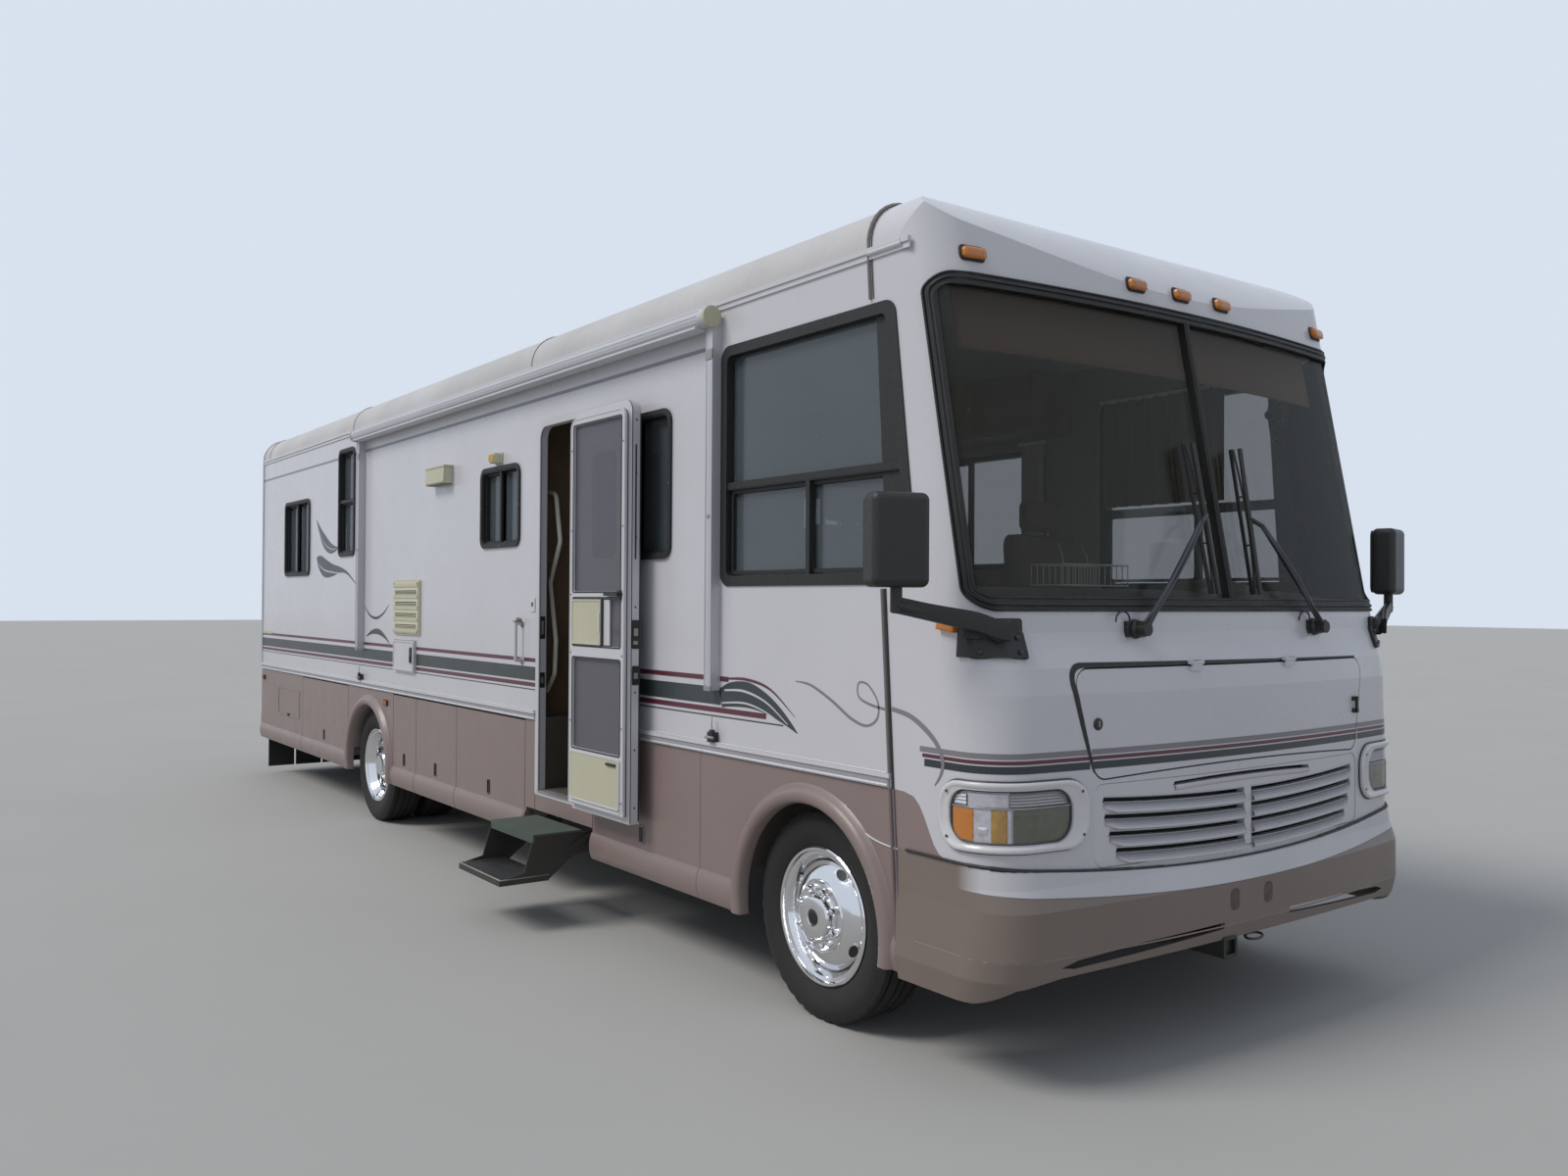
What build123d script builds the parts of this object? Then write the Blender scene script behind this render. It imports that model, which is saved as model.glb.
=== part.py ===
from build123d import *
from math import atan2, cos, degrees, radians, sin, sqrt
import os

# Motorhome, in millimetres. The nose points to -Y, its left side to +X, and the ground is z = 0.
# The origin is on the ground, in the middle of the width and 11 behind the middle of the length.

# Foremost place of the bumper, hindmost place of the rear beam and the body's walls
NOSE_Y = -4932
TAIL_Y = 4910
REAR_WALL_Y = TAIL_Y - 100
HALF_WIDTH = 1270

# Running gear
FRONT_AXLE_Y = -3790
WHEELBASE = 5400
REAR_AXLE_Y = FRONT_AXLE_Y + WHEELBASE
TYRE_RADIUS = 412
TYRE_WIDTH = 245
RIM_RADIUS = 262
FRONT_WHEEL_X = 1100
REAR_OUTER_X = 1105
REAR_INNER_X = REAR_OUTER_X - 290
KINGPIN_X = 930
ARCH_RADIUS = 450
FLARE_RADIUS = 505

# Levels
SKIRT_BOTTOM = 336
ROLL_TOP = 470
DOOR_SILL = 597
LIP_Z = 700
LIP_SIDE_Z = 775
BELT_LOW = 984
BELT_HIGH = 1037
FLOOR_BOTTOM = 930
FLOOR_TOP = 1000
RAIL_BOTTOM = 560
RAIL_TOP = 780
ROOF_EDGE = 2955
ROOF_CROWN = 3205

# Walls
WALL = 40
SKIRT = 25
ROOF_THICKNESS = 60
GAP = 6

# Nose shape: a bowed face between two round corners, as (height, foremost place). It bulges
# forward under the windscreen and slopes back above it.
NOSE_LINE = [
    (300, -4889),
    (1100, -4882),
    (1340, -4875),
    (1430, -4864),
    (1500, -4838),
    (1550, -4822),
    (1600, -4820),
    (3300, -4491.9),
]
BOW_RADIUS = 8300
CORNER_RADIUS = 185
HULL_BOTTOM = 300
HULL_TOP = 3300

# Seam between the moulded nose and the side walls
SEAM_LOW = (-4331, 343)
SEAM_HIGH = (-4150, ROOF_EDGE)
RAIL_START = -4372

# Entry door, hung on the front jamb and standing open against the wall
HINGE_X = -1305
HINGE_Y = -1945
DOOR_FIRST = 20
DOOR_LAST = 610
DOOR_TOP = 2600
DOOR_THICKNESS = 50
DOORWAY = (HINGE_Y + 14, HINGE_Y + DOOR_LAST + 2 * GAP)
STEPWELL = (-1945, -1318)
DOOR_CORNER = 64
HINGE_SLEEVES = (800, 1500, 2300)

# Entry step, a parallelogram of two arms a side
STEP_Y = -1637
STEP_ARM = 300
STEP_PIVOT_A = (-1080, 520)
STEP_PIVOT_B = (-960, 520)
STEP_REST = radians(25)
STEP_HALF = 265
STEP_PORT = (-1957, -1170)

# Luggage doors: name, side, front edge, rear edge
LUGGAGE_DOORS = [
    ("luggage_door_right_1", -1, -1150, -121),
    ("luggage_door_right_2", -1, -121, 612),
    ("luggage_door_right_3", -1, 612, 1078),
    ("luggage_door_right_4", -1, 2125, 3410),
    ("luggage_door_left_1", 1, -1150, -121),
    ("luggage_door_left_2", 1, 2125, 3410),
]
LUGGAGE_DOOR_TOP = 972
LUGGAGE_PIN_X = 1256
LUGGAGE_PIN_Z = 955
LUGGAGE_PIN_RADIUS = 5

# Hinges of the service panel on the nose
HOOD_HINGE_Y = -4870
HOOD_HINGE_Z = 1436
HOOD_HINGES = (-300, 300)

# Mirror heads: middle and turn about the upright
MIRROR = (1540, -4610, 15)

# Jack pads under the frame rails
JACK_PADS = (-2600, 3000)
JACK_PAD_DROP = 12

# Rear number plate: bolt spacing and height of its middle
PLATE_SPACING_X = 177.8
PLATE_SPACING_Z = 120.65
PLATE_Z = 760

# Side windows: front edge, rear edge, sill, head, dividing bar height or None
RIGHT_WINDOWS = [
    (-2735, -2090, 1850, 2543, None),
    (-1060, -500, 1960, 2435, None),
    (1996, 2400, 1985, 2825, 2415),
    (3230, 4010, 1848, 2500, None),
]
LEFT_WINDOWS = [
    (-2750, -1500, 1850, 2543, None),
    (-900, -340, 1960, 2435, None),
    (1996, 2400, 1985, 2825, 2415),
    (3230, 4010, 1848, 2500, None),
]
COCKPIT_WINDOW = [(-3155, 1715), (-3155, 2750), (-4290, 2750), (-4424, 1715)]
REAR_WINDOW = (-600, 600, 1850, 2400)


def yz(sketch, x0, x1):
    """A side-view outline, drawn as (y, z), made solid from x0 to x1."""
    return extrude(Plane.YZ.offset(x0) * sketch, amount=x1 - x0)


def xz(sketch, y0, y1):
    """A front-view outline, drawn as (x, z), made solid from y0 to y1."""
    return extrude(Plane.XZ.offset(-y1) * sketch, amount=y1 - y0)


def xy(sketch, z0, z1):
    """A plan outline, drawn as (x, y), made solid from z0 to z1."""
    return extrude(Plane.XY.offset(z0) * sketch, amount=z1 - z0)


def block(x0, x1, y0, y1, z0, z1):
    """A box between two corners."""
    centre = Pos((x0 + x1) / 2, (y0 + y1) / 2, (z0 + z1) / 2)
    return centre * Box(abs(x1 - x0), abs(y1 - y0), abs(z1 - z0))


def panel(a0, a1, b0, b1, radius=0):
    """A rectangle between two corners, with round corners if a radius is given."""
    place = Pos((a0 + a1) / 2, (b0 + b1) / 2)
    if radius:
        return place * RectangleRounded(abs(a1 - a0), abs(b1 - b0), radius)
    return place * Rectangle(abs(a1 - a0), abs(b1 - b0))


def outline(points):
    """A closed face through points."""
    return make_face(Polyline(*points, close=True))


def round_topped(a0, a1, b0, b1, radius):
    """A rectangle between two corners, with its two upper corners round."""
    face = panel(a0, a1, b0, b1)
    return fillet(face.vertices().group_by(Axis.Y)[-1], radius)


def rod(start, end, radius):
    """A round bar from start to end."""
    path = Vector(*end) - Vector(*start)
    plane = Plane(origin=start, z_dir=path)
    return extrude(plane * Circle(radius), amount=path.length)


def fuse(pieces):
    """One shape from a list of pieces that touch."""
    first, *rest = pieces
    return first.fuse(*rest) if rest else first


def group(pieces):
    """One node from pieces that don't touch."""
    return Compound(children=list(pieces))


def both(shape):
    """A shape and its mirror on the other side of the vehicle."""
    return [shape, mirror(shape, about=Plane.YZ)]


def plan_section(inset, face_y, half_width, z):
    """The body's plan outline at height z, moved in from the outside by inset."""
    cx = half_width - CORNER_RADIUS
    bow_y = face_y + BOW_RADIUS
    corner_y = bow_y - sqrt((BOW_RADIUS - CORNER_RADIUS) ** 2 - cx ** 2)
    bow = BOW_RADIUS - inset
    corner = CORNER_RADIUS - inset
    turn = atan2(bow_y - corner_y, cx)
    half = turn / 2
    side = cx + corner
    meet = (cx + corner * cos(turn), corner_y - corner * sin(turn))
    middle = (cx + corner * cos(half), corner_y - corner * sin(half))
    rear = REAR_WALL_Y - inset
    edges = Curve() + [
        Line((side, rear), (side, corner_y)),
        ThreePointArc((side, corner_y), middle, meet),
        ThreePointArc(meet, (0, bow_y - bow), (-meet[0], meet[1])),
        ThreePointArc((-meet[0], meet[1]), (-middle[0], middle[1]), (-side, corner_y)),
        Line((-side, corner_y), (-side, rear)),
        Line((-side, rear), (side, rear)),
    ]
    return Plane.XY.offset(z) * make_face(edges)


def roof_section(inset):
    """Front view of the body: upright walls, round roof edges and a crowned roof."""
    side = HALF_WIDTH - inset
    crown = ROOF_CROWN - inset
    shoulder = (1110 - inset * 0.6, 3150 - inset * 0.95)
    edge = (1228 - inset * 0.8, 3080 - inset * 0.75)
    edges = Curve() + [
        Line((-side, HULL_BOTTOM), (side, HULL_BOTTOM)),
        Line((side, HULL_BOTTOM), (side, ROOF_EDGE)),
        ThreePointArc((side, ROOF_EDGE), edge, shoulder),
        ThreePointArc(shoulder, (0, crown), (-shoulder[0], shoulder[1])),
        ThreePointArc((-shoulder[0], shoulder[1]), (-edge[0], edge[1]), (-side, ROOF_EDGE)),
        Line((-side, ROOF_EDGE), (-side, HULL_BOTTOM)),
    ]
    return make_face(edges)


def crest_section(inset):
    """Side view of the body: the round crest between the sloping face and the roof."""
    start = (-4571 + inset, 2885 - inset * 0.4)
    middle = (-4432 + inset * 0.7, 3050 - inset * 0.75)
    end = (-3980 + inset * 0.1, ROOF_CROWN - inset)
    front = NOSE_Y - 100
    edges = Curve() + [
        Line((front, HULL_BOTTOM), (front, start[1])),
        Line((front, start[1]), start),
        ThreePointArc(start, middle, end),
        Line(end, (REAR_WALL_Y + 100, end[1])),
        Line((REAR_WALL_Y + 100, end[1]), (REAR_WALL_Y + 100, HULL_BOTTOM)),
        Line((REAR_WALL_Y + 100, HULL_BOTTOM), (front, HULL_BOTTOM)),
    ]
    return make_face(edges)


def hull(inset):
    """The whole body as one solid, moved in from the outside by inset."""
    sections = [plan_section(inset, face_y, HALF_WIDTH, z) for z, face_y in NOSE_LINE]
    solid = loft(sections, ruled=True)
    solid = solid & xz(roof_section(inset), NOSE_Y - 200, TAIL_Y + 200)
    return solid & yz(crest_section(inset), -HALF_WIDTH - 50, HALF_WIDTH + 50)


def seam_y(z):
    """Where the seam between nose and walls runs at height z."""
    share = (z - SEAM_LOW[1]) / (SEAM_HIGH[1] - SEAM_LOW[1])
    return SEAM_LOW[0] + share * (SEAM_HIGH[0] - SEAM_LOW[0])


def ahead_of_seam(z0, z1, reach=2000):
    """The space in front of the seam between two heights."""
    shape = outline([(seam_y(z0), z0), (seam_y(z1), z1), (NOSE_Y - 200, z1), (NOSE_Y - 200, z0)])
    return yz(shape, -reach, reach)


def behind_seam(z0, z1, reach=2000):
    """The space behind the seam between two heights."""
    shape = outline([(seam_y(z0), z0), (seam_y(z1), z1), (TAIL_Y + 200, z1), (TAIL_Y + 200, z0)])
    return yz(shape, -reach, reach)


OUTSIDE = hull(0)
INSIDE = hull(WALL)
UNDER_ROOF = hull(ROOF_THICKNESS)
SHELL = OUTSIDE - INSIDE


def front_prism(x0, x1, z0, z1, radius):
    """A round-cornered front-view opening, run through the nose."""
    return xz(panel(x0, x1, z0, z1, radius), NOSE_Y - 100, -4150)


def lamp_prism(side, x0, y1, z0, z1, radius):
    """A lamp's round-cornered outline, from x0 on the front round the corner to y1 on the side."""
    front = xz(panel(side * x0, side * 1500, z0, z1, radius), NOSE_Y - 100, -4150)
    return front & yz(panel(-5200, y1, z0, z1, radius), -1400, 1400)


def below_lip(drop):
    """The space under the nose's lower edge, which rises from its middle to both sides."""
    middle, end = LIP_Z - drop, LIP_SIDE_Z - drop
    edges = Curve() + [
        ThreePointArc((-HALF_WIDTH, end), (0, middle), (HALF_WIDTH, end)),
        Line((HALF_WIDTH, end), (1400, end)),
        Line((1400, end), (1400, 100)),
        Line((1400, 100), (-1400, 100)),
        Line((-1400, 100), (-1400, end)),
        Line((-1400, end), (-HALF_WIDTH, end)),
    ]
    return xz(make_face(edges), NOSE_Y - 100, -4000)


def side_prism(y0, y1, z0, z1, radius, side):
    """A round-cornered side-view opening, run through the wall on one side."""
    x0, x1 = sorted((side * 1150, side * 1400))
    return yz(panel(y0, y1, z0, z1, radius), x0, x1)


def cockpit_outline(inset, radius):
    """The cockpit window's outline, moved in by inset."""
    (rear, low), (_, high), (front_high, _), (front_low, _) = COCKPIT_WINDOW
    shape = outline([
        (rear - inset, low + inset),
        (rear - inset, high - inset),
        (front_high + inset * 1.1, high - inset),
        (front_low + inset * 1.1, low + inset),
    ])
    return fillet(shape.vertices(), radius)


def cockpit_prism(inset, radius, side):
    """The cockpit window's outline, run through the wall on one side."""
    x0, x1 = sorted((side * 1100, side * 1400))
    return yz(cockpit_outline(inset, radius), x0, x1)


WINDSCREEN = (-1255, 1255, 1625, 2820, 78)
HEAD_LAMP = (942, -4585, 848, 1028, 76)
LAMP_BEZEL = (870, -4536, 822, 1054, 96)
GRILLE = (-835, 835, 738, 1028, 40)
# Service panel: half width and height at the foot and the head, and the foot's rise to its middle
HOOD_FOOT = (830, 1038)
HOOD_HEAD = (926, 1430)
HOOD_RISE = 22


def hood_prism(inset):
    """The service panel's outline, wider at its head and arched along its foot, run through the nose."""
    foot, low = HOOD_FOOT[0] - inset, HOOD_FOOT[1] + inset
    head, high = HOOD_HEAD[0] - inset, HOOD_HEAD[1] - inset
    edges = Curve() + [
        ThreePointArc((-foot, low), (0, low + HOOD_RISE), (foot, low)),
        Line((foot, low), (head, high)),
        Line((head, high), (-head, high)),
        Line((-head, high), (-foot, low)),
    ]
    face = make_face(edges)
    return xz(fillet(face.vertices(), 60 - inset), NOSE_Y - 100, -4150)


def make_front_cap():
    """The moulded nose above the bumper, with its openings cut."""
    cap = (SHELL & ahead_of_seam(600, HULL_TOP)) - below_lip(0)
    cap -= front_prism(*WINDSCREEN)
    cap -= hood_prism(0)
    cap -= front_prism(*GRILLE)
    ring = (hull(-12) - hull(5)) & ahead_of_seam(LIP_Z, 1200)
    for side in (-1, 1):
        cap += ring & lamp_prism(side, *LAMP_BEZEL)
        cap -= lamp_prism(side, *HEAD_LAMP)
        cap -= cockpit_prism(0, 60, side)
    for x in HOOD_HINGES:
        for side in (-1, 1):
            cap += block(x + side * 31.5, x + side * 37.5, HOOD_HINGE_Y - 5, -4846, HOOD_HINGE_Z - 5, HOOD_HINGE_Z + 9)
        cap += rod((x - 34, HOOD_HINGE_Y, HOOD_HINGE_Z), (x + 34, HOOD_HINGE_Y, HOOD_HINGE_Z), 3)
    return cap


def make_head_lamps():
    """Two wrap-round lamp lenses set in the bezels."""
    skin = (hull(2) - hull(55)) & ahead_of_seam(LIP_Z, 1200)
    x0, y1, z0, z1, radius = HEAD_LAMP
    lamp = skin & lamp_prism(1, x0 + 2, y1 - 2, z0 + 2, z1 - 2, radius - 2)
    return group(both(lamp))


# Grille openings: half width, height at the middle, height at the ends and depth
GRILLE_SLOTS = [
    (735, 771, 794, 22),
    (768, 830, 854, 22),
    (790, 889, 915, 22),
    (797, 948, 974, 22),
]
GRILLE_TOP_SLOT = (440, 1012, 1003, 14)


def grille_slot(half, middle, end, tall):
    """One bowed opening across the grille, run through the nose."""
    low, high = -tall / 2, tall / 2
    edges = Curve() + [
        ThreePointArc((-half, end + low), (0, middle + low), (half, end + low)),
        Line((half, end + low), (half - 8, end + high)),
        ThreePointArc((half - 8, end + high), (0, middle + high), (8 - half, end + high)),
        Line((8 - half, end + high), (-half, end + low)),
    ]
    return xz(make_face(edges), NOSE_Y - 100, -4150)


def make_grille():
    """Frame, centre bar and four bowed slats a side under one short slot, all one moulding."""
    x0, x1, z0, z1, radius = GRILLE
    skin = hull(2) - hull(34)
    face = skin & front_prism(x0 + 2, x1 - 2, z0 + 2, z1 - 2, radius)
    bar = block(-22, 22, NOSE_Y - 100, -4000, z0, z1)
    for slot in GRILLE_SLOTS:
        face -= grille_slot(*slot) - bar
    return face - grille_slot(*GRILLE_TOP_SLOT)


def make_hood_panel():
    """The service panel on the nose, hinged along its top edge."""
    skin = hull(0) - hull(30)
    lid = skin & hood_prism(GAP)
    z1 = HOOD_HEAD[1]
    for x in HOOD_HINGES:
        lid += block(x - 30, x + 30, HOOD_HINGE_Y - 4, HOOD_HINGE_Y + 4, z1 - 22, HOOD_HINGE_Z)
        lid += block(x - 30, x + 30, HOOD_HINGE_Y, -4846, z1 - 22, z1 - 10)
        lid += rod((x - 30, HOOD_HINGE_Y, HOOD_HINGE_Z), (x + 30, HOOD_HINGE_Y, HOOD_HINGE_Z), 6)
        lid -= rod((x - 35, HOOD_HINGE_Y, HOOD_HINGE_Z), (x + 35, HOOD_HINGE_Y, HOOD_HINGE_Z), 3.3)
    return lid


def make_gasket_and_frames():
    """Rubber round the windscreen and the frames of all other windows."""
    x0, x1, z0, z1, radius = WINDSCREEN
    rim = (hull(-6) - hull(30)) & ahead_of_seam(1500, 2900)
    ring = rim & front_prism(x0, x1, z0, z1, radius)
    ring -= front_prism(x0 + 23, x1 - 23, z0 + 45, z1 - 45, radius - 30)
    divider = rim & front_prism(-11, 11, z0 + 20, z1 - 20, 2)
    pieces = [fuse([ring, divider])]
    for side, windows in ((-1, RIGHT_WINDOWS), (1, LEFT_WINDOWS)):
        slab = block(side * 1222, side * 1278, -4600, 4600, 1500, 2950)
        for y0, y1, z0, z1, bar in windows:
            frame = slab & side_prism(y0, y1, z0, z1, 60, side)
            frame -= side_prism(y0 + 28, y1 - 28, z0 + 28, z1 - 28, 34, side)
            if bar:
                frame += block(side * 1240, side * 1272, y0 + 20, y1 - 20, bar - 12, bar + 12)
            else:
                middle = (y0 + y1) / 2
                frame += block(side * 1240, side * 1272, middle - 12, middle + 12, z0 + 20, z1 - 20)
            pieces.append(frame)
        cab = (hull(-6) - hull(46)) & block(side * 1000, side * 1300, -4500, -3100, 1600, 2850)
        frame = cab & cockpit_prism(0, 60, side)
        frame -= cockpit_prism(45, 30, side)
        frame += block(side * 1240, side * 1270, -4350, -3180, 2133, 2157)
        frame += block(side * 1240, side * 1270, -3785, -3761, 1740, 2140)
        pieces.append(frame)
    x0, x1, z0, z1 = REAR_WINDOW
    slab = xz(panel(x0, x1, z0, z1, 60), REAR_WALL_Y - 46, REAR_WALL_Y + 8)
    pieces.append(slab - xz(panel(x0 + 28, x1 - 28, z0 + 28, z1 - 28, 34), REAR_WALL_Y - 60, REAR_WALL_Y + 20))
    return group(pieces)


def make_glass():
    """Every pane, each standing in its frame."""
    x0, x1, z0, z1, radius = WINDSCREEN
    pane = (hull(10) - hull(20)) & ahead_of_seam(1500, 2900)
    screen = pane & front_prism(x0 + 25, x1 - 25, z0 + 47, z1 - 47, radius - 32)
    screen -= front_prism(-13, 13, z0, z1, 2)
    pieces = list(screen.solids())
    for side, windows in ((-1, RIGHT_WINDOWS), (1, LEFT_WINDOWS)):
        slab = block(side * 1226, side * 1236, -4600, 4600, 1500, 2950)
        for y0, y1, z0, z1, _ in windows:
            pieces.append(slab & side_prism(y0 + 29, y1 - 29, z0 + 29, z1 - 29, 33, side))
        cab = (hull(34) - hull(42)) & block(side * 1000, side * 1300, -4500, -3100, 1600, 2850)
        pieces.append(cab & cockpit_prism(46, 30, side))
    x0, x1, z0, z1 = REAR_WINDOW
    pieces.append(xz(panel(x0 + 29, x1 - 29, z0 + 29, z1 - 29, 33), REAR_WALL_Y - 40, REAR_WALL_Y - 30))
    return group(pieces)


def make_wall(side):
    """A laminated side wall between belt and roof edge, with its windows and doorway cut."""
    reach = block(side * 1200, side * 1300, NOSE_Y, REAR_WALL_Y - WALL, BELT_LOW, ROOF_EDGE)
    wall = SHELL & behind_seam(BELT_LOW, ROOF_EDGE) & reach
    windows = RIGHT_WINDOWS if side < 0 else LEFT_WINDOWS
    for y0, y1, z0, z1, _ in windows:
        wall -= side_prism(y0, y1, z0, z1, 60, side)
    wall -= cockpit_prism(0, 60, side)
    if side < 0:
        cut = round_topped(DOORWAY[0] - 40, DOORWAY[1] + 40, 500, DOOR_TOP + GAP + 40, DOOR_CORNER + 46)
        wall -= yz(cut, -1400, -1150)
    return wall


def make_roof():
    """The crowned roof behind the nose, round over both edges."""
    skin = OUTSIDE - UNDER_ROOF
    reach = block(-1400, 1400, NOSE_Y, REAR_WALL_Y - WALL, ROOF_EDGE, HULL_TOP)
    return skin & behind_seam(ROOF_EDGE, HULL_TOP) & reach


def make_rear_wall():
    """The flat rear wall, from belt to roof."""
    wall = OUTSIDE & block(-1400, 1400, REAR_WALL_Y - WALL, REAR_WALL_Y, BELT_LOW, HULL_TOP)
    x0, x1, z0, z1 = REAR_WINDOW
    return wall - xz(panel(x0, x1, z0, z1, 60), REAR_WALL_Y - 100, REAR_WALL_Y + 100)


def skirt_section(side, top, thick_top):
    """Front view of the skirt: a flat sheet with a rolled moulding along its foot."""
    outer = HALF_WIDTH
    inner = HALF_WIDTH - SKIRT
    bulge = HALF_WIDTH + 20
    points = [(inner, SKIRT_BOTTOM + 4), (inner, 930), (thick_top, 930), (thick_top, top), (outer, top)]
    edges = [Line(a, b) for a, b in zip(points, points[1:]) if a != b]
    edges += [
        Line((outer, top), (outer, ROLL_TOP)),
        Line((outer, ROLL_TOP), (outer + 6, ROLL_TOP - 3)),
        ThreePointArc((outer + 6, ROLL_TOP - 3), (bulge, (ROLL_TOP + SKIRT_BOTTOM) / 2), (outer + 4, SKIRT_BOTTOM)),
        Line((outer + 4, SKIRT_BOTTOM), (inner, SKIRT_BOTTOM + 4)),
    ]
    face = make_face(Curve() + edges)
    return face if side > 0 else mirror(face, about=Plane.YZ)


def skirt_run(side, y0, y1, top=980, thick_top=HALF_WIDTH - WALL):
    """A length of skirt on one side."""
    return xz(skirt_section(side, top, thick_top), y0, y1)


def arch_cut(side, centre_y, radius):
    """The round hole of a wheel arch."""
    x0, x1 = sorted((side * 1100, side * 1400))
    return yz(Pos(centre_y, TYRE_RADIUS) * Circle(radius), x0, x1)


def flare(side, centre_y):
    """The raised lip round a wheel arch."""
    x0, x1 = sorted((side * (HALF_WIDTH - SKIRT), side * (HALF_WIDTH + 28)))
    ring = yz(Pos(centre_y, TYRE_RADIUS) * (Circle(FLARE_RADIUS) - Circle(ARCH_RADIUS)), x0, x1)
    rims = ring.edges().filter_by(GeomType.CIRCLE).group_by(Axis.X)[0 if side < 0 else -1]
    ring = fillet(rims, 16)
    return ring & block(-1400, 1400, centre_y - 700, centre_y + 700, SKIRT_BOTTOM, 1000)


def make_skirt(side):
    """The fixed skirt panels of one side, with both wheel arches."""
    half = GAP / 2
    front = skirt_run(side, SEAM_LOW[0], -3000)
    front &= behind_seam(300, 1000)
    front = front - arch_cut(side, FRONT_AXLE_Y, ARCH_RADIUS) + flare(side, FRONT_AXLE_Y)
    pieces = [front]
    doors = [(y0, y1) for _, s, y0, y1 in LUGGAGE_DOORS if s == side]
    first_door = doors[0][0]
    if side > 0:
        pieces.append(skirt_run(side, -3000 + half, first_door - half))
    else:
        door_front, door_rear = DOORWAY[0] - 40, DOORWAY[1] + 40
        pieces.append(skirt_run(side, -3000 + half, door_front - half))
        valance = skirt_run(side, door_front + half, door_rear - half)
        pieces.append(valance & block(-1400, -1150, door_front, door_rear, 490, DOOR_SILL - 10))
        corner = skirt_run(side, door_rear + half, first_door - half)
        pieces.append(corner - block(-1400, -1150, door_rear, STEP_PORT[1], 300, 490))
    last_front_door = max(y1 for y0, y1 in doors if y1 < REAR_AXLE_Y)
    arch = skirt_run(side, last_front_door + half, 2125 - half)
    arch = arch - arch_cut(side, REAR_AXLE_Y, ARCH_RADIUS) + flare(side, REAR_AXLE_Y)
    pieces.append(arch)
    pieces.append(skirt_run(side, 3410 + half, REAR_WALL_Y))
    return group(pieces)


def make_luggage_door(side, y0, y1):
    """A top-hung skirt door, as thick as the skirt, with a latch recess and a pivot pin at each end."""
    door = skirt_run(side, y0 + GAP / 2, y1 - GAP / 2, LUGGAGE_DOOR_TOP, HALF_WIDTH - SKIRT)
    middle = (y0 + y1) / 2
    latch = side_prism(middle - 16, middle + 16, 500, 570, 5, side)
    x, z = side * LUGGAGE_PIN_X, LUGGAGE_PIN_Z
    door += rod((x, y0 + 1, z), (x, y1 - 1, z), LUGGAGE_PIN_RADIUS)
    return door - (latch & block(side * 1264, side * 1400, y0, y1, 400, 700))


def make_bumper():
    """The moulded bumper that wraps the nose below its arched lip, with a bowed slot each side."""
    # Height, nose and half width of each section
    sections = [
        (800, -4889, 1270),
        (700, -4906, 1271),
        (628, -4932, 1273),
        (470, -4930, 1284),
        (400, -4912, 1290),
        (300, -4865, 1276),
    ]
    thick = 16
    solid = loft([plan_section(0, nose, half, z) for z, nose, half in reversed(sections)], ruled=True)
    hollow = loft([plan_section(thick, nose, half, z) for z, nose, half in reversed(sections)], ruled=True)
    skin = solid - (hollow & below_lip(14))
    skin -= hull(WALL) & block(-1400, 1400, NOSE_Y - 100, TAIL_Y, 500, 800)
    skin = skin & ahead_of_seam(300, 800) & below_lip(0)
    lower = Curve() + [
        Line((-1400, 200), (1400, 200)),
        Line((1400, 200), (1400, 308)),
        Line((1400, 308), (1262, 318)),
        Line((1262, 318), (1180, 372)),
        Line((1180, 372), (1000, 396)),
        ThreePointArc((1000, 396), (0, 415), (-1000, 396)),
        Line((-1000, 396), (-1180, 372)),
        Line((-1180, 372), (-1262, 318)),
        Line((-1262, 318), (-1400, 308)),
        Line((-1400, 308), (-1400, 200)),
    ]
    skin -= xz(make_face(lower), NOSE_Y - 100, -4000)
    for side in (-1, 1):
        points = [(210, 458), (960, 423), (1018, 433), (950, 452), (640, 474), (210, 482)]
        skin -= xz(outline([(side * x, z) for x, z in points]), NOSE_Y - 100, -4500)
    return skin


def make_tyre(x_centre):
    """One tyre, its sides leaning out to the bulge and back in to the tread, its axis along X."""
    half = TYRE_WIDTH / 2
    bead = RIM_RADIUS - 12
    side_wall = [(half - 38, bead), (half, bead + 92), (half - 20, TYRE_RADIUS)]
    mirrored = [(-x, radius) for x, radius in reversed(side_wall)]
    return Pos(x_centre, 0, 0) * revolve(Plane.XY * outline(side_wall + mirrored), Axis.X)


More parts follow.
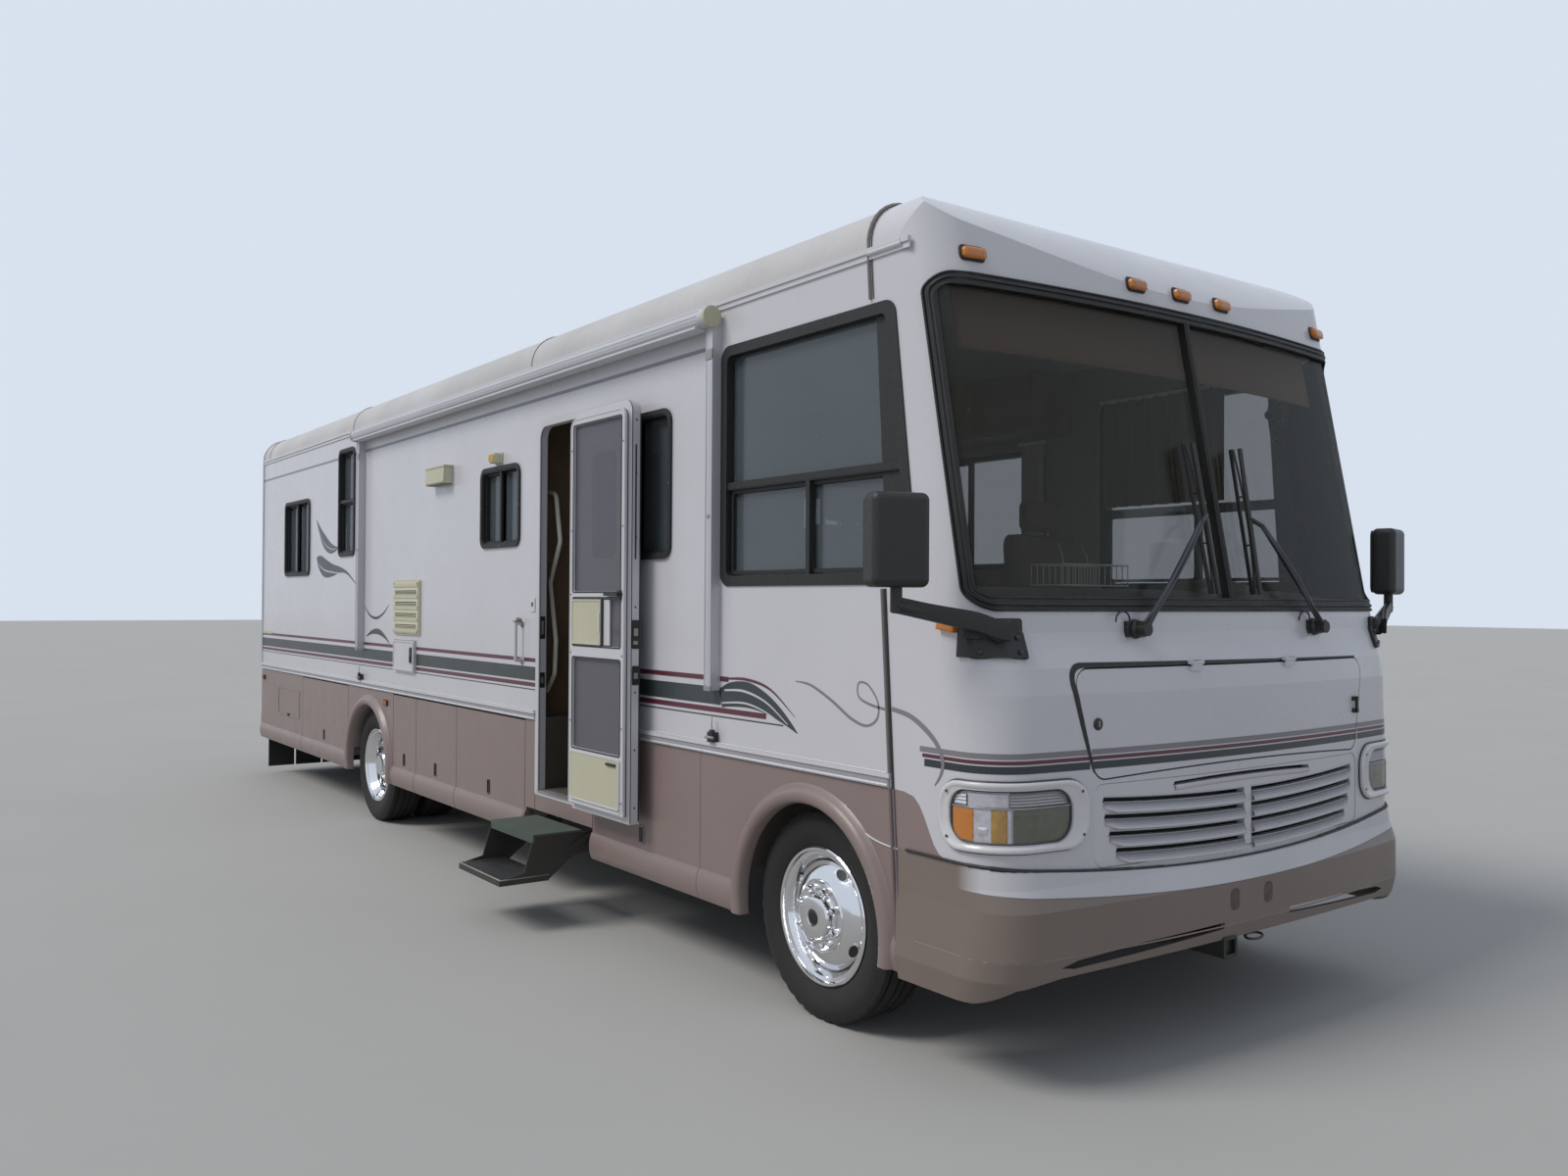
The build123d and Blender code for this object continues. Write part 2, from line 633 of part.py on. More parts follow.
def make_rim(x_centre, dish, face):
    """One wheel: rim well, disc set dish from the middle, and four hand holes."""
    half = TYRE_WIDTH / 2 - 38
    bead = RIM_RADIUS - 12
    sign = 1 if face > 0 else -1
    barrel = outline([
        (-half, bead), (-half - 9, RIM_RADIUS + 8), (-half - 18, RIM_RADIUS + 8), (-half - 10, bead - 12),
        (-half + 40, bead - 45), (half - 40, bead - 45), (half + 10, bead - 12), (half + 18, RIM_RADIUS + 8),
        (half + 9, RIM_RADIUS + 8), (half, bead), (half - 24, bead), (half - 48, bead - 32),
        (-half + 48, bead - 32), (-half + 24, bead),
    ])
    ring = revolve(Plane.XY * barrel, Axis.X)
    web = outline([
        (dish - 8, 0), (dish + 8, 0), (dish + 8, 130), (dish + sign * 26 + 8, 160),
        (dish + 8, bead - 40), (dish - 8, bead - 40), (dish + sign * 26 - 8, 160), (dish - 8, 130),
    ])
    disc = revolve(Plane.XY * web, Axis.X)
    for number in range(4):
        hole = extrude(SlotCenterToCenter(36, 38), amount=60, both=True)
        disc -= Rot(number * 90 + 45, 0, 0) * Pos(dish, 0, 182) * Rot(0, 90, 0) * Rot(0, 0, 90) * hole
    return Pos(x_centre, 0, 0) * fuse([ring, disc])


def on_axle(shape, y):
    """A wheel part put at its axle's centre."""
    return Pos(0, y, TYRE_RADIUS) * shape


def make_front_rim(side):
    """A front wheel with its bright cover: domed hub, lugs and outer disc."""
    rim = make_rim(side * FRONT_WHEEL_X, side * 55, side)
    face = side * (FRONT_WHEEL_X + 63)
    hub = Rot(0, side * 90, 0) * Cone(92, 62, 70)
    hub = Pos(face + side * 30, 0, 0) * hub
    cap = Pos(face + side * 62, 0, 0) * Rot(0, 90, 0) * Cylinder(52, 30)
    drum = Pos(side * (FRONT_WHEEL_X - 5), 0, 0) * Rot(0, 90, 0) * Cylinder(150, 112)
    pieces = [rim, hub, cap, drum]
    for number in range(8):
        lug = Rot(number * 45, 0, 0) * Pos(face + side * 12, 0, 118) * Rot(0, 90, 0) * Cylinder(16, 44)
        pieces.append(lug)
    return on_axle(fuse(pieces), FRONT_AXLE_Y)


def make_rear_rim(side):
    """The twin rear wheels, dished back to back on one hub."""
    outer = make_rim(side * REAR_OUTER_X, -side * 60, side)
    inner = make_rim(side * REAR_INNER_X, side * 60, -side)
    hub_start = side * (REAR_INNER_X - 60)
    hub_end = side * (REAR_OUTER_X + 45)
    middle = (hub_start + hub_end) / 2
    hub = Pos(middle, 0, 0) * Rot(0, 90, 0) * Cylinder(120, abs(hub_end - hub_start))
    cap = Pos(hub_end + side * 22, 0, 0) * Rot(0, 90, 0) * Cylinder(70, 46)
    pieces = [outer, inner, hub, cap]
    for number in range(8):
        place = Pos(side * (REAR_OUTER_X - 20), 0, 138)
        pieces.append(Rot(number * 45, 0, 0) * place * Rot(0, 90, 0) * Cylinder(16, 80))
    return on_axle(fuse(pieces), REAR_AXLE_Y)


def make_knuckle(side):
    """A steering knuckle: kingpin boss, stub axle and steering arm."""
    boss = Pos(side * KINGPIN_X, 0, 0) * Cylinder(38, 190)
    stub_start = side * (KINGPIN_X + 20)
    stub_end = side * (FRONT_WHEEL_X - 67)
    stub = Pos((stub_start + stub_end) / 2, 0, 0) * Rot(0, 90, 0) * Cylinder(45, abs(stub_end - stub_start))
    arm = block(side * (KINGPIN_X - 60), side * (KINGPIN_X + 15), 20, 180, -80, -50)
    return on_axle(fuse([boss, stub, arm]), FRONT_AXLE_Y)


def make_front_axle():
    """The dropped front beam between the kingpins, with its spring seats."""
    end = KINGPIN_X - 45
    y = FRONT_AXLE_Y
    shape = outline([
        (-end, 385), (-end, 450), (-700, 430), (-560, 380), (560, 380), (700, 430),
        (end, 450), (end, 385), (700, 365), (560, 315), (-560, 315), (-700, 365),
    ])
    beam = xz(shape, y - 40, y + 40)
    pads = [block(s * 400, s * 500, y - 60, y + 60, 375, 392) for s in (-1, 1)]
    return fuse([beam] + pads)


def leaf_spring(x, y, eye_z, seat_z, half_length):
    """A pack of leaves as one arc between two eyes, with shackle plates up to the rail."""
    thick = 38
    edges = Curve() + [
        ThreePointArc((y - half_length, eye_z), (y, seat_z), (y + half_length, eye_z)),
        Line((y + half_length, eye_z), (y + half_length, eye_z + thick)),
        ThreePointArc((y + half_length, eye_z + thick), (y, seat_z + thick), (y - half_length, eye_z + thick)),
        Line((y - half_length, eye_z + thick), (y - half_length, eye_z)),
    ]
    pack = yz(make_face(edges), x - 38, x + 38)
    hangers = [block(x - 20, x + 20, end - 25, end + 25, eye_z + 10, RAIL_BOTTOM)
               for end in (y - half_length + 25, y + half_length - 25)]
    return fuse([pack] + hangers)


def make_leaf_springs():
    """Front and rear springs, under the rails."""
    pieces = []
    for side in (-1, 1):
        pieces.append(leaf_spring(side * 450, FRONT_AXLE_Y, 470, 392, 700))
        pieces.append(leaf_spring(side * 450, REAR_AXLE_Y, 520, 492, 760))
    return group(pieces)


def make_rear_axle():
    """Rear axle tube, differential and propeller shaft."""
    y = REAR_AXLE_Y
    tube = rod((-690, y, TYRE_RADIUS), (690, y, TYRE_RADIUS), 78)
    bowl = Pos(0, y, TYRE_RADIUS) * Rot(90, 0, 0) * Cylinder(185, 190)
    nose = Pos(0, y - 180, TYRE_RADIUS + 10) * Rot(90, 0, 0) * Cone(70, 110, 200)
    shaft = rod((0, -3380, 560), (0, y - 260, TYRE_RADIUS + 12), 45)
    return fuse([tube, bowl, nose, shaft])


def make_chassis_frame():
    """Two channel rails with their cross members, end brackets and jack pads."""
    pieces = []
    start, end = -4720, 4640
    for side in (-1, 1):
        rail = block(side * 395, side * 470, start, end, RAIL_BOTTOM, RAIL_TOP)
        rail -= block(side * 380, side * 460, start - 10, end + 10, RAIL_BOTTOM + 9, RAIL_TOP - 9)
        pieces.append(rail)
    for y in (-4690, -3100, -2000, -900, 200, 1150, 2250, 3400, 4600):
        cross = block(-461, 461, y - 35, y + 35, RAIL_BOTTOM + 60, RAIL_TOP - 20)
        pieces.append(cross)
    for side in (-1, 1):
        pieces.append(block(side * 400, side * 460, 4560, REAR_WALL_Y - WALL, RAIL_BOTTOM, RAIL_BOTTOM + 80))
        pieces.append(block(side * 400, side * 470, -4806, start, RAIL_BOTTOM, RAIL_BOTTOM + 90))
        for y in JACK_PADS:
            pieces.append(block(side * 397, side * 467, y - 70, y + 70, RAIL_BOTTOM - JACK_PAD_DROP, RAIL_BOTTOM))
    return fuse(pieces)


def make_floor_bearers():
    """Beams that lie across the rails and carry the floor; the first is parted by the engine."""
    # Place along the vehicle, with the half length of each
    beams = [(-3350, 1200), (-2500, 500), (-1050, 500), (-200, 500), (700, 500), (1300, 1200),
             (2000, 1200), (3000, 500), (3700, 1200), (4500, 1200)]
    pieces = [block(-half, half, y - 25, y + 25, RAIL_TOP, FLOOR_BOTTOM) for y, half in beams]
    pieces += both(block(395, 1200, -4225, -4175, RAIL_TOP, FLOOR_BOTTOM))
    return group(pieces)


def make_engine():
    """Engine as one plain block between the rails, with the radiator ahead of it."""
    engine = block(-260, 260, -4230, -3420, 600, 1120)
    radiator = block(-350, 350, -4560, -4480, 640, 1080)
    return group([engine, radiator])


def make_tanks():
    """Holding tanks ahead of the doorway and the fuel tank behind the rear axle."""
    pieces = [
        block(-1215, -560, -2930, -2020, 480, FLOOR_BOTTOM),
        block(560, 1215, -2930, -1250, 480, FLOOR_BOTTOM),
        block(-370, 370, 2330, 3330, 430, RAIL_TOP - 40),
    ]
    return group(fillet(piece.edges().filter_by(Axis.Y), 40) for piece in pieces)


def make_exhaust():
    """Silencer and pipe, under the left rail."""
    x, z = 240, 450
    pipe_front = rod((x, -3380, z + 80), (x, -2400, z), 32)
    pipe = rod((x, -2400, z), (x, 1300, z), 32)
    silencer = rod((x, -1500, z), (x, -700, z), 105)
    return fuse([pipe_front, pipe, silencer])


def make_floor():
    """Floor panel with the engine cover's opening and the stepwell let into it."""
    floor = block(-1228, 1228, -4331, REAR_WALL_Y - WALL, FLOOR_BOTTOM, FLOOR_TOP)
    floor -= block(-330, 330, -4400, -3400, 900, 1100)
    y0, y1 = STEPWELL
    sheet = 15
    outer, tread, inner = -1228, -980, -730
    floor -= block(-1240, inner, y0, y1, 900, 1100)
    sill = block(outer, tread + sheet, y0 - sheet, y1 + sheet, DOOR_SILL - 17, DOOR_SILL - 2)
    riser = block(tread, tread + sheet, y0 - sheet, y1 + sheet, DOOR_SILL - 17, 800)
    second = block(tread, inner + sheet, y0 - sheet, y1 + sheet, 785, 800)
    back = block(inner, inner + sheet, y0 - sheet, y1 + sheet, 785, FLOOR_BOTTOM)
    pieces = [floor, sill, riser, second, back]
    for y in (y0 - sheet, y1):
        pieces.append(block(outer, tread + sheet, y, y + sheet, DOOR_SILL - 17, FLOOR_BOTTOM))
        pieces.append(block(tread, inner + sheet, y, y + sheet, 785, FLOOR_BOTTOM))
    return fuse(pieces)


def make_basement():
    """Luggage boxes hung under the floor, open towards their doors, and the wheel housings."""
    sheet = 14
    low = 430
    pieces = []
    for side, y0, y1, walls in ((-1, -1145, 1070, (-121, 612)), (-1, 2130, 3405, ()),
                                (1, -1145, -126, ()), (1, 2130, 3405, ())):
        outer, inner = side * 1232, side * 520
        box = block(outer, inner, y0, y1, low, FLOOR_BOTTOM)
        box -= block(side * 1300, inner + side * sheet, y0 + sheet, y1 - sheet, low + sheet, FLOOR_BOTTOM - sheet)
        for wall in walls:
            box += block(outer, inner, wall - sheet / 2, wall + sheet / 2, low, FLOOR_BOTTOM)
        pieces.append(box)
    # Axle, with the radius of its housings: the steered wheels need more room
    for y, radius in ((FRONT_AXLE_Y, 516), (REAR_AXLE_Y, ARCH_RADIUS)):
        vault = yz(Pos(y, TYRE_RADIUS) * (Circle(radius) - Circle(radius - 6)), 640, HALF_WIDTH - SKIRT)
        pieces += both(vault & block(600, 1300, y - 600, y + 600, TYRE_RADIUS + 90, FLOOR_BOTTOM))
    return group(pieces)


def make_door_frame():
    """Aluminium jamb round the doorway, with the hinge pin and its brackets."""
    y0, y1 = DOORWAY
    z0, z1 = DOOR_SILL - 8, DOOR_TOP + GAP
    ring = yz(round_topped(y0 - 40, y1 + 40, z0 - 2, z1 + 40, DOOR_CORNER + 46), -1273, -1228)
    ring -= yz(round_topped(y0, y1, z0 + 8, z1, DOOR_CORNER + GAP), -1300, -1200)
    for z in HINGE_SLEEVES:
        ring -= block(-1280, -1260, y0 - 16, y0 + 5, z - 52, z + 52)
    pieces = [ring, rod((HINGE_X, HINGE_Y, 640), (HINGE_X, HINGE_Y, 2560), 6)]
    for z in (640, 1240, 1960, 2530):
        pieces.append(block(HINGE_X - 8, -1270, HINGE_Y - 8, HINGE_Y + 8, z, z + 30))
    return fuse(pieces)


def make_entry_door():
    """The entry door standing open: outer skin towards the wall, window cut, hinge sleeves."""
    outer = HINGE_X - 25
    inner = outer - DOOR_THICKNESS
    y_near = HINGE_Y - DOOR_FIRST
    y_far = HINGE_Y - DOOR_LAST
    leaf = yz(round_topped(y_far, y_near, DOOR_SILL + GAP, DOOR_TOP, DOOR_CORNER), inner, outer)
    leaf -= yz(panel(y_far + 130, y_near - 200, 1850, 2380, 50), inner - 10, outer + 10)
    pane = yz(panel(y_far + 130, y_near - 200, 1850, 2380, 50), inner + 20, inner + 26)
    pieces = [leaf, pane]
    for z in HINGE_SLEEVES:
        sleeve = Pos(HINGE_X, HINGE_Y, z) * (Cylinder(11, 90) - Cylinder(6.4, 100))
        strap = block(outer - 8, HINGE_X - 8, y_near - 8, HINGE_Y - 6, z - 45, z + 45)
        pieces += [sleeve, strap]
    return fuse(pieces)


def make_screen_door():
    """The inner screen door: frame, two rails, slider panel and kick panel."""
    outer = HINGE_X - 25 - DOOR_THICKNESS
    x0, x1 = outer - 30, outer
    y0, y1 = HINGE_Y - DOOR_LAST + 10, HINGE_Y - DOOR_FIRST - 12
    z0, z1 = 640, 2560
    frame = yz(round_topped(y0, y1, z0, z1, DOOR_CORNER - 10), x0, x1)
    # Lower and upper height of each field between the rails
    for low, high in ((920, 1365), (1430, 1660), (1695, 2520)):
        frame -= yz(panel(y0 + 38, y1 - 38, low, high, 12), x0 - 5, x1 + 5)
        frame += block(x0 + 13, x0 + 17, y0 + 30, y1 - 30, low - 5, high + 5)
    slider = block(x0 + 4, x0 + 13, y0 + 150, y1 - 38, 1436, 1654)
    handle = block(x0 - 22, x0, y0 + 60, y0 + 150, 1672, 1690)
    return fuse([frame, slider, handle])


def step_tread_pivots():
    """Where the arms carry the treads at rest, as (x, z) for each arm."""
    dx = -STEP_ARM * cos(STEP_REST)
    dz = -STEP_ARM * sin(STEP_REST)
    return [(x + dx, z + dz) for x, z in (STEP_PIVOT_A, STEP_PIVOT_B)]


def make_step_frame():
    """Two cheek plates under the stepwell, with the arms' pins."""
    pieces = []
    for side in (-1, 1):
        y0, y1 = sorted((STEP_Y + side * (STEP_HALF + 32), STEP_Y + side * (STEP_HALF + 38)))
        plate = block(-1170, -870, y0, y1, 478, DOOR_SILL - 17)
        for (x, z), depth in ((STEP_PIVOT_A, 6), (STEP_PIVOT_B, 17)):
            tip = STEP_Y + side * (STEP_HALF + depth)
            plate += rod((x, STEP_Y + side * (STEP_HALF + 35), z), (x, tip, z), 6)
        pieces.append(plate)
    tie = block(-900, -880, STEP_Y - STEP_HALF - 36, STEP_Y + STEP_HALF + 36, 550, DOOR_SILL - 17)
    return fuse(pieces + [tie])


def make_step_arms(pivot, far, depth):
    """One pair of arms, joined by a cross tube near the treads' end."""
    pieces = []
    for side in (-1, 1):
        y0, y1 = sorted((STEP_Y + side * (STEP_HALF + depth), STEP_Y + side * (STEP_HALF + depth + 6)))
        length = sqrt((far[0] - pivot[0]) ** 2 + (far[1] - pivot[1]) ** 2)
        angle = degrees(atan2(far[1] - pivot[1], far[0] - pivot[0]))
        bar = Pos((pivot[0] + far[0]) / 2, (pivot[1] + far[1]) / 2) * Rot(0, 0, angle) * SlotCenterToCenter(length, 22)
        arm = xz(bar, y0, y1)
        for x, z in (pivot, far):
            arm -= rod((x, y0 - 5, z), (x, y1 + 5, z), 6.3)
        pieces.append(arm)
    return group(pieces)


def make_step_treads():
    """Upper and lower tread on two side plates, with the pins that the arms hold."""
    q1, q2 = step_tread_pivots()
    pieces = [
        block(-1555, -1300, STEP_Y - STEP_HALF + 2, STEP_Y + STEP_HALF - 2, 437, 465),
        block(-1740, -1475, STEP_Y - STEP_HALF + 2, STEP_Y + STEP_HALF - 2, 237, 265),
    ]
    cheek = outline([(-1560, 462), (-1190, 462), (-1190, 370), (-1340, 350), (-1480, 240), (-1735, 240),
                     (-1735, 262), (-1610, 290)])
    for side in (-1, 1):
        y0, y1 = sorted((STEP_Y + side * (STEP_HALF - 6), STEP_Y + side * STEP_HALF))
        plate = xz(cheek, y0, y1)
        for (x, z), depth in ((q1, 14), (q2, 27)):
            plate += rod((x, STEP_Y + side * (STEP_HALF - 3), z), (x, STEP_Y + side * (STEP_HALF + depth), z), 6)
        pieces.append(plate)
    return fuse(pieces)


def make_signal_lamps():
    """Amber lamps over the windscreen and along both sides, tail lamps, and red lamps at the roof's edge."""
    skin = hull(-22) - hull(0)
    pieces = [skin & front_prism(x - 45, x + 45, 2872, 2912, 12) for x in (-1093, -275, 0, 275, 1093)]
    for y in (REAR_AXLE_Y - 377, 4730):
        pieces += both(block(1270, 1284, y - 35, y + 35, 890, 918))
    pieces += (skin & (Pos(0, -4574, 1568) * Rot(8, 0, 0) * Box(2800, 84, 24))).solids()
    pieces += both(xz(panel(1020, 1150, 1080, 1330, 20), REAR_WALL_Y, REAR_WALL_Y + 28))
    for x in (-1100, -180, 0, 180, 1100):
        pieces.append(block(x - 40, x + 40, REAR_WALL_Y, REAR_WALL_Y + 20, 3040, 3070))
    return group(pieces)


def make_belt_trim():
    """Two-ridged belt moulding and the drip rail along the roof edge, on both sides."""
    pieces = []
    for side in (-1, 1):
        for low, high, y_end in ((BELT_LOW, BELT_HIGH, REAR_WALL_Y), (ROOF_EDGE - 40, ROOF_EDGE, REAR_WALL_Y)):
            start = SEAM_LOW[0] if low == BELT_LOW else RAIL_START
            strip = block(side * HALF_WIDTH, side * (HALF_WIDTH + 8), start, y_end, low, high)
            ridge = block(side * HALF_WIDTH, side * (HALF_WIDTH + 15), start, y_end, high - 18, high)
            strip = fuse([strip, ridge])
            if low == BELT_LOW:
                strip &= behind_seam(900, HULL_TOP)
            if side < 0 and low < DOOR_TOP:
                strip -= block(-1400, -1200, DOORWAY[0] - 41, DOORWAY[1] + 41, 900, 1200)
            pieces.extend(strip.solids())
    return group(pieces)


def make_mirrors():
    """Tall mirror heads, turned out a little, on flat arms from plates on the nose's corners."""
    x, y, turn = MIRROR
    head = Pos(x, y, 1855) * Rot(0, 0, turn) * Box(206, 104, 310)
    head = fillet(head.edges(), 26)
    plate = (hull(-12) - hull(0)) & block(1000, 1300, -4900, -4620, 1468, 1600)
    plate &= front_prism(1108, 1300, 1468, 1600, 12)
    arm = rod((1208, -4722, 1560), (x, y, 1640), 22) - OUTSIDE
    foot = rod((1196, -4742, 1540), (1262, -4722, 1580), 26) - OUTSIDE
    post = rod((x, y, 1620), (x, y, 1720), 20)
    return group(both(fuse([head, plate, foot, arm, post])))


def make_wipers():
    """Two long wiper arms and blades, parked upright beside the middle of the screen."""
    pieces = []
    for x, tip in ((-575, -90), (575, 90)):
        base = rod((x, -4780, 1560), (x, -4865, 1560), 24) - OUTSIDE
        arm = rod((x, -4856, 1560), (tip * 2.2, -4815, 1960), 9)
        blade = rod((tip * 1.5, -4846, 1690), (tip * 1.7, -4742, 2270), 9)
        link = rod((tip * 2.2, -4815, 1960), (tip * 1.55, -4795, 1990), 9)
        pieces.append(fuse([base, arm, blade, link]))
    return group(pieces)


def make_awning():
    """Rolled awning under the roof edge, on two folded arms."""
    y0, y1 = -3126, 1776
    pieces = [rod((-1330, y0 - 15, 2880), (-1330, y1 + 15, 2880), 42)]
    for y in (y0, y1):
        pieces.append(block(-1315, -1270, y - 27, y + 27, 1265, 2885))
    return fuse(pieces)


def make_roof_units():
    """Two air conditioners, two lidded vents and two pipe caps."""
    pieces = []
    for y in (-2190, 2810):
        base = Plane.XY.offset(ROOF_CROWN - 12) * Pos(0, y) * RectangleRounded(700, 1050, 80)
        top = Plane.XY.offset(3545) * Pos(0, y + 30) * RectangleRounded(600, 800, 80)
        pieces.append(loft([base, top], ruled=True) - OUTSIDE)
    for x, y in ((-320, 300), (320, 3900), (350, -3300)):
        vent = xy(panel(x - 190, x + 190, y - 190, y + 190, 40), 3150, 3285)
        pieces.append(vent - OUTSIDE)
    for x, y in ((-700, 1300), (600, 1500)):
        pieces.append(rod((x, y, 3150), (x, y, 3300), 40) - OUTSIDE)
    return group(pieces)


def make_ladder():
    """Rear ladder of round tube, hooked over the roof edge."""
    pieces = []
    y = REAR_WALL_Y + 75
    for x in (620, 960):
        path = FilletPolyline((x, y, 1130), (x, y, 3260), (x, y - 260, 3260), (x, y - 260, 3100), radius=60)
        start = Plane(origin=(x, y, 1130), z_dir=(0, 0, 1))
        pieces.append(sweep(start * Circle(13), path=path) - OUTSIDE)
        for z in (1150, 2300):
            pieces.append(rod((x, y, z), (x, REAR_WALL_Y, z), 10))
    for number in range(7):
        z = 1220 + number * 300
        pieces.append(rod((620, y, z), (960, y, z), 11))
    return fuse(pieces)


def make_rear_bumper():
    """Lower rear panel, bumper beam and the hitch receiver with its pin hole."""
    sheet = block(-HALF_WIDTH, HALF_WIDTH, REAR_WALL_Y, REAR_WALL_Y + 20, 420, 980)
    beam = block(-1255, 1255, REAR_WALL_Y + 20, TAIL_Y, 420, 560)
    beam = fillet(beam.edges().filter_by(Axis.X), 25)
    receiver = block(-31.75, 31.75, 4560, 4890, 326, 389.5)
    socket = block(-25.4, 25.4, 4500, 4950, 332.35, 383.15)
    hanger = block(-60, 60, 4560, REAR_WALL_Y + 60, 389.5, 440)
    solid = fuse([sheet, beam, hanger, receiver]) - socket
    solid -= rod((-60, 4860, 357.75), (60, 4860, 357.75), 8.1)
    for x in (-PLATE_SPACING_X / 2, PLATE_SPACING_X / 2):
        for z in (PLATE_Z - PLATE_SPACING_Z / 2, PLATE_Z + PLATE_SPACING_Z / 2):
            solid -= rod((x, REAR_WALL_Y - 5, z), (x, REAR_WALL_Y + 30, z), 3.2)
    return solid


def make_mud_strips():
    """A row of hanging rubber strips across the tail."""
    pieces = [block(-1240, 1240, 4700, 4712, 405, 425)]
    count = 10
    pitch = 2480 / count
    for number in range(count):
        x = -1240 + number * pitch
        pieces.append(block(x + 8, x + pitch - 8, 4702, 4710, 60, 410))
    for side in (-1, 1):
        pieces.append(block(side * 900, side * 960, 4690, 4712, 415, FLOOR_BOTTOM))
    return fuse(pieces) - block(-66, 66, 4600, 4800, 310, 500)


def make_side_vents():
    """Louvred service vent, range vent, outlet door, porch lamp, and the handle and rail at the door."""
    vent = block(-1288, -1270, 550, 1040, 1415, 1770)
    for number in range(4):
        z = 1450 + number * 78
        vent -= block(-1300, -1278, 580, 1010, z, z + 26)
    hood = block(-1330, -1270, -20, 295, 2392, 2500)
    outlet = block(-1290, -1270, 620, 1035, 1150, 1370)
    lamp = block(-1320, -1270, -800, -720, 2455, 2510)
    handle = fuse([rod((-1310, -1100, 1300), (-1310, -1100, 1525), 9),
                   rod((-1310, -1100, 1308), (-1270, -1100, 1308), 9),
                   rod((-1310, -1100, 1517), (-1270, -1100, 1517), 9)])
    x, wall = -1140, -1150
    # Rail inside the doorway, as (y, z)
    bends = [(wall, 2265), (-1250, 2250), (-1310, 1980), (-1185, 1750), (-1262, 1420), (-1250, 1235), (wall, 1130)]
    path = FilletPolyline(*[(x, y, z) for y, z in bends], radius=50)
    direction = Vector(0, bends[1][0] - wall, bends[1][1] - bends[0][1])
    rail = sweep(Plane(origin=(x, wall, bends[0][1]), z_dir=direction) * Circle(13), path=path)
    rail &= block(x - 50, x + 50, -1400, wall, 1000, 2400)
    return group([vent, hood, outlet, lamp, handle, rail])


def make_dashboard():
    """Dash top under the screen, the engine cover and the steering column."""
    shape = outline([(-4690, 1500), (-4640, 1590), (-4300, 1600), (-4200, 1500), (-4230, 1250), (-4330, 1250)])
    dash = yz(shape, -1150, 1150) & hull(60)
    cover = block(-350, 350, -4330, -3380, FLOOR_TOP, 1260) - block(-325, 325, -4400, -3405, 900, 1235)
    column = rod((560, -4290, 1420), (560, -4110, 1530), 35)
    foot = block(-1150, 1150, -4330, -4290, FLOOR_TOP, 1260) - block(-325, 325, -4400, -4200, 900, 1235)
    return fuse([dash, cover, column, foot])


def make_steering_wheel():
    """Rim, three spokes and boss, tilted towards the driver."""
    ring = Torus(220, 15)
    boss = Cylinder(60, 40)
    spokes = [Rot(0, 0, angle) * Pos(110, 0, 0) * Box(220, 30, 14) for angle in (0, 180, 270)]
    wheel = fuse([ring, boss] + spokes)
    return Pos(560, -4075, 1551) * Rot(-58.6, 0, 0) * wheel


def make_seats():
    """Two cab seats on pedestals and the sofa along the left wall."""
    pieces = []
    for side in (-1, 1):
        x = side * 640
        base = block(x - 160, x + 160, -3720, -3330, FLOOR_TOP, 1290)
        cushion = fillet(block(x - 270, x + 270, -3820, -3270, 1285, 1430).edges(), 40)
        back = fillet(block(x - 260, x + 260, -3330, -3180, 1380, 2020).edges(), 50)
        head = fillet(block(x - 140, x + 140, -3300, -3200, 1990, 2180).edges(), 30)
        pieces.append(fuse([base, cushion, back, head]))
    sofa = block(560, 1215, -2950, -1300, FLOOR_TOP, 1430)
    back = block(1040, 1215, -2950, -1300, 1400, 1830)
    pieces.append(fuse([sofa, back]))
    return group(pieces)


def make_cabinets():
    """Galley, overhead lockers, cross partition, wardrobe and bed."""
    galley = block(-1222, -660, -1120, 480, FLOOR_TOP, 1900)
    end_panel = block(-1222, -660, -1150, -1120, FLOOR_TOP, 3140) & UNDER_ROOF
    galley = fuse([galley, end_panel, block(-1222, -900, -1120, 480, 2500, 2930)])
    lockers = block(900, 1215, -2950, 480, 2600, 2930)
    right = block(-1222, -330, 1250, 1290, FLOOR_TOP, 3140) & UNDER_ROOF
    left = block(330, 1222, 1250, 1290, FLOOR_TOP, 3140) & UNDER_ROOF
    bed = block(-720, 720, 2900, 4750, FLOOR_TOP, 1560)
    return group([galley, right, left, bed, lockers])


def write(name, shape):
    """One file for one sub-part."""
    export_step(shape, f"parts/{name}.step")


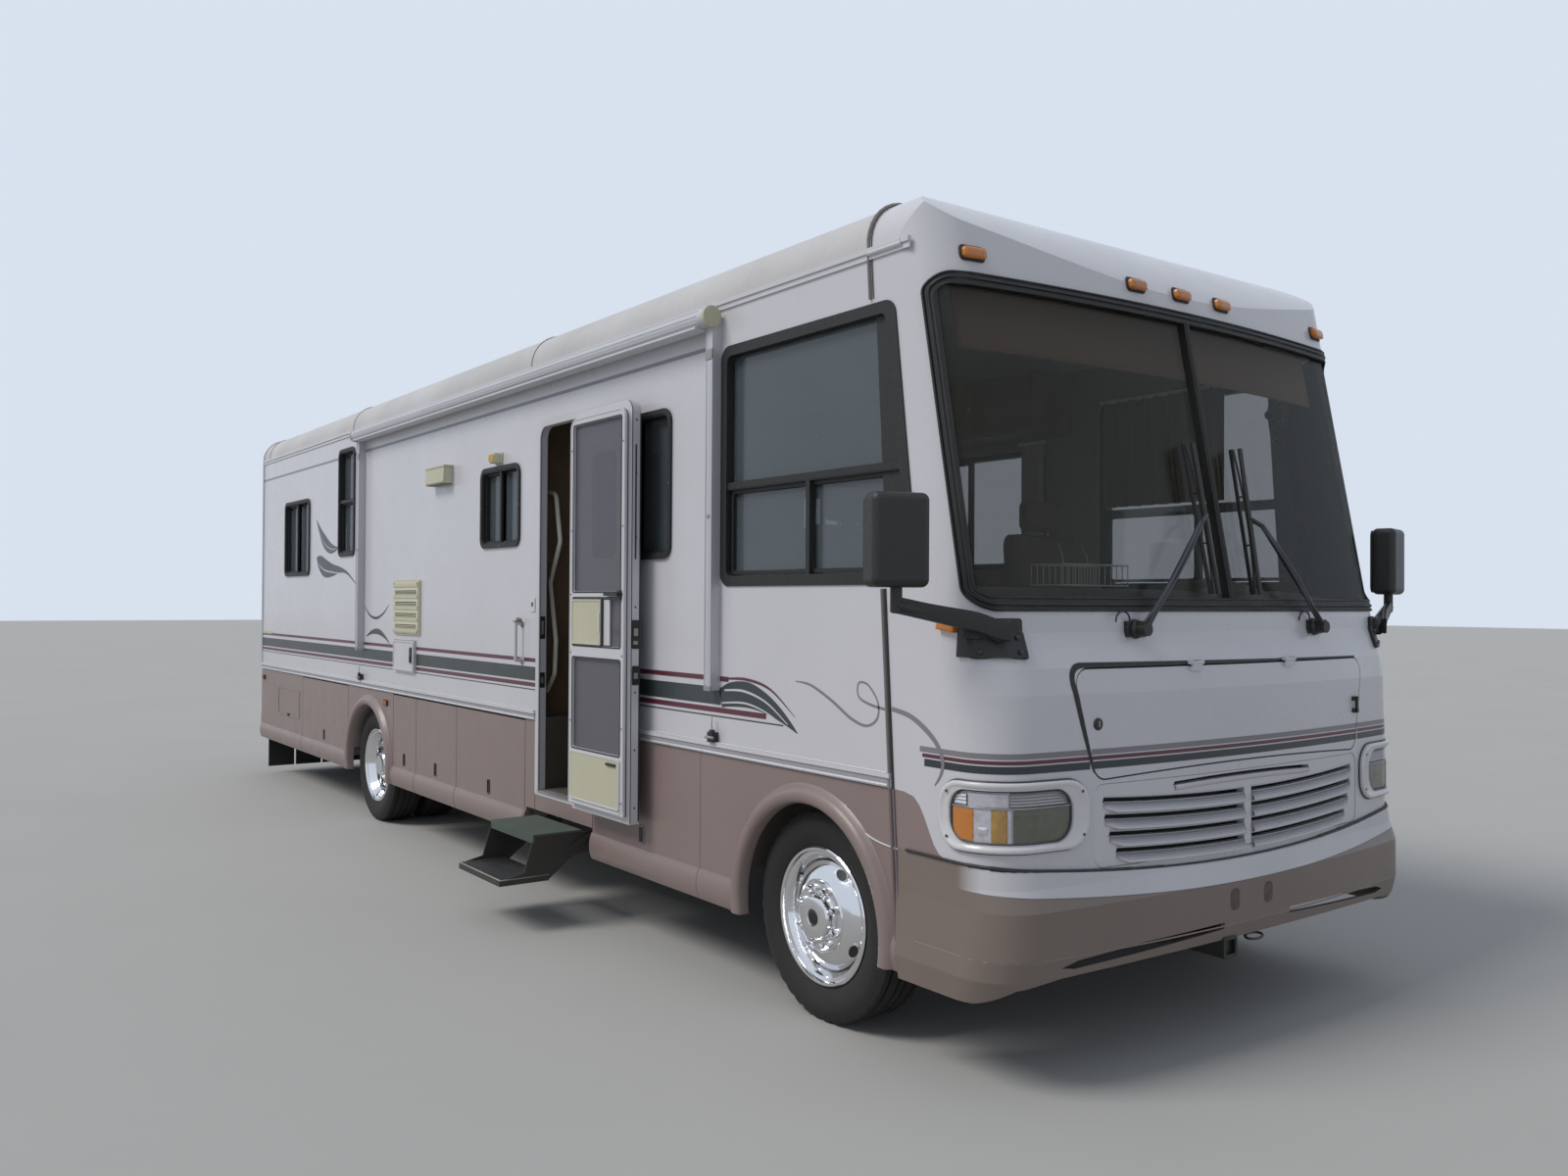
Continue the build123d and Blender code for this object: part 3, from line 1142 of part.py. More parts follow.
def main():
    """Build every sub-part and write it."""
    os.makedirs("parts", exist_ok=True)
    q1, q2 = step_tread_pivots()
    nodes = {
        "chassis_frame": make_chassis_frame(),
        "floor_bearers": make_floor_bearers(),
        "engine_block": make_engine(),
        "front_axle": make_front_axle(),
        "leaf_springs": make_leaf_springs(),
        "rear_axle": make_rear_axle(),
        "tanks": make_tanks(),
        "exhaust": make_exhaust(),
        "floor": make_floor(),
        "basement_boxes": make_basement(),
        "wall_left": make_wall(1),
        "wall_right": make_wall(-1),
        "roof": make_roof(),
        "rear_wall": make_rear_wall(),
        "front_cap": make_front_cap(),
        "skirt_left": make_skirt(1),
        "skirt_right": make_skirt(-1),
        "bumper": make_bumper(),
        "grille": make_grille(),
        "head_lamps": make_head_lamps(),
        "signal_lamps": make_signal_lamps(),
        "window_frames": make_gasket_and_frames(),
        "window_glass": make_glass(),
        "belt_trim": make_belt_trim(),
        "mirrors": make_mirrors(),
        "wipers": make_wipers(),
        "awning": make_awning(),
        "roof_units": make_roof_units(),
        "ladder": make_ladder(),
        "rear_bumper": make_rear_bumper(),
        "mud_strips": make_mud_strips(),
        "door_frame": make_door_frame(),
        "side_vents": make_side_vents(),
        "dashboard": make_dashboard(),
        "seats": make_seats(),
        "cabinets": make_cabinets(),
        "steering_wheel": make_steering_wheel(),
        "entry_door": make_entry_door(),
        "screen_door": make_screen_door(),
        "hood_panel": make_hood_panel(),
        "step_frame": make_step_frame(),
        "step_arms_front": make_step_arms(STEP_PIVOT_A, q1, 8),
        "step_arms_rear": make_step_arms(STEP_PIVOT_B, q2, 19),
        "step_treads": make_step_treads(),
    }
    for name, side, y0, y1 in LUGGAGE_DOORS:
        nodes[name] = make_luggage_door(side, y0, y1)
    for side, word in ((1, "left"), (-1, "right")):
        nodes[f"knuckle_{word}"] = make_knuckle(side)
        nodes[f"front_rim_{word}"] = make_front_rim(side)
        nodes[f"front_tyre_{word}"] = on_axle(make_tyre(side * FRONT_WHEEL_X), FRONT_AXLE_Y)
        nodes[f"rear_rim_{word}"] = make_rear_rim(side)
        tyres = [on_axle(make_tyre(side * x), REAR_AXLE_Y) for x in (REAR_OUTER_X, REAR_INNER_X)]
        nodes[f"rear_tyre_{word}"] = group(tyres)
    for name, shape in nodes.items():
        write(name, shape)


main()
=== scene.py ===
from math import asin, atan2, cos, exp, hypot, pi, radians, sin, sqrt

import bpy
from mathutils import Matrix, Vector


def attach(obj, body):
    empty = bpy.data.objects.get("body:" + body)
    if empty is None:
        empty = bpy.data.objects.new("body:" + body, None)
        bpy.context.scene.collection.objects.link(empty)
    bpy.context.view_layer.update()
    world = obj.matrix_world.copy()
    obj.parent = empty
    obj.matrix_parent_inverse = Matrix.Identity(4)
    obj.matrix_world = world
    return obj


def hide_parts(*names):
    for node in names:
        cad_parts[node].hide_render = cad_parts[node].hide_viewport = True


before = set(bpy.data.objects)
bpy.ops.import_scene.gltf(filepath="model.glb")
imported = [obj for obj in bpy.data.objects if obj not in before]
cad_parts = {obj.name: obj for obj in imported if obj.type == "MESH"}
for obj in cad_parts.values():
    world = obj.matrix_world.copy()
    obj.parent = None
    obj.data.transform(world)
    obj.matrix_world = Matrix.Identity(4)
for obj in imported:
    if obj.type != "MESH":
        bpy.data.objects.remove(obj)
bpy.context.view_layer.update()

# Sides of the vehicle as (sign of x, word)
SIDES = ((-1, "right"), (1, "left"))

# Body sizes in metres, the same as in the part's source
HALF = 1.270
ROOF_TOP = 3.205
# Foremost place of the nose as (z, y)
NOSE_LINE = [(0.300, -4.889), (1.100, -4.882), (1.340, -4.875), (1.430, -4.864), (1.500, -4.838),
             (1.550, -4.822), (1.600, -4.820), (3.300, -4.4919)]
# Radii of the nose's bowed plan and of its corners
BOW = 8.300
CORNER = 0.185
# Axles as (y, z)
FRONT_AXLE = (-3.790, 0.412)
REAR_AXLE = (1.610, 0.412)
# Middle of the inner tyre of the rear pairs
TWIN_X = 0.815
# Two x limits, two z limits
WINDSCREEN = (-1.255, 1.255, 1.625, 2.820)
# Half width and height of the hood's foot and head, and how far its foot bows up in the middle
HOOD_FOOT = (0.830, 1.038)
HOOD_HEAD = (0.926, 1.430)
HOOD_RISE = 0.022
# Inner x, rear y and two z limits of the headlamp's pocket and of its rim
LAMP = (0.942, -4.585, 0.848, 1.028)
LAMP_RIM = (0.870, -4.536, 0.822, 1.054)
# Height of the nose's lower edge in its middle and at its sides
LIP_MIDDLE = 0.700
LIP_SIDE = 0.775
# Two y limits, two z limits, and the height of the bar between upper and lower pane, if there is one
RIGHT_WINDOWS = [
    (-2.735, -2.090, 1.850, 2.543, None),
    (-1.060, -0.500, 1.960, 2.435, None),
    (1.996, 2.400, 1.985, 2.825, 2.415),
    (3.230, 4.010, 1.848, 2.500, None),
]
LEFT_WINDOWS = [
    (-2.750, -1.500, 1.850, 2.543, None),
    (-0.900, -0.340, 1.960, 2.435, None),
    (1.996, 2.400, 1.985, 2.825, 2.415),
    (3.230, 4.010, 1.848, 2.500, None),
]
# Body, side, two y limits
LUGGAGE_DOORS = [
    ("luggage_door_right_1", -1, -1.150, -0.121),
    ("luggage_door_right_2", -1, -0.121, 0.612),
    ("luggage_door_right_3", -1, 0.612, 1.078),
    ("luggage_door_right_4", -1, 2.125, 3.410),
    ("luggage_door_left_1", 1, -1.150, -0.121),
    ("luggage_door_left_2", 1, 2.125, 3.410),
]
# The bumper's height, foremost place and half width
BUMPER_SECTION = [(0.300, -4.865, 1.276), (0.400, -4.912, 1.290), (0.470, -4.930, 1.284),
                  (0.628, -4.932, 1.273), (0.700, -4.906, 1.271), (0.800, -4.889, 1.270)]
# The entry door as it stands open: faces, y limits, and the screen door's face
DOOR_SKIN_X = -1.330
DOOR_INNER_X = -1.380
SCREEN_X = -1.410
DOOR_SPAN = (-2.555, -1.965)
DOORWAY = (-1.931, -1.323)
STEP_Y = -1.637
# Where the right wall's stripes and trims stop on both sides of the doorway, and at the rear corner
DOORWAY_TRIM = (-1.9695, -1.2845)
WALL_END = 4.808
# Lower edge, upper edge and front end of the side stripes, and their finish
STRIPES = [(1.3040, 1.3260, -3.22, 0), (1.2010, 1.2780, -3.16, 1), (1.1670, 1.1900, -3.50, 0),
           (1.1480, 1.1540, -3.62, 2)]
# Lower edge, upper edge and rear end of the nose's stripes, and their finish on the nose and on the hood
NOSE_STRIPES = [(1.131, 1.150, -4.430, 3, 2), (1.113, 1.126, -4.442, 0, 0), (1.082, 1.108, -4.452, 2, 1)]
# Half width of the hood at the stripes
HOOD_EDGE = 0.8505
# Height of paint over the metal, and of paint over paint
PAINT = 0.0006
OVER_PAINT = 0.0012


# Nose surface

def nose_face(z):
    """The foremost place of the nose at height z."""
    return stepped(NOSE_LINE, z)[0]


def stepped(stations, place_on):
    """The values of (place, value...) stations at a place, straight between them and held at the ends."""
    if place_on <= stations[0][0]:
        return stations[0][1:]
    for low, high in zip(stations, stations[1:]):
        if place_on <= high[0]:
            t = (place_on - low[0]) / (high[0] - low[0])
            return tuple(a + (b - a) * t for a, b in zip(low[1:], high[1:]))
    return stations[-1][1:]


def bow_turn(half):
    """The angle that the bow takes before its corner, for a body of this half width."""
    return asin((half - CORNER) / (BOW - CORNER))


def bowed(run, z, face, half, out):
    """A point run metres round a bowed plan with round corners, and its outward direction."""
    side = -1 if run < 0 else 1
    run = abs(run)
    bow_run = BOW * bow_turn(half)
    corner_run = CORNER * (pi / 2 - bow_turn(half))
    bow_y = face + BOW
    corner_x = half - CORNER
    corner_y = bow_y - sqrt((BOW - CORNER) ** 2 - corner_x ** 2)
    if run < bow_run:
        turn = run / BOW
        x, y = BOW * sin(turn), bow_y - BOW * cos(turn)
    elif run < bow_run + corner_run:
        turn = bow_turn(half) + (run - bow_run) / CORNER
        x, y = corner_x + CORNER * sin(turn), corner_y - CORNER * cos(turn)
    else:
        turn = pi / 2
        x, y = half, corner_y + run - bow_run - corner_run
    nx, ny = sin(turn), -cos(turn)
    return (side * (x + nx * out), y + ny * out, z), (side * nx, ny)


def nose(run, z, out=0.0):
    """A point on the nose, run metres round it from its middle at height z, and its outward direction."""
    return bowed(run, z, nose_face(z), HALF, out)


def nose_run(x):
    """How far round the nose the place x lies."""
    wide = abs(x)
    if wide <= BOW * sin(bow_turn(HALF)):
        run = BOW * asin(wide / BOW)
    else:
        corner_turn = asin(min(1.0, (wide - HALF + CORNER) / CORNER)) - bow_turn(HALF)
        run = BOW * bow_turn(HALF) + CORNER * corner_turn
    return -run if x < 0 else run


def nose_at(x, z, out=0.0):
    """A point on the nose straight ahead of x, z."""
    return nose(nose_run(x), z, out)[0]


def side_run(y):
    """How far round the nose a place on the flat wall lies, below the sloping part."""
    corner_y = nose_face(1.2) + BOW - sqrt((BOW - CORNER) ** 2 - (HALF - CORNER) ** 2)
    return BOW * bow_turn(HALF) + CORNER * (pi / 2 - bow_turn(HALF)) + y - corner_y


def bumper_point(run, z, out=0.0):
    """A point on the bumper, run metres round it from its middle at height z."""
    return bowed(run, z, *stepped(BUMPER_SECTION, z), out)[0]


# Shapes

class Form:
    """The faces of one piece, in metres in the shared frame, each with a material number."""

    def __init__(self):
        self.points = []
        self.faces = []
        self.marks = []

    def add(self, points, faces, mark=0):
        """Takes points and faces between them."""
        base = len(self.points)
        self.points += [tuple(p) for p in points]
        self.faces += [tuple(base + i for i in face) for face in faces]
        self.marks += [mark] * len(faces)

    def box(self, x0, x1, y0, y1, z0, z1, mark=0):
        """A box between two corners."""
        points = [(x, y, z) for x in (x0, x1) for y in (y0, y1) for z in (z0, z1)]
        faces = [(0, 1, 3, 2), (4, 6, 7, 5), (0, 4, 5, 1), (2, 3, 7, 6), (0, 2, 6, 4), (1, 5, 7, 3)]
        self.add(points, faces, mark)

    def skin(self, rings, mark=0, first=False, last=False, closed=False):
        """A skin through rings of points, its first or last ring filled; closed joins last to first."""
        n = len(rings[0])
        starts = [k * n for k in range(len(rings))]
        pairs = list(zip(starts, starts[1:]))
        if closed:
            pairs.append((starts[-1], 0))
        faces = [(a + i, a + (i + 1) % n, b + (i + 1) % n, b + i) for a, b in pairs for i in range(n)]
        if first:
            faces.append(tuple(range(n - 1, -1, -1)))
        if last:
            faces.append(tuple(range(starts[-1], starts[-1] + n)))
        self.add([p for ring in rings for p in ring], faces, mark)

    def prism(self, loop, axis, start, end, mark=0):
        """A flat closed loop carried along an axis, with both ends closed."""
        self.skin([[place(axis, d, a, b) for a, b in loop] for d in (start, end)], mark, True, True)

    def ring(self, outer, inner, axis, start, end, mark=0):
        """A frame between two loops with as many points."""
        n = len(outer)
        points = [place(axis, d, a, b) for d in (start, end) for loop in (outer, inner) for a, b in loop]
        faces = []
        for i in range(n):
            j = (i + 1) % n
            faces += [(i, j, 2 * n + j, 2 * n + i), (n + i, 3 * n + i, 3 * n + j, n + j)]
            faces += [(i, n + i, n + j, j), (2 * n + i, 2 * n + j, 3 * n + j, 3 * n + i)]
        self.add(points, faces, mark)

    def border(self, limits, inset, radii, axis, start, end, mark=0):
        """A flat frame inside a round-cornered rectangle."""
        outer, inner = rounded(*limits, radii[0]), rounded(*grown(limits, -inset), radii[1])
        self.ring(outer, inner, axis, start, end, mark)

    def turned(self, profile, centre, axis="x", steps=40, mark=0, closed=False):
        """A profile of (along, radius) pairs, turned about an axis through centre."""
        rings = [[Vector(place(axis, along, radius * cos(a), radius * sin(a))) + Vector(centre)
                  for a in turns(steps)] for along, radius in profile]
        self.skin(rings, mark, not closed, not closed, closed)

    def disc(self, centre, out, radius, tall, steps=12, mark=0):
        """A low round stud at centre, facing out."""
        axis = Vector(out).normalized()
        across = axis.cross(Vector((0.0, 0.0, 1.0))).normalized()
        other = axis.cross(across)
        self.shell([[Vector(centre) + (across * cos(a) + other * sin(a)) * radius * share + axis * lift
                     for a in turns(steps)]
                    for share, lift in ((1.0, -0.001), (1.0, tall * 0.6), (0.7, tall))], mark)

    def tube(self, path, radius, sides=8, mark=0, flat=1.0):
        """A round bar along a path; flat squeezes it across."""
        path = [Vector(p) for p in path]
        first = (path[1] - path[0]).normalized()
        across = first.cross(Vector((0.0, 0.0, 1.0)))
        if across.length < 0.1:
            across = first.cross(Vector((0.0, 1.0, 0.0)))
        across.normalize()
        rings = []
        for i, p in enumerate(path):
            ahead = path[min(i + 1, len(path) - 1)] - p
            behind = p - path[max(i - 1, 0)]
            along = (ahead.normalized() + behind.normalized()).normalized()
            across = (across - along * across.dot(along)).normalized()
            other = along.cross(across)
            rings.append([p + across * radius * cos(a) + other * radius * flat * sin(a)
                          for a in turns(sides)])
        self.skin(rings, mark, True, True)

    def bead(self, loop, radius, sides=6, mark=0, flat=1.0):
        """A round bar along a closed loop."""
        self.tube(list(loop) + [loop[0]], radius, sides, mark, flat)

    def grid(self, rows, mark=0, close=False):
        """A sheet through rows of points; close joins each row's ends."""
        if close:
            rows = [list(row) + [row[0]] for row in rows]
        wide = len(rows[0])
        points = [p for row in rows for p in row]
        faces = []
        for i in range(len(rows) - 1):
            for j in range(wide - 1):
                faces.append((i * wide + j, i * wide + j + 1, (i + 1) * wide + j + 1, (i + 1) * wide + j))
        self.add(points, faces, mark)

    def shell(self, loops, mark=0):
        """A sheet through closed loops, with the last loop filled."""
        self.grid(loops, mark, close=True)
        self.fill(loops[-1], mark)

    def fill(self, loop, mark=0):
        """One face inside a loop."""
        self.add(loop, [tuple(range(len(loop)))], mark)

    def boss(self, limits, levels, radius, steps=4, mark=0, side=1, filled=True):
        """A raised form on the nose; levels are (how much wider its outline is, how far it stands out)."""
        loops = [[nose_at(side * x, z, out) for x, z in rounded(*grown(limits, grow), radius, steps)]
                 for grow, out in levels]
        self.grid(loops, mark, close=True)
        if filled:
            self.fill(loops[-1], mark)

    def ribbon(self, path, surface, mark=0):
        """A painted band of (a, b, half width) along a path; surface turns (a, b) into a point."""
        rows = [[], []]
        for i, (a, b, half) in enumerate(path):
            a1, b1, _ = path[min(i + 1, len(path) - 1)]
            a0, b0, _ = path[max(i - 1, 0)]
            length = hypot(a1 - a0, b1 - b0) or 1.0
            na, nb = -(b1 - b0) / length, (a1 - a0) / length
            rows[0].append(surface(a + na * half, b + nb * half))
            rows[1].append(surface(a - na * half, b - nb * half))
        self.grid(rows, mark)

    def stripe(self, low, high, run, surface, mark=0):
        """A painted band between two heights along a run of places."""
        middle, half = (low + high) / 2, (high - low) / 2
        self.ribbon([(along, middle, half) for along in run], surface, mark)

    def make(self, name, body, finishes, smooth=35, bevel=0.0, thick=0.0):
        """The piece as an object that rides on a body."""
        mesh = bpy.data.meshes.new(name)
        mesh.from_pydata(self.points, [], self.faces)
        mesh.update()
        obj = bpy.data.objects.new(name, mesh)
        bpy.context.scene.collection.objects.link(obj)
        for material in finishes if isinstance(finishes, (list, tuple)) else [finishes]:
            mesh.materials.append(material)
        mesh.polygons.foreach_set("material_index", self.marks)
        if thick:
            solid = obj.modifiers.new("thick", "SOLIDIFY")
            solid.thickness = thick
            solid.offset = 0.0
        if bevel:
            edge = obj.modifiers.new("edge", "BEVEL")
            edge.width = bevel
            edge.segments = 2
            edge.limit_method = "ANGLE"
            edge.angle_limit = radians(40)
            edge.harden_normals = False
        mesh.shade_smooth()
        mesh.set_sharp_from_angle(angle=radians(smooth))
        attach(obj, body)
        return obj


def place(axis, along, a, b):
    """A point from its place along an axis and its two other coordinates."""
    if axis == "x":
        return (along, a, b)
    if axis == "y":
        return (a, along, b)
    return (a, b, along)


def spread(first, last, steps):
    """Evenly spaced values from first to last."""
    return [first + (last - first) * i / steps for i in range(steps + 1)]


def turns(count):
    """Evenly spaced angles round a full turn."""
    return [2 * pi * i / count for i in range(count)]


def grown(limits, by):
    """The limits of a rectangle, moved outward."""
    a0, a1, b0, b1 = limits
    return a0 - by, a1 + by, b0 - by, b1 + by


def rounded(a0, a1, b0, b1, radius, steps=5):
    """A round-cornered rectangle as a loop of points."""
    corners = [(a1 - radius, b1 - radius, 0), (a0 + radius, b1 - radius, 90),
               (a0 + radius, b0 + radius, 180), (a1 - radius, b0 + radius, 270)]
    return [(ca + radius * cos(radians(start + 90 * i / steps)),
             cb + radius * sin(radians(start + 90 * i / steps)))
            for ca, cb, start in corners for i in range(steps + 1)]


def fine(points, steps, extra=12):
    """A rounded outline with more points on its four straight sides."""
    result = []
    for i, (a, b) in enumerate(points):
        result.append((a, b))
        if i % (steps + 1) == steps:
            a1, b1 = points[(i + 1) % len(points)]
            result += [(a + (a1 - a) * k / extra, b + (b1 - b) * k / extra) for k in range(1, extra)]
    return result


def round_topped(a0, a1, b0, b1, radius, steps=5):
    """A rectangle with round upper corners and nearly square lower ones, as a loop with as many points."""
    loop = rounded(a0, a1, b0, b1, radius, steps)
    foot = rounded(a0, a1, b0, b1, 0.003, steps)
    return loop[:2 * steps + 2] + foot[2 * steps + 2:]


def smooth_path(points, per=8):
    """Points along a curve that passes through the given ones, with any further values carried along."""
    ends = [points[0]] + list(points) + [points[-1]]
    out = []
    for p0, p1, p2, p3 in zip(ends, ends[1:], ends[2:], ends[3:]):
        for i in range(per):
            t = i / per
            out.append(tuple(
                0.5 * (2 * b + (c - a) * t + (2 * a - 5 * b + 4 * c - d) * t * t
                       + (3 * b - a - 3 * c + d) * t ** 3)
                for a, b, c, d in zip(p0, p1, p2, p3)))
    out.append(tuple(points[-1]))
    return out


def flat_surface(x):
    """Turns (y, z) into a point on an upright plane."""
    return lambda y, z: (x, y, z)


def wall_surface(side, out=PAINT):
    """Turns (y, z) into a point on a side wall."""
    return flat_surface(side * (HALF + out))


def nose_surface(out=PAINT):
    """Turns (run, z) into a point on the nose."""
    return lambda run, z: nose(run, z, out)[0]


# Finishes

RAIN_GREY = (0.30, 0.27, 0.23)
ROAD_DIRT = (0.20, 0.175, 0.15)


class Net:
    """The nodes of one material or of the sky, with short ways to add to them."""

    def __init__(self, owner):
        owner.use_nodes = True
        self.owner = owner
        self.nodes = owner.node_tree.nodes
        self.links = owner.node_tree.links
        self.coords = None
        self.parts = None

    def put(self, socket, value):
        """Gives a socket a number, a colour or what another socket says."""
        if isinstance(value, (tuple, list)):
            socket.default_value = (*value[:3], 1.0)
        elif isinstance(value, (int, float)):
            socket.default_value = value
        else:
            self.links.new(value, socket)

    def place(self):
        """The place on the object."""
        if self.coords is None:
            self.coords = self.nodes.new("ShaderNodeTexCoord").outputs["Object"]
        return self.coords

    def along(self, axis):
        """The place on the object along one axis."""
        if self.parts is None:
            split = self.nodes.new("ShaderNodeSeparateXYZ")
            self.put(split.inputs[0], self.place())
            self.parts = split.outputs
        return self.parts[axis]

    def noise(self, scale, detail=4.0, rough=0.55, stretch=None):
        """Noise over the object, stretched by a scale for each axis if wanted."""
        source = self.place()
        if stretch:
            mapping = self.nodes.new("ShaderNodeMapping")
            mapping.inputs["Scale"].default_value = stretch
            self.put(mapping.inputs["Vector"], source)
            source = mapping.outputs["Vector"]
        node = self.nodes.new("ShaderNodeTexNoise")
        for name, value in (("Scale", scale), ("Detail", detail), ("Roughness", rough), ("Vector", source)):
            self.put(node.inputs[name], value)
        return node.outputs["Fac"]

    def ramp(self, value, low, high, a=0.0, b=1.0):
        """A value carried from the range low to high into a to b, held at both ends."""
        node = self.nodes.new("ShaderNodeMapRange")
        for name, item in (("From Min", low), ("From Max", high), ("To Min", a), ("To Max", b),
                           ("Value", value)):
            self.put(node.inputs[name], item)
        return node.outputs["Result"]

    def maths(self, operation, a, b=None):
        """One sum of one or two values."""
        node = self.nodes.new("ShaderNodeMath")
        node.operation = operation
        self.put(node.inputs[0], a)
        if b is not None:
            self.put(node.inputs[1], b)
        return node.outputs[0]

    def times(self, first, *others):
        """The product of values."""
        for other in others:
            first = self.maths("MULTIPLY", first, other)
        return first

    def mixed(self, share, a, b):
        """Two colours mixed by a share."""
        node = self.nodes.new("ShaderNodeMix")
        node.data_type = "RGBA"
        for index, value in (("Factor", share), (6, a), (7, b)):
            self.put(node.inputs[index], value)
        return node.outputs[2]

    def shader(self, name, value):
        """Sets one input of the material's shader."""
        self.put(self.nodes["Principled BSDF"].inputs[name], value)


def finish(name, colour, rough=0.5, metal=0.0, vary=0.08, patch=1.3, grain=60.0, bump=0.05, streak=0.0,
           splash=0.0, weave=0.0, coat=0.0, zones=(), clear=None):
    """A surface with patchy colour, fine grain, rain streaks and road dirt towards the ground."""
    net = Net(bpy.data.materials.new(name))
    base = colour
    for share, other in zones:
        base = net.mixed(share(net), base, other)
    speck = net.noise(grain, detail=6.0)
    dark = net.nodes.new("ShaderNodeMixRGB")
    dark.blend_type = "MULTIPLY"
    net.put(dark.inputs["Fac"], net.ramp(net.noise(patch), 0.35, 0.7))
    net.put(dark.inputs["Color1"], base)
    net.put(dark.inputs["Color2"], (1 - vary, 1 - vary, 1 - vary * 1.15))
    shade = dark.outputs["Color"]
    if streak:
        lines = net.noise(5.0, detail=8.0, rough=0.7, stretch=(7.0, 7.0, 0.35))
        shade = net.mixed(net.times(net.ramp(lines, 0.52, 0.74), streak), shade, RAIN_GREY)
    if splash:
        low = net.ramp(net.along("Z"), 0.15, 0.95, 1.0, 0.0)
        cloud = net.noise(3.0, detail=8.0, rough=0.65)
        shade = net.mixed(net.times(low, cloud, splash), shade, ROAD_DIRT)
    net.shader("Base Color", shade)
    if clear:
        share, alpha = clear
        net.shader("Alpha", net.maths("SUBTRACT", 1.0, net.times(share(net), 1.0 - alpha)))
    net.shader("Metallic", metal)
    net.shader("Roughness", net.ramp(speck, 0.3, 0.75, max(0.03, rough - 0.07), min(1.0, rough + 0.1)))
    if coat:
        net.shader("Coat Weight", coat)
        net.shader("Coat Roughness", 0.12)
    height = speck
    if weave:
        across = net.nodes.new("ShaderNodeTexWave")
        for socket, value in (("Scale", weave), ("Distortion", 0.6), ("Vector", net.place())):
            net.put(across.inputs[socket], value)
        height = net.maths("ADD", net.times(across.outputs["Fac"], 0.6), speck)
    if bump:
        node = net.nodes.new("ShaderNodeBump")
        for socket, value in (("Strength", bump), ("Distance", 0.004), ("Height", height)):
            net.put(node.inputs[socket], value)
        net.shader("Normal", node.outputs["Normal"])
    return net.owner


def between(axis, low, high):
    """1 between two places on one axis, 0 elsewhere."""
    return lambda net: net.times(net.maths("GREATER_THAN", net.along(axis), low),
                                 net.maths("LESS_THAN", net.along(axis), high))


def both_shares(first, second):
    """Where two shares overlap."""
    return lambda net: net.times(first(net), second(net))


def inside_share(net):
    """1 on the faces that look into the body, 0 outside."""
    wide = net.maths("ABSOLUTE", net.along("X"))
    return net.times(net.maths("LESS_THAN", wide, 1.2365), between("Z", 0.985, 2.98)(net),
                     between("Y", -4.30, 4.775)(net))


def tan_share(net):
    """1 on the nose's lower corners below the sweep of the paint line, 0 above."""
    line = net.nodes.new("ShaderNodeValToRGB")
    # Place of the paint line: height over 2 for each share of the way from y -4.62 to -4.27
    stops = [(0.0, 0.335), (0.17, 0.3875), (0.257, 0.394), (0.329, 0.4075), (0.386, 0.425), (0.471, 0.4525),
             (0.543, 0.4715), (0.629, 0.4845), (0.771, 0.490), (1.0, 0.4915)]
    elements = line.color_ramp.elements
    while len(elements) < len(stops):
        elements.new(0.5)
    for element, (share, height) in zip(elements, stops):
        element.position = share
        element.color = (height, height, height, 1.0)
    net.put(line.inputs["Fac"], net.ramp(net.along("Y"), -4.62, -4.27))
    return net.maths("LESS_THAN", net.along("Z"), net.times(line.outputs["Color"], 2.0))


def bumper_level(net):
    """The height over the white band's lower edge on the bumper, which rises towards the corners."""
    edge = net.maths("ADD", net.times(net.along("X"), net.along("X"), 0.0413), 0.622)
    return net.maths("SUBTRACT", net.along("Z"), edge)


def bumper_share(net):
    """1 on the bumper's white upper band, which fades out round the corners."""
    above = net.maths("GREATER_THAN", bumper_level(net), 0.0)
    return net.times(above, net.ramp(net.along("Y"), -4.72, -4.62, 1.0, 0.0))


def bumper_line(net):
    """1 on the thin dark edge of the white band."""
    thin = net.maths("LESS_THAN", net.maths("ABSOLUTE", bumper_level(net)), 0.0022)
    return net.times(thin, net.ramp(net.along("Y"), -4.82, -4.74, 0.85, 0.0))


WHITE = (0.60, 0.592, 0.625)
TAN = (0.255, 0.190, 0.178)
BEIGE = (0.26, 0.215, 0.17)

body_white = finish("body_white", WHITE, 0.33, vary=0.05, grain=7.0, bump=0.0, splash=0.18, coat=0.3,
                    zones=[(inside_share, BEIGE)])
cap_white = finish("cap_white", WHITE, 0.30, vary=0.04, grain=6.0, bump=0.0, splash=0.12, coat=0.35,
                   zones=[(tan_share, TAN)])
skirt_tan = finish("skirt_tan", TAN, 0.42, vary=0.08, grain=7.0, bump=0.0,
                   streak=0.05, splash=0.35, coat=0.15)
bumper_tan = finish("bumper_tan", (0.205, 0.158, 0.138), 0.42, vary=0.10, grain=7.0, bump=0.0, splash=0.35,
                    coat=0.15, zones=[(bumper_share, WHITE), (bumper_line, (0.10, 0.085, 0.085))])
roof_white = finish("roof_white", (0.58, 0.57, 0.58), 0.7, vary=0.16, bump=0.10, grain=25.0, streak=0.15)
white_moulding = finish("white_moulding", (0.62, 0.615, 0.64), 0.38, vary=0.05,
                        grain=8.0, bump=0.0, streak=0.04)
# Four greys for bands on the grille's slats, lightest first: painted shade that darkens towards the slot
# above each slat
painted_slat_shades = [finish(f"painted_slat_shade_{k}", (tone, tone, tone * 1.06), 0.45, vary=0.06, grain=10.0, bump=0.0)
               for k, tone in enumerate((0.50, 0.40, 0.30, 0.20))]
wiper_grey = finish("wiper_grey", (0.060, 0.060, 0.075), 0.38, metal=0.3, vary=0.15, bump=0.01)
belt_bright = finish("belt_bright", (0.74, 0.74, 0.76), 0.30, metal=0.25, vary=0.08, grain=12.0, bump=0.0)
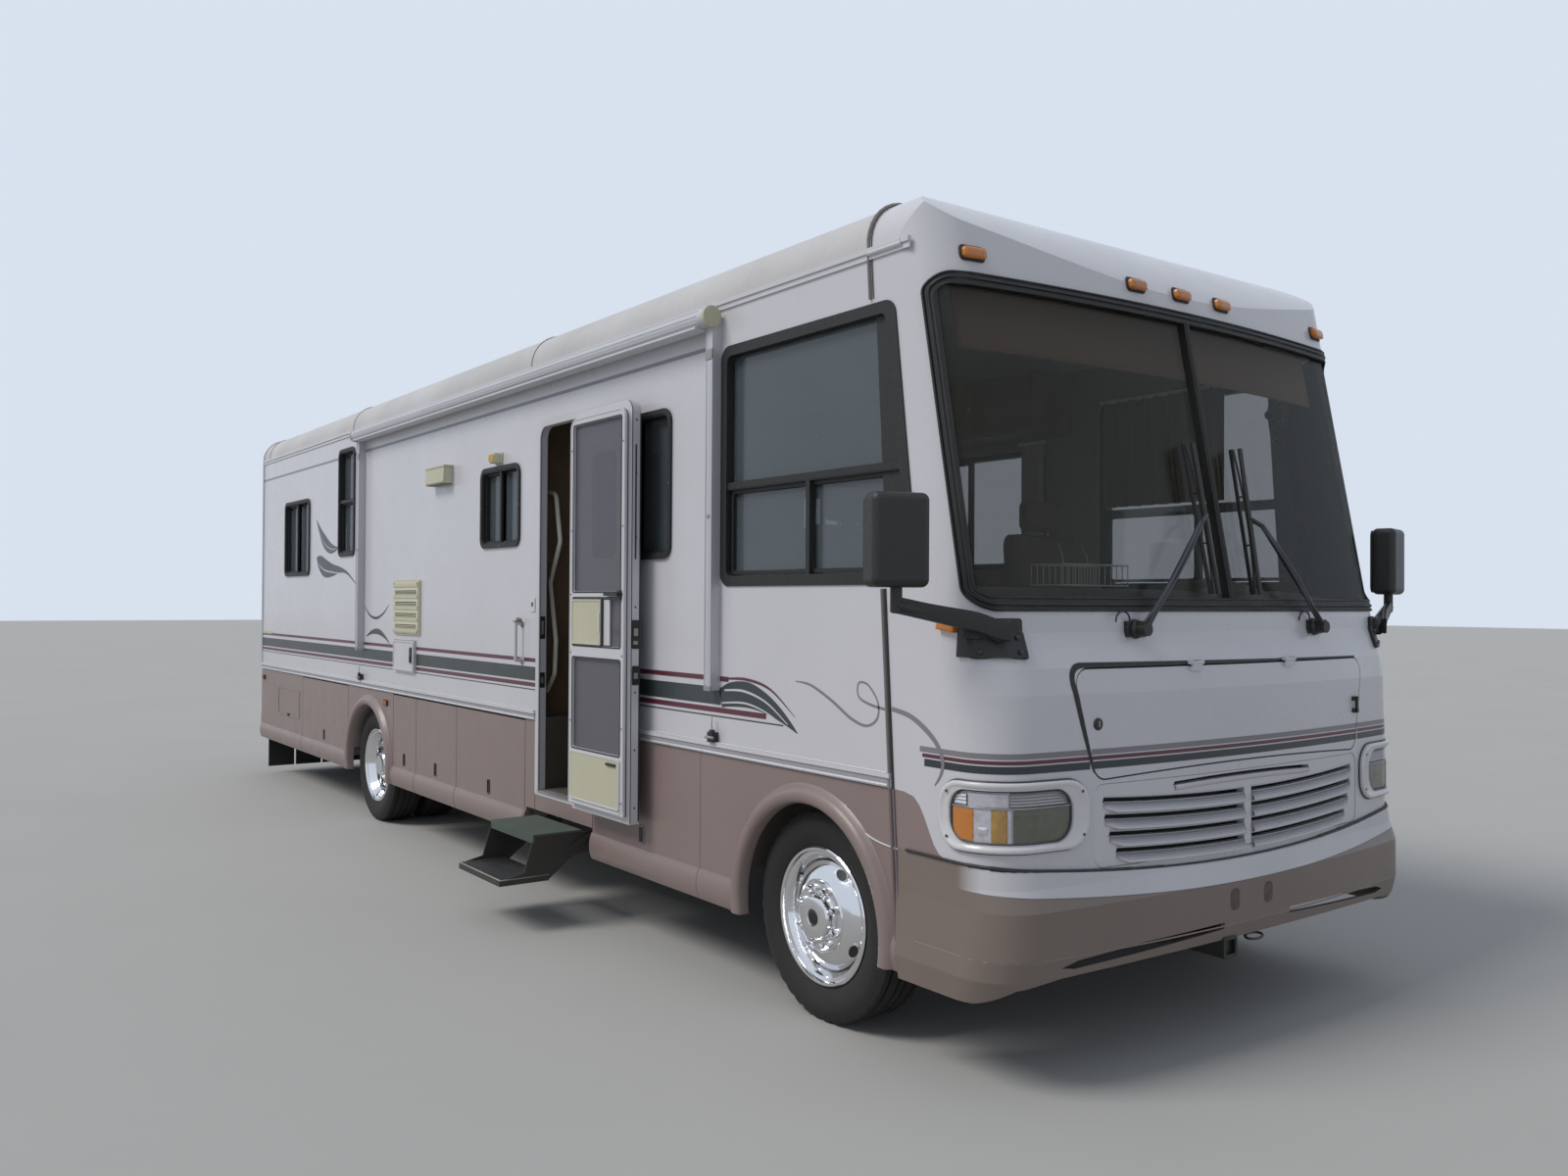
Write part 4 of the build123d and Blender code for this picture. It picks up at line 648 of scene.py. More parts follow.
belt_grey = finish("belt_grey", (0.36, 0.345, 0.375), 0.5, vary=0.10, bump=0.02)
door_grey = finish("doorway_grey", (0.60, 0.60, 0.63), 0.42, vary=0.10, bump=0.01, streak=0.10)
arm_silver = finish("arm_silver", (0.56, 0.56, 0.59), 0.42, metal=0.25, vary=0.08, bump=0.02, grain=90.0)
cream = finish("cream_plastic", (0.54, 0.52, 0.38), 0.5, vary=0.10, bump=0.04, streak=0.15)
aluminium = finish("aluminium_trim", (0.70, 0.70, 0.72), 0.36, metal=0.85, vary=0.10, bump=0.05, grain=90.0)
chrome = finish("wheel_chrome", (0.80, 0.80, 0.82), 0.10, metal=1.0, vary=0.10, bump=0.01, patch=5.0)
steel = finish("dull_steel", (0.42, 0.40, 0.38), 0.5, metal=0.9, vary=0.25, bump=0.15, patch=4.0)
frame_black = finish("chassis_black", (0.028, 0.026, 0.024), 0.62, vary=0.3,
                     bump=0.15, patch=3.0, splash=0.25)
black_rubber = finish("rubber_black", (0.014, 0.014, 0.014), 0.58, vary=0.25, bump=0.05, patch=3.0)
black_plastic = finish("black_plastic", (0.017, 0.0175, 0.016), 0.46, vary=0.2, bump=0.05, grain=120.0)
tyre_black = finish("tyre_black", (0.0105, 0.0102, 0.0100), 0.80, vary=0.25,
                    bump=0.12, grain=90.0, splash=0.09)
brown_plastic = finish("dash_brown", (0.075, 0.058, 0.046), 0.55, vary=0.12, bump=0.12, grain=150.0)
oak = finish("cabinet_oak", (0.17, 0.100, 0.055), 0.45, vary=0.30, bump=0.08, patch=6.0, weave=14.0)
carpet = finish("carpet", (0.085, 0.070, 0.055), 0.95, vary=0.2, bump=0.6, grain=220.0)
green_carpet = finish("step_carpet", (0.085, 0.108, 0.090), 0.95, vary=0.25, bump=0.7, grain=260.0)
cloth = finish("seat_cloth", (0.185, 0.145, 0.120), 0.92, vary=0.15, bump=0.35, grain=200.0, weave=220.0)
curtain_cloth = finish("curtain_cloth", (0.155, 0.100, 0.075), 0.9, vary=0.18,
                       bump=0.3, grain=180.0, weave=160.0)
pale_cloth = finish("pale_curtain", (0.50, 0.45, 0.38), 0.92, vary=0.15, bump=0.3, grain=180.0, weave=160.0)
amber = finish("lamp_amber", (0.62, 0.195, 0.004), 0.20, vary=0.25, bump=0.2, grain=140.0, coat=0.5)
red = finish("lamp_red", (0.42, 0.012, 0.012), 0.16, vary=0.2, bump=0.2, grain=140.0, coat=0.5)
yellow = finish("lamp_yellow", (0.62, 0.42, 0.08), 0.25, vary=0.15, bump=0.1, coat=0.4)
tank_black = finish("tank_black", (0.045, 0.045, 0.047), 0.6, vary=0.2, bump=0.12, splash=0.25)
iron = finish("engine_iron", (0.12, 0.115, 0.11), 0.7, metal=0.4, vary=0.3, bump=0.3, patch=5.0)
rusty_steel = finish("exhaust_steel", (0.24, 0.17, 0.125), 0.7, metal=0.5, vary=0.4, bump=0.3, patch=7.0)
maroon = finish("stripe_maroon", (0.105, 0.018, 0.034), 0.4, vary=0.10, bump=0.02, coat=0.2)
mauve = finish("stripe_mauve", (0.22, 0.20, 0.225), 0.4, vary=0.10, bump=0.02, coat=0.2)
grey_green = finish("stripe_green_grey", (0.036, 0.046, 0.048), 0.4, vary=0.25, bump=0.02, coat=0.2)
dark_blue = finish("stripe_dark_blue", (0.023, 0.031, 0.036), 0.4, vary=0.12, bump=0.02, coat=0.2)
pale_line = finish("stripe_white", (0.60, 0.592, 0.625), 0.4, vary=0.05, bump=0.02, coat=0.2)
seal = finish("seal_bead", (0.27, 0.245, 0.235), 0.7, vary=0.2, bump=0.1)


door_skin = finish("door_skin", WHITE, 0.35, vary=0.05, bump=0.03, streak=0.12, splash=0.2, coat=0.2,
                   zones=[(both_shares(between("X", -1.3615, -1.3525), between("Z", 1.845, 2.385)),
                           (0.035, 0.045, 0.05))])
screen_white = finish("screen_frame", (0.60, 0.60, 0.62), 0.38, vary=0.06, bump=0.02, grain=90.0, streak=0.04,
                      zones=[(between("X", -1.3985, -1.3915), (0.150, 0.142, 0.168)),
                             (between("X", -1.45, -1.4106), (0.03, 0.03, 0.03))],
                      clear=(between("X", -1.3985, -1.3915), 0.58))
fittings = finish("side_fittings", (0.64, 0.62, 0.48), 0.5, vary=0.10, bump=0.03, streak=0.12,
                  zones=[(between("Y", -1.40, -1.05), (0.58, 0.58, 0.60)),
                         (both_shares(between("X", -1.20, -1.00), between("Y", -1.40, -1.05)),
                          (0.90, 0.88, 0.76)),
                         (both_shares(between("Z", 1.10, 1.40), between("Y", 0.5, 1.1)), WHITE)])
signal_lens = finish("signal_lens", (0.60, 0.185, 0.012), 0.20, vary=0.25, bump=0.2, grain=140.0, coat=0.5,
                     zones=[(between("Y", 4.765, 5.0), (0.42, 0.012, 0.012)),
                            (both_shares(between("Y", 4.765, 5.0), between("Z", 1.05, 1.14)),
                             (0.62, 0.62, 0.60))])


def glass(name, colour, alpha, rough=0.03, side=None):
    """Tinted glass that lets some of what is behind show; side gives the walls' windows their own lighter
    blue-grey colour and alpha, partly their own and partly painted sky reflection.
    """
    net = Net(bpy.data.materials.new(name))
    film = net.noise(2.2, detail=6.0)
    net.shader("Roughness", net.ramp(film, 0.45, 0.8, rough, rough + 0.05))
    tint_and_painted_sky = colour
    if side:
        on_side = net.times(net.maths("GREATER_THAN", net.maths("ABSOLUTE", net.along("X")), 1.215),
                            net.maths("GREATER_THAN", net.along("Y"), -4.45))
        # On the walls' windows the lighter blue-grey is partly painted sky reflection
        tint_and_painted_sky = net.mixed(on_side, colour, side[:3])
        net.shader("Alpha", net.maths("ADD", net.times(on_side, side[3] - alpha), alpha))
        net.shader("Specular IOR Level", net.maths("ADD", net.times(on_side, 0.40), 0.50))
    else:
        net.shader("Alpha", alpha)
        net.shader("Specular IOR Level", 0.9)
    worn = net.mixed(0.85, (0.0, 0.0, 0.0), tint_and_painted_sky)
    net.shader("Base Color", net.mixed(net.ramp(film, 0.4, 0.8), tint_and_painted_sky, worn))
    return net.owner


# The walls' windows: a lighter blue-grey than the windscreen, partly the glass's own colour and partly
# painted sky reflection
teal_glass = glass("window_glass", (0.058, 0.062, 0.047), 0.20, side=(0.125, 0.152, 0.168, 0.50))
lens_clear = glass("lamp_cover", (0.60, 0.60, 0.55), 0.05, 0.05)
lamp_back = finish("lamp_housing", (0.34, 0.34, 0.35), 0.35, metal=0.8, vary=0.15, bump=0.05)
lamp_glass = finish("lamp_ribbed_glass", (0.115, 0.118, 0.083), 0.24, vary=0.35, patch=12.0, bump=0.3,
                    grain=170.0, coat=0.6)
cap_plain = finish("lamp_rim_white", (0.66, 0.65, 0.66), 0.28, vary=0.05, grain=10.0, bump=0.0, coat=0.4)
lamp_gold = finish("lamp_gold", (0.50, 0.29, 0.07), 0.22, metal=0.2, vary=0.35,
                   patch=30.0, bump=0.1, coat=0.5)
lamp_pale = finish("lamp_pale", (0.62, 0.60, 0.68), 0.18, metal=0.2, vary=0.25,
                   patch=40.0, bump=0.1, coat=0.6)
# Dark grey for the painted shadow round each headlamp's rim, and for its screws
lamp_shadow_and_screws = finish("lamp_shadow_and_screws", (0.055, 0.050, 0.060), 0.5, vary=0.15, bump=0.02)
smudge = finish("bumper_smudge", (0.115, 0.094, 0.076), 0.7, vary=0.35, patch=40.0, bump=0.05)
mirror_silver = finish("mirror_silver", (0.70, 0.72, 0.74), 0.05, metal=1.0, vary=0.04, bump=0.005)

# Node, with the finish that its faces get
NODE_FINISH = {
    "chassis_frame": frame_black, "floor_bearers": frame_black, "engine_block": iron,
    "front_axle": frame_black, "leaf_springs": frame_black, "rear_axle": frame_black, "tanks": tank_black,
    "exhaust": rusty_steel, "floor": carpet, "basement_boxes": steel, "wall_left": body_white,
    "wall_right": body_white, "roof": roof_white, "rear_wall": body_white, "front_cap": cap_white,
    "skirt_left": skirt_tan, "skirt_right": skirt_tan, "bumper": bumper_tan, "grille": white_moulding,
    "head_lamps": lamp_back, "signal_lamps": signal_lens, "window_frames": black_rubber,
    "window_glass": teal_glass, "belt_trim": white_moulding, "mirrors": black_plastic,
    "wipers": black_plastic, "awning": arm_silver, "roof_units": roof_white, "ladder": aluminium,
    "rear_bumper": skirt_tan, "mud_strips": black_rubber, "door_frame": door_grey, "side_vents": fittings,
    "dashboard": brown_plastic, "seats": cloth, "cabinets": oak, "steering_wheel": black_plastic,
    "entry_door": door_skin, "screen_door": screen_white, "hood_panel": cap_white, "step_frame": frame_black,
    "step_arms_front": frame_black, "step_arms_rear": frame_black, "step_treads": frame_black,
}
for name, *_ in LUGGAGE_DOORS:
    NODE_FINISH[name] = skirt_tan
for word in ("left", "right"):
    NODE_FINISH["knuckle_" + word] = frame_black
    for axle in ("front", "rear"):
        NODE_FINISH[f"{axle}_rim_{word}"] = chrome
        NODE_FINISH[f"{axle}_tyre_{word}"] = tyre_black
for name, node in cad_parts.items():
    node.data.materials.clear()
    node.data.materials.append(NODE_FINISH[name])


# Paint lines

def wall_stretches(side, front):
    """Rear and front ends of what runs along a wall; on the right the doorway breaks it."""
    if side > 0:
        return [(WALL_END, front)]
    return [(WALL_END, DOORWAY_TRIM[1]), (DOORWAY_TRIM[0], front)]


def make_wall_stripes():
    """Long stripes on both side walls, with a leaf-shaped front end."""
    leaf = [(-3.158, 1.230, 0.040), (-3.24, 1.252, 0.052), (-3.36, 1.258, 0.054), (-3.47, 1.238, 0.044),
            (-3.57, 1.204, 0.030), (-3.66, 1.160, 0.014), (-3.715, 1.128, 0.002)]
    veins = [
        ([(-3.19, 1.268, 0.004), (-3.34, 1.272, 0.005), (-3.50, 1.236, 0.004), (-3.65, 1.158, 0.002)], 4),
        ([(-3.17, 1.212, 0.003), (-3.34, 1.222, 0.004), (-3.48, 1.200, 0.003), (-3.60, 1.160, 0.002)], 4),
        ([(-3.20, 1.318, 0.004), (-3.36, 1.322, 0.006), (-3.53, 1.290, 0.005), (-3.70, 1.190, 0.001)], 0),
    ]
    for side, word in SIDES:
        form = Form()
        surface = wall_surface(side)
        for z0, z1, front, mark in STRIPES:
            for stretch in wall_stretches(side, front):
                form.stripe(z0, z1, stretch, surface, mark)
        # The upper line is broken by the tall window
        for stretch in ((WALL_END, 2.402), (1.994, -3.02)):
            form.stripe(2.756, 2.774, stretch, surface, 3)
        form.ribbon(smooth_path(leaf), surface, 1)
        for line, mark in veins:
            form.ribbon(smooth_path(line), wall_surface(side, OVER_PAINT), mark)
        form.make("wall_stripes_" + word, "root",
                  [maroon, grey_green, dark_blue, mauve, pale_line], smooth=60)


def make_swooshes():
    """Two curved leaves and a few thin curls on the rear quarter, and a curl at the seam."""
    leaves = [
        ([(3.04, 2.31, 0.002), (2.93, 2.21, 0.020), (2.80, 2.12, 0.036), (2.64, 2.06, 0.030),
          (2.50, 2.05, 0.014), (2.43, 2.06, 0.002)], 0),
        ([(3.02, 1.99, 0.006), (2.93, 1.95, 0.040), (2.78, 1.90, 0.050), (2.58, 1.88, 0.034),
          (2.38, 1.88, 0.016), (2.18, 1.85, 0.007), (1.90, 1.74, 0.002)], 1),
        ([(1.74, 1.60, 0.002), (1.62, 1.53, 0.005), (1.46, 1.51, 0.007), (1.30, 1.55, 0.005),
          (1.19, 1.61, 0.002)], 1),
        ([(1.69, 1.37, 0.002), (1.56, 1.405, 0.010), (1.41, 1.41, 0.014), (1.27, 1.375, 0.008),
          (1.17, 1.33, 0.002)], 0),
    ]
    veins = [[(3.02, 2.27, 0.001), (2.84, 2.12, 0.003), (2.62, 2.052, 0.003), (2.46, 2.055, 0.001)],
             [(2.99, 1.945, 0.001), (2.80, 1.885, 0.005), (2.52, 1.860, 0.004), (2.20, 1.845, 0.001)]]
    curl = [(-3.70, 1.335, 0.002), (-3.80, 1.325, 0.005), (-3.93, 1.275, 0.006), (-4.05, 1.215, 0.006),
            (-4.14, 1.195, 0.005), (-4.20, 1.225, 0.005), (-4.205, 1.285, 0.004), (-4.15, 1.345, 0.004),
            (-4.095, 1.350, 0.004), (-4.095, 1.300, 0.004), (-4.16, 1.275, 0.005), (-4.255, 1.262, 0.005)]
    for side, word in SIDES:
        form = Form()
        surface = wall_surface(side)
        for line, mark in leaves:
            form.ribbon([(a, b, half * 1.5) for a, b, half in smooth_path(line)], surface, mark)
        for line in veins:
            form.ribbon(smooth_path(line), wall_surface(side, OVER_PAINT), 2)
        form.ribbon(smooth_path(curl), surface, 3)
        form.make("swooshes_" + word, "root", [grey_green, dark_blue, pale_line, mauve], smooth=60)


def make_nose_stripes():
    """The curl's tail on the nose, and the nose's stripes up to the hood and on it."""
    tail = [(-4.285, 1.268, 0.008), (-4.38, 1.250, 0.009), (-4.46, 1.210, 0.010), (-4.52, 1.160, 0.009),
            (-4.545, 1.105, 0.008), (-4.535, 1.060, 0.006), (-4.505, 1.020, 0.002)]
    form = Form()
    for side, _ in SIDES:
        form.ribbon([(side * side_run(y), z, half) for y, z, half in smooth_path(tail)],
                    nose_surface(OVER_PAINT), 3)
    for z0, z1, end, mark, _ in NOSE_STRIPES:
        for side, _ in SIDES:
            run = spread(side * side_run(end), side * nose_run(HOOD_EDGE + 0.004), 30)
            form.stripe(z0, z1, run, nose_surface(), mark)
    form.make("nose_stripes", "root", [maroon, grey_green, dark_blue, mauve], smooth=60)
    hood = Form()
    reach = nose_run(HOOD_EDGE - 0.004)
    for z0, z1, _, _, mark in NOSE_STRIPES:
        hood.stripe(z0, z1, spread(-reach, reach, 24), nose_surface(), mark)
    hood.make("hood_stripes", "hood_panel", [maroon, dark_blue, mauve], smooth=60)


def make_door_stripes():
    """The same stripes on the entry door's outer skin."""
    form = Form()
    for z0, z1, _, mark in STRIPES:
        form.stripe(z0, z1, (DOOR_SPAN[1] - 0.003, DOOR_SPAN[0] + 0.003),
                    flat_surface(DOOR_SKIN_X + PAINT), mark)
    form.make("door_stripes", "entry_door", [maroon, grey_green, dark_blue], smooth=60)


# Wheels

def tyre_form(form, centre_x, axle):
    """A tyre with four grooves round its tread, cut shoulders and ridged sides."""
    side = [(0.0835, 0.251), (0.0890, 0.266), (0.1020, 0.280), (0.1040, 0.2835), (0.1130, 0.300),
            (0.1195, 0.325), (0.1222, 0.342), (0.1210, 0.352), (0.1215, 0.3545), (0.1175, 0.368),
            (0.1165, 0.3715), (0.1120, 0.385)]
    tread = [(0.1035, 0.403), (0.0990, 0.4095), (0.0760, 0.4105), (0.0750, 0.4020), (0.0660, 0.4020),
             (0.0650, 0.4112), (0.0250, 0.4118), (0.0240, 0.4030), (0.0150, 0.4030), (0.0140, 0.4118)]
    half = side + tread
    profile = half + [(-x, r) for x, r in reversed(half)]
    cut = {len(side) - 1, len(side), len(side) + 1}
    cut |= {len(profile) - 1 - i for i in cut}
    rings = []
    for index, (x, radius) in enumerate(profile):
        ring = []
        for i, a in enumerate(turns(120)):
            r = radius - (0.006 if index in cut and i % 3 == 0 else 0.0)
            ring.append((centre_x + x, axle[0] + r * cos(a), axle[1] + r * sin(a)))
        rings.append(ring)
    form.skin(rings)


def cover(form, profile, side, centre_x, axle):
    """A wheel cover turned from (outward, radius) pairs."""
    form.skin([[(centre_x + side * out, axle[0] + radius * cos(a), axle[1] + radius * sin(a))
                for a in turns(72)] for out, radius in profile], last=True)


def turned_piece(form, side, x, y, z, profile, mark, steps=16):
    """A small turned piece that points outward from x, y, z."""
    pairs = [(side * out, radius) for out, radius in profile]
    form.turned(pairs, (x, y, z), "x", steps, mark)


def make_wheels():
    """Bright covers with a ring, a dome, capped lugs and a hub, on tyres with real tread."""
    front = [(0.094, 0.272), (0.104, 0.2725), (0.109, 0.267), (0.108, 0.258), (0.098, 0.2525), (0.070, 0.247),
             (0.056, 0.240), (0.052, 0.232), (0.056, 0.224), (0.070, 0.212), (0.088, 0.192), (0.100, 0.170),
             (0.107, 0.152), (0.109, 0.146), (0.104, 0.142), (0.103, 0.137), (0.109, 0.132), (0.1105, 0.120),
             (0.1105, 0.098), (0.116, 0.091), (0.136, 0.086), (0.144, 0.080), (0.147, 0.068), (0.149, 0.050),
             (0.1475, 0.034), (0.142, 0.031)]
    rear = [(0.094, 0.272), (0.104, 0.2725), (0.109, 0.267), (0.108, 0.258), (0.098, 0.2525), (0.050, 0.243),
            (0.000, 0.236), (-0.030, 0.226), (-0.046, 0.210), (-0.050, 0.192), (-0.044, 0.172),
            (-0.036, 0.160), (-0.034, 0.120), (-0.028, 0.110), (0.030, 0.104), (0.062, 0.096),
            (0.076, 0.084), (0.080, 0.060), (0.081, 0.032), (0.077, 0.028)]
    front_recess = [(0.0800, 0.2485), (0.0665, 0.2440), (0.0600, 0.2370), (0.0605, 0.2270), (0.0680, 0.2180)]
    rear_recess = [(0.0700, 0.2470), (0.0040, 0.2345), (-0.0240, 0.2240), (-0.0400, 0.2090)]
    # Axle, cover and dark recess, then out and radius of hand holes and of lugs, then the tyre's middle
    wheels = [("front", FRONT_AXLE, front, front_recess, 0.080, 0.201, 0.109, 0.113, 1.100),
              ("rear", REAR_AXLE, rear, rear_recess, -0.047, 0.187, -0.034, 0.135, 1.105)]
    for side, word in SIDES:
        for axle_name, axle, profile, recess, hole_out, hole_r, lug_out, lug_r, centre in wheels:
            form = Form()
            x = side * centre
            cover(form, profile, side, x, axle)
            ring = [(out + 0.001, r) for out, r in recess]
            ring += [(recess[-1][0] - 0.002, recess[-1][1]), (recess[0][0] - 0.004, recess[0][1])]
            form.turned([(side * out, r) for out, r in ring], (x, *axle), "x", 72, 2, closed=True)
            end, radius = profile[-1]
            turned_piece(form, side, x + side * (end - 0.001), axle[0], axle[1],
                         [(0.0, radius), (0.002, radius - 0.002), (0.003, 0.010)], 1, 32)
            for k in range(4):
                a = radians(30 + 90 * k)
                y, z = axle[0] + hole_r * cos(a), axle[1] + hole_r * sin(a)
                hole_form(form, side, x + side * hole_out, y, z, a, axle_name)
            for k in range(8):
                a = radians(22.5 + 45 * k)
                y, z = axle[0] + lug_r * cos(a), axle[1] + lug_r * sin(a)
                turned_piece(form, side, x + side * lug_out, y, z,
                             [(0.0, 0.0175), (0.006, 0.0172), (0.026, 0.0145), (0.033, 0.011),
                              (0.036, 0.004)], 0)
            if axle_name == "front":
                turned_piece(form, side, x + side * 0.1425, axle[0], axle[1],
                             [(0.0, 0.030), (0.004, 0.026), (0.006, 0.012)], 1, 32)
            form.make(f"{axle_name}_cover_{word}", f"{axle_name}_wheel_{word}",
                      [chrome, black_rubber, frame_black])
            tyres = Form()
            for tyre_x in (x,) if axle_name == "front" else (x, side * TWIN_X):
                tyre_form(tyres, tyre_x, axle)
            tyre = tyres.make(f"{axle_name}_treads_{word}", f"{axle_name}_wheel_{word}",
                              tyre_black, smooth=28)
            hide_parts(f"{axle_name}_tyre_{word}")
            valve = Form()
            a = radians(75)
            y, z = axle[0] + 0.236 * cos(a), axle[1] + 0.236 * sin(a)
            turned_piece(valve, side, x + side * 0.05, y, z,
                         [(0.0, 0.004), (0.034, 0.004), (0.036, 0.002)], 0, 10)
            valve.make(f"{axle_name}_valve_{word}", f"{axle_name}_wheel_{word}", steel)


def hole_form(form, side, x, y, z, a, axle_name):
    """A dark oval hand hole, lying on the dome."""
    lean = 0.75 if axle_name == "front" else 0.0
    radial = Vector((-side * lean, cos(a), sin(a))).normalized()
    around = Vector((0.0, -sin(a), cos(a)))
    normal = radial.cross(around)
    if normal.x * side < 0:
        normal = -normal
    centre = Vector((x, y, z)) + normal * 0.006
    loop = [centre + around * 0.033 * cos(b) + radial * 0.021 * sin(b) for b in turns(24)]
    base = [p - normal * 0.012 for p in loop]
    inner = [centre + (p - centre) * 0.88 - normal * 0.0008 for p in loop]
    points = base + loop + inner
    faces = []
    for i in range(24):
        j = (i + 1) % 24
        faces += [(i, j, 24 + j, 24 + i), (24 + i, 24 + j, 48 + j, 48 + i)]
    form.add(points, faces)
    form.fill(inner, 1)


# Side walls

def arc_through(p0, p1, p2, count):
    """Points on the arc through three places in a plane."""
    ax, ay, bx, by, cx, cy = *p0, *p1, *p2
    d = 2 * (ax * (by - cy) + bx * (cy - ay) + cx * (ay - by))
    a2, b2, c2 = ax * ax + ay * ay, bx * bx + by * by, cx * cx + cy * cy
    ux = (a2 * (by - cy) + b2 * (cy - ay) + c2 * (ay - by)) / d
    uy = (a2 * (cx - bx) + b2 * (ax - cx) + c2 * (bx - ax)) / d
    start, middle, end = (atan2(y - uy, x - ux) for x, y in (p0, p1, p2))
    span = (end - start + pi) % (2 * pi) - pi
    if ((middle - start) % (2 * pi)) > ((end - start) % (2 * pi)) and span > 0:
        span -= 2 * pi
    radius = hypot(ax - ux, ay - uy)
    return [(ux + radius * cos(start + span * i / count), uy + radius * sin(start + span * i / count))
            for i in range(count + 1)]


def roof_profile():
    """The roof's outline across the vehicle, from one wall's top to the other's, as (x, z)."""
    edge = arc_through((1.270, 2.955), (1.228, 3.080), (1.110, 3.150), 8)
    crown = arc_through((1.110, 3.150), (0.0, ROOF_TOP), (-1.110, 3.150), 24)
    return edge + crown[1:] + [(-x, z) for x, z in reversed(edge)][1:]


def crest_z(y):
    """The height of the crest's line at y, where it lies below the roof."""
    line = arc_through((-4.571, 2.885), (-4.432, 3.050), (-3.980, ROOF_TOP), 40)
    if y >= line[-1][0]:
        return 9.0
    for (y0, z0), (y1, z1) in zip(line, line[1:]):
        if y0 <= y <= y1:
            return z0 + (z1 - z0) * (y - y0) / (y1 - y0)
    return line[0][1]


def seam_y(z):
    """Where the seam between nose and walls runs at height z."""
    foot_y, foot_z, tall, lean = -4.331, 0.343, 2.612, 0.181
    return foot_y + (z - foot_z) / tall * lean


def make_seam_bead():
    """The moulding over the seam and the roof, broken at the cockpit windows, with its dark edge: a line just
    ahead of the bead, partly groove and partly painted shadow of the bead.
    """
    form = Form()
    line = Form()

    # The line is black above the belt and over the roof, where it stands partly as painted shadow beside the
    # bead, and mauve below the belt
    def run(path, mark, wide=0.0046):
        form.tube([(x, y + 0.0060, z) for x, y, z in path], 0.0125, 8, mark, flat=0.42)
        line.tube([(x * 1.0012, y - 0.0085, z + 0.0003) for x, y, z in path], wide, 6, mark, flat=0.8)

    for side in (-1, 1):
        for low, high, mark in ((0.36, 0.982, 1), (0.982, 1.700, 0)):
            run([(side * 1.272, seam_y(z), z) for z in spread(low, high, 6)], mark)
    path = [(1.272, seam_y(z), z) for z in spread(2.768, 2.910, 3)]
    over = []
    for x, z in roof_profile():
        over.append((x * 1.0015, seam_y(z), min(z, crest_z(seam_y(z))) + 0.002))
    path += over[1:-1]
    path += [(-x, y, z) for x, y, z in reversed(path[:4])]
    run(path, 0, 0.0022)
    form.make("seam_bead", "root", [seal, skirt_tan], smooth=50)
    line.make("seam_groove_and_shadow", "root", [black_plastic, mauve], smooth=50)


def make_flares():
    """Rounded lips over the wheel arches, and the bright crease line ahead of the front arch."""
    section = [(0.4492, 1.2455), (0.4492, 1.286), (0.456, 1.2985), (0.470, 1.3045), (0.488, 1.3055),
               (0.501, 1.3010), (0.511, 1.2900), (0.519, 1.2780), (0.528, 1.2708)]
    for side, word in SIDES:
        form = Form()
        for axle in (FRONT_AXLE, REAR_AXLE):
            rows = []
            for radius, x in section:
                start = asin((0.340 - axle[1]) / radius)
                rows.append([(side * x, axle[0] + radius * cos(a), axle[1] + radius * sin(a))
                             for a in spread(start, pi - start, 60)])
            form.grid(rows)
            for end in (0, -1):
                edge = [row[end] for row in rows]
                form.fill(edge + [(side * 1.2455, edge[-1][1], edge[-1][2])])
        form.make("arch_flares_" + word, "root", skirt_tan, smooth=50)
        crease = Form()
        line = smooth_path([(-4.02, 0.888), (-4.05, 0.855), (-4.10, 0.818), (-4.16, 0.792), (-4.23, 0.777),
                            (-4.318, 0.770)], 6)
        crease.tube([(side * 1.2712, y, z) for y, z in line], 0.0038, 6)
        crease.make("crease_line_" + word, "root", pale_line)


def make_window_trim():
    """Raised lips, inner sashes, catches and screws on every side window."""
    for side, word, windows in ((-1, "right", RIGHT_WINDOWS), (1, "left", LEFT_WINDOWS)):
        form = Form()
        for y0, y1, z0, z1, bar in windows:
            form.border((y0 - 0.004, y1 + 0.004, z0 - 0.004, z1 + 0.004), 0.024, (0.062, 0.042), "x",
                        side * 1.2772, side * 1.2822)
            middle = (y0 + y1) / 2
            if bar:
                sash = (y0 + 0.026, y1 - 0.026, z0 + 0.026, bar - 0.008)
            else:
                sash = (middle - 0.012, y1 - 0.026, z0 + 0.026, z1 - 0.026)
            form.border(sash, 0.016, (0.016, 0.010), "x", side * 1.240, side * 1.256)
            form.box(side * 1.240, side * 1.262, y0 + 0.03, y1 - 0.03, z0 + 0.027, z0 + 0.036)
            level = (sash[2] + sash[3]) / 2
            form.box(side * 1.256, side * 1.266, sash[0] + 0.003, sash[0] + 0.013,
                     level - 0.03, level + 0.03, 1)
            for y, z in ((y0 + 0.010, (z0 + z1) / 2), (y1 - 0.010, (z0 + z1) / 2), (middle, z0 + 0.008),
                         (middle, z1 - 0.008)):
                form.turned([(side * 1.282, 0.0042), (side * 1.2832, 0.0036), (side * 1.2836, 0.0015)],
                            (0.0, y, z), "x", 8, 1)
        # The cockpit window's two sliding panes
        for y0, y1 in ((-3.770, -3.205), (-4.355, -3.770)):
            form.border((y0, y1, 1.765, 2.128), 0.016, (0.02, 0.012), "x", side * 1.238, side * 1.252)
        form.box(side * 1.240, side * 1.268, -4.34, -3.19, 2.128, 2.136)
        form.box(side * 1.240, side * 1.268, -4.34, -3.19, 2.154, 2.161)
        form.make("window_trim_" + word, "root", [black_rubber, steel], smooth=40)


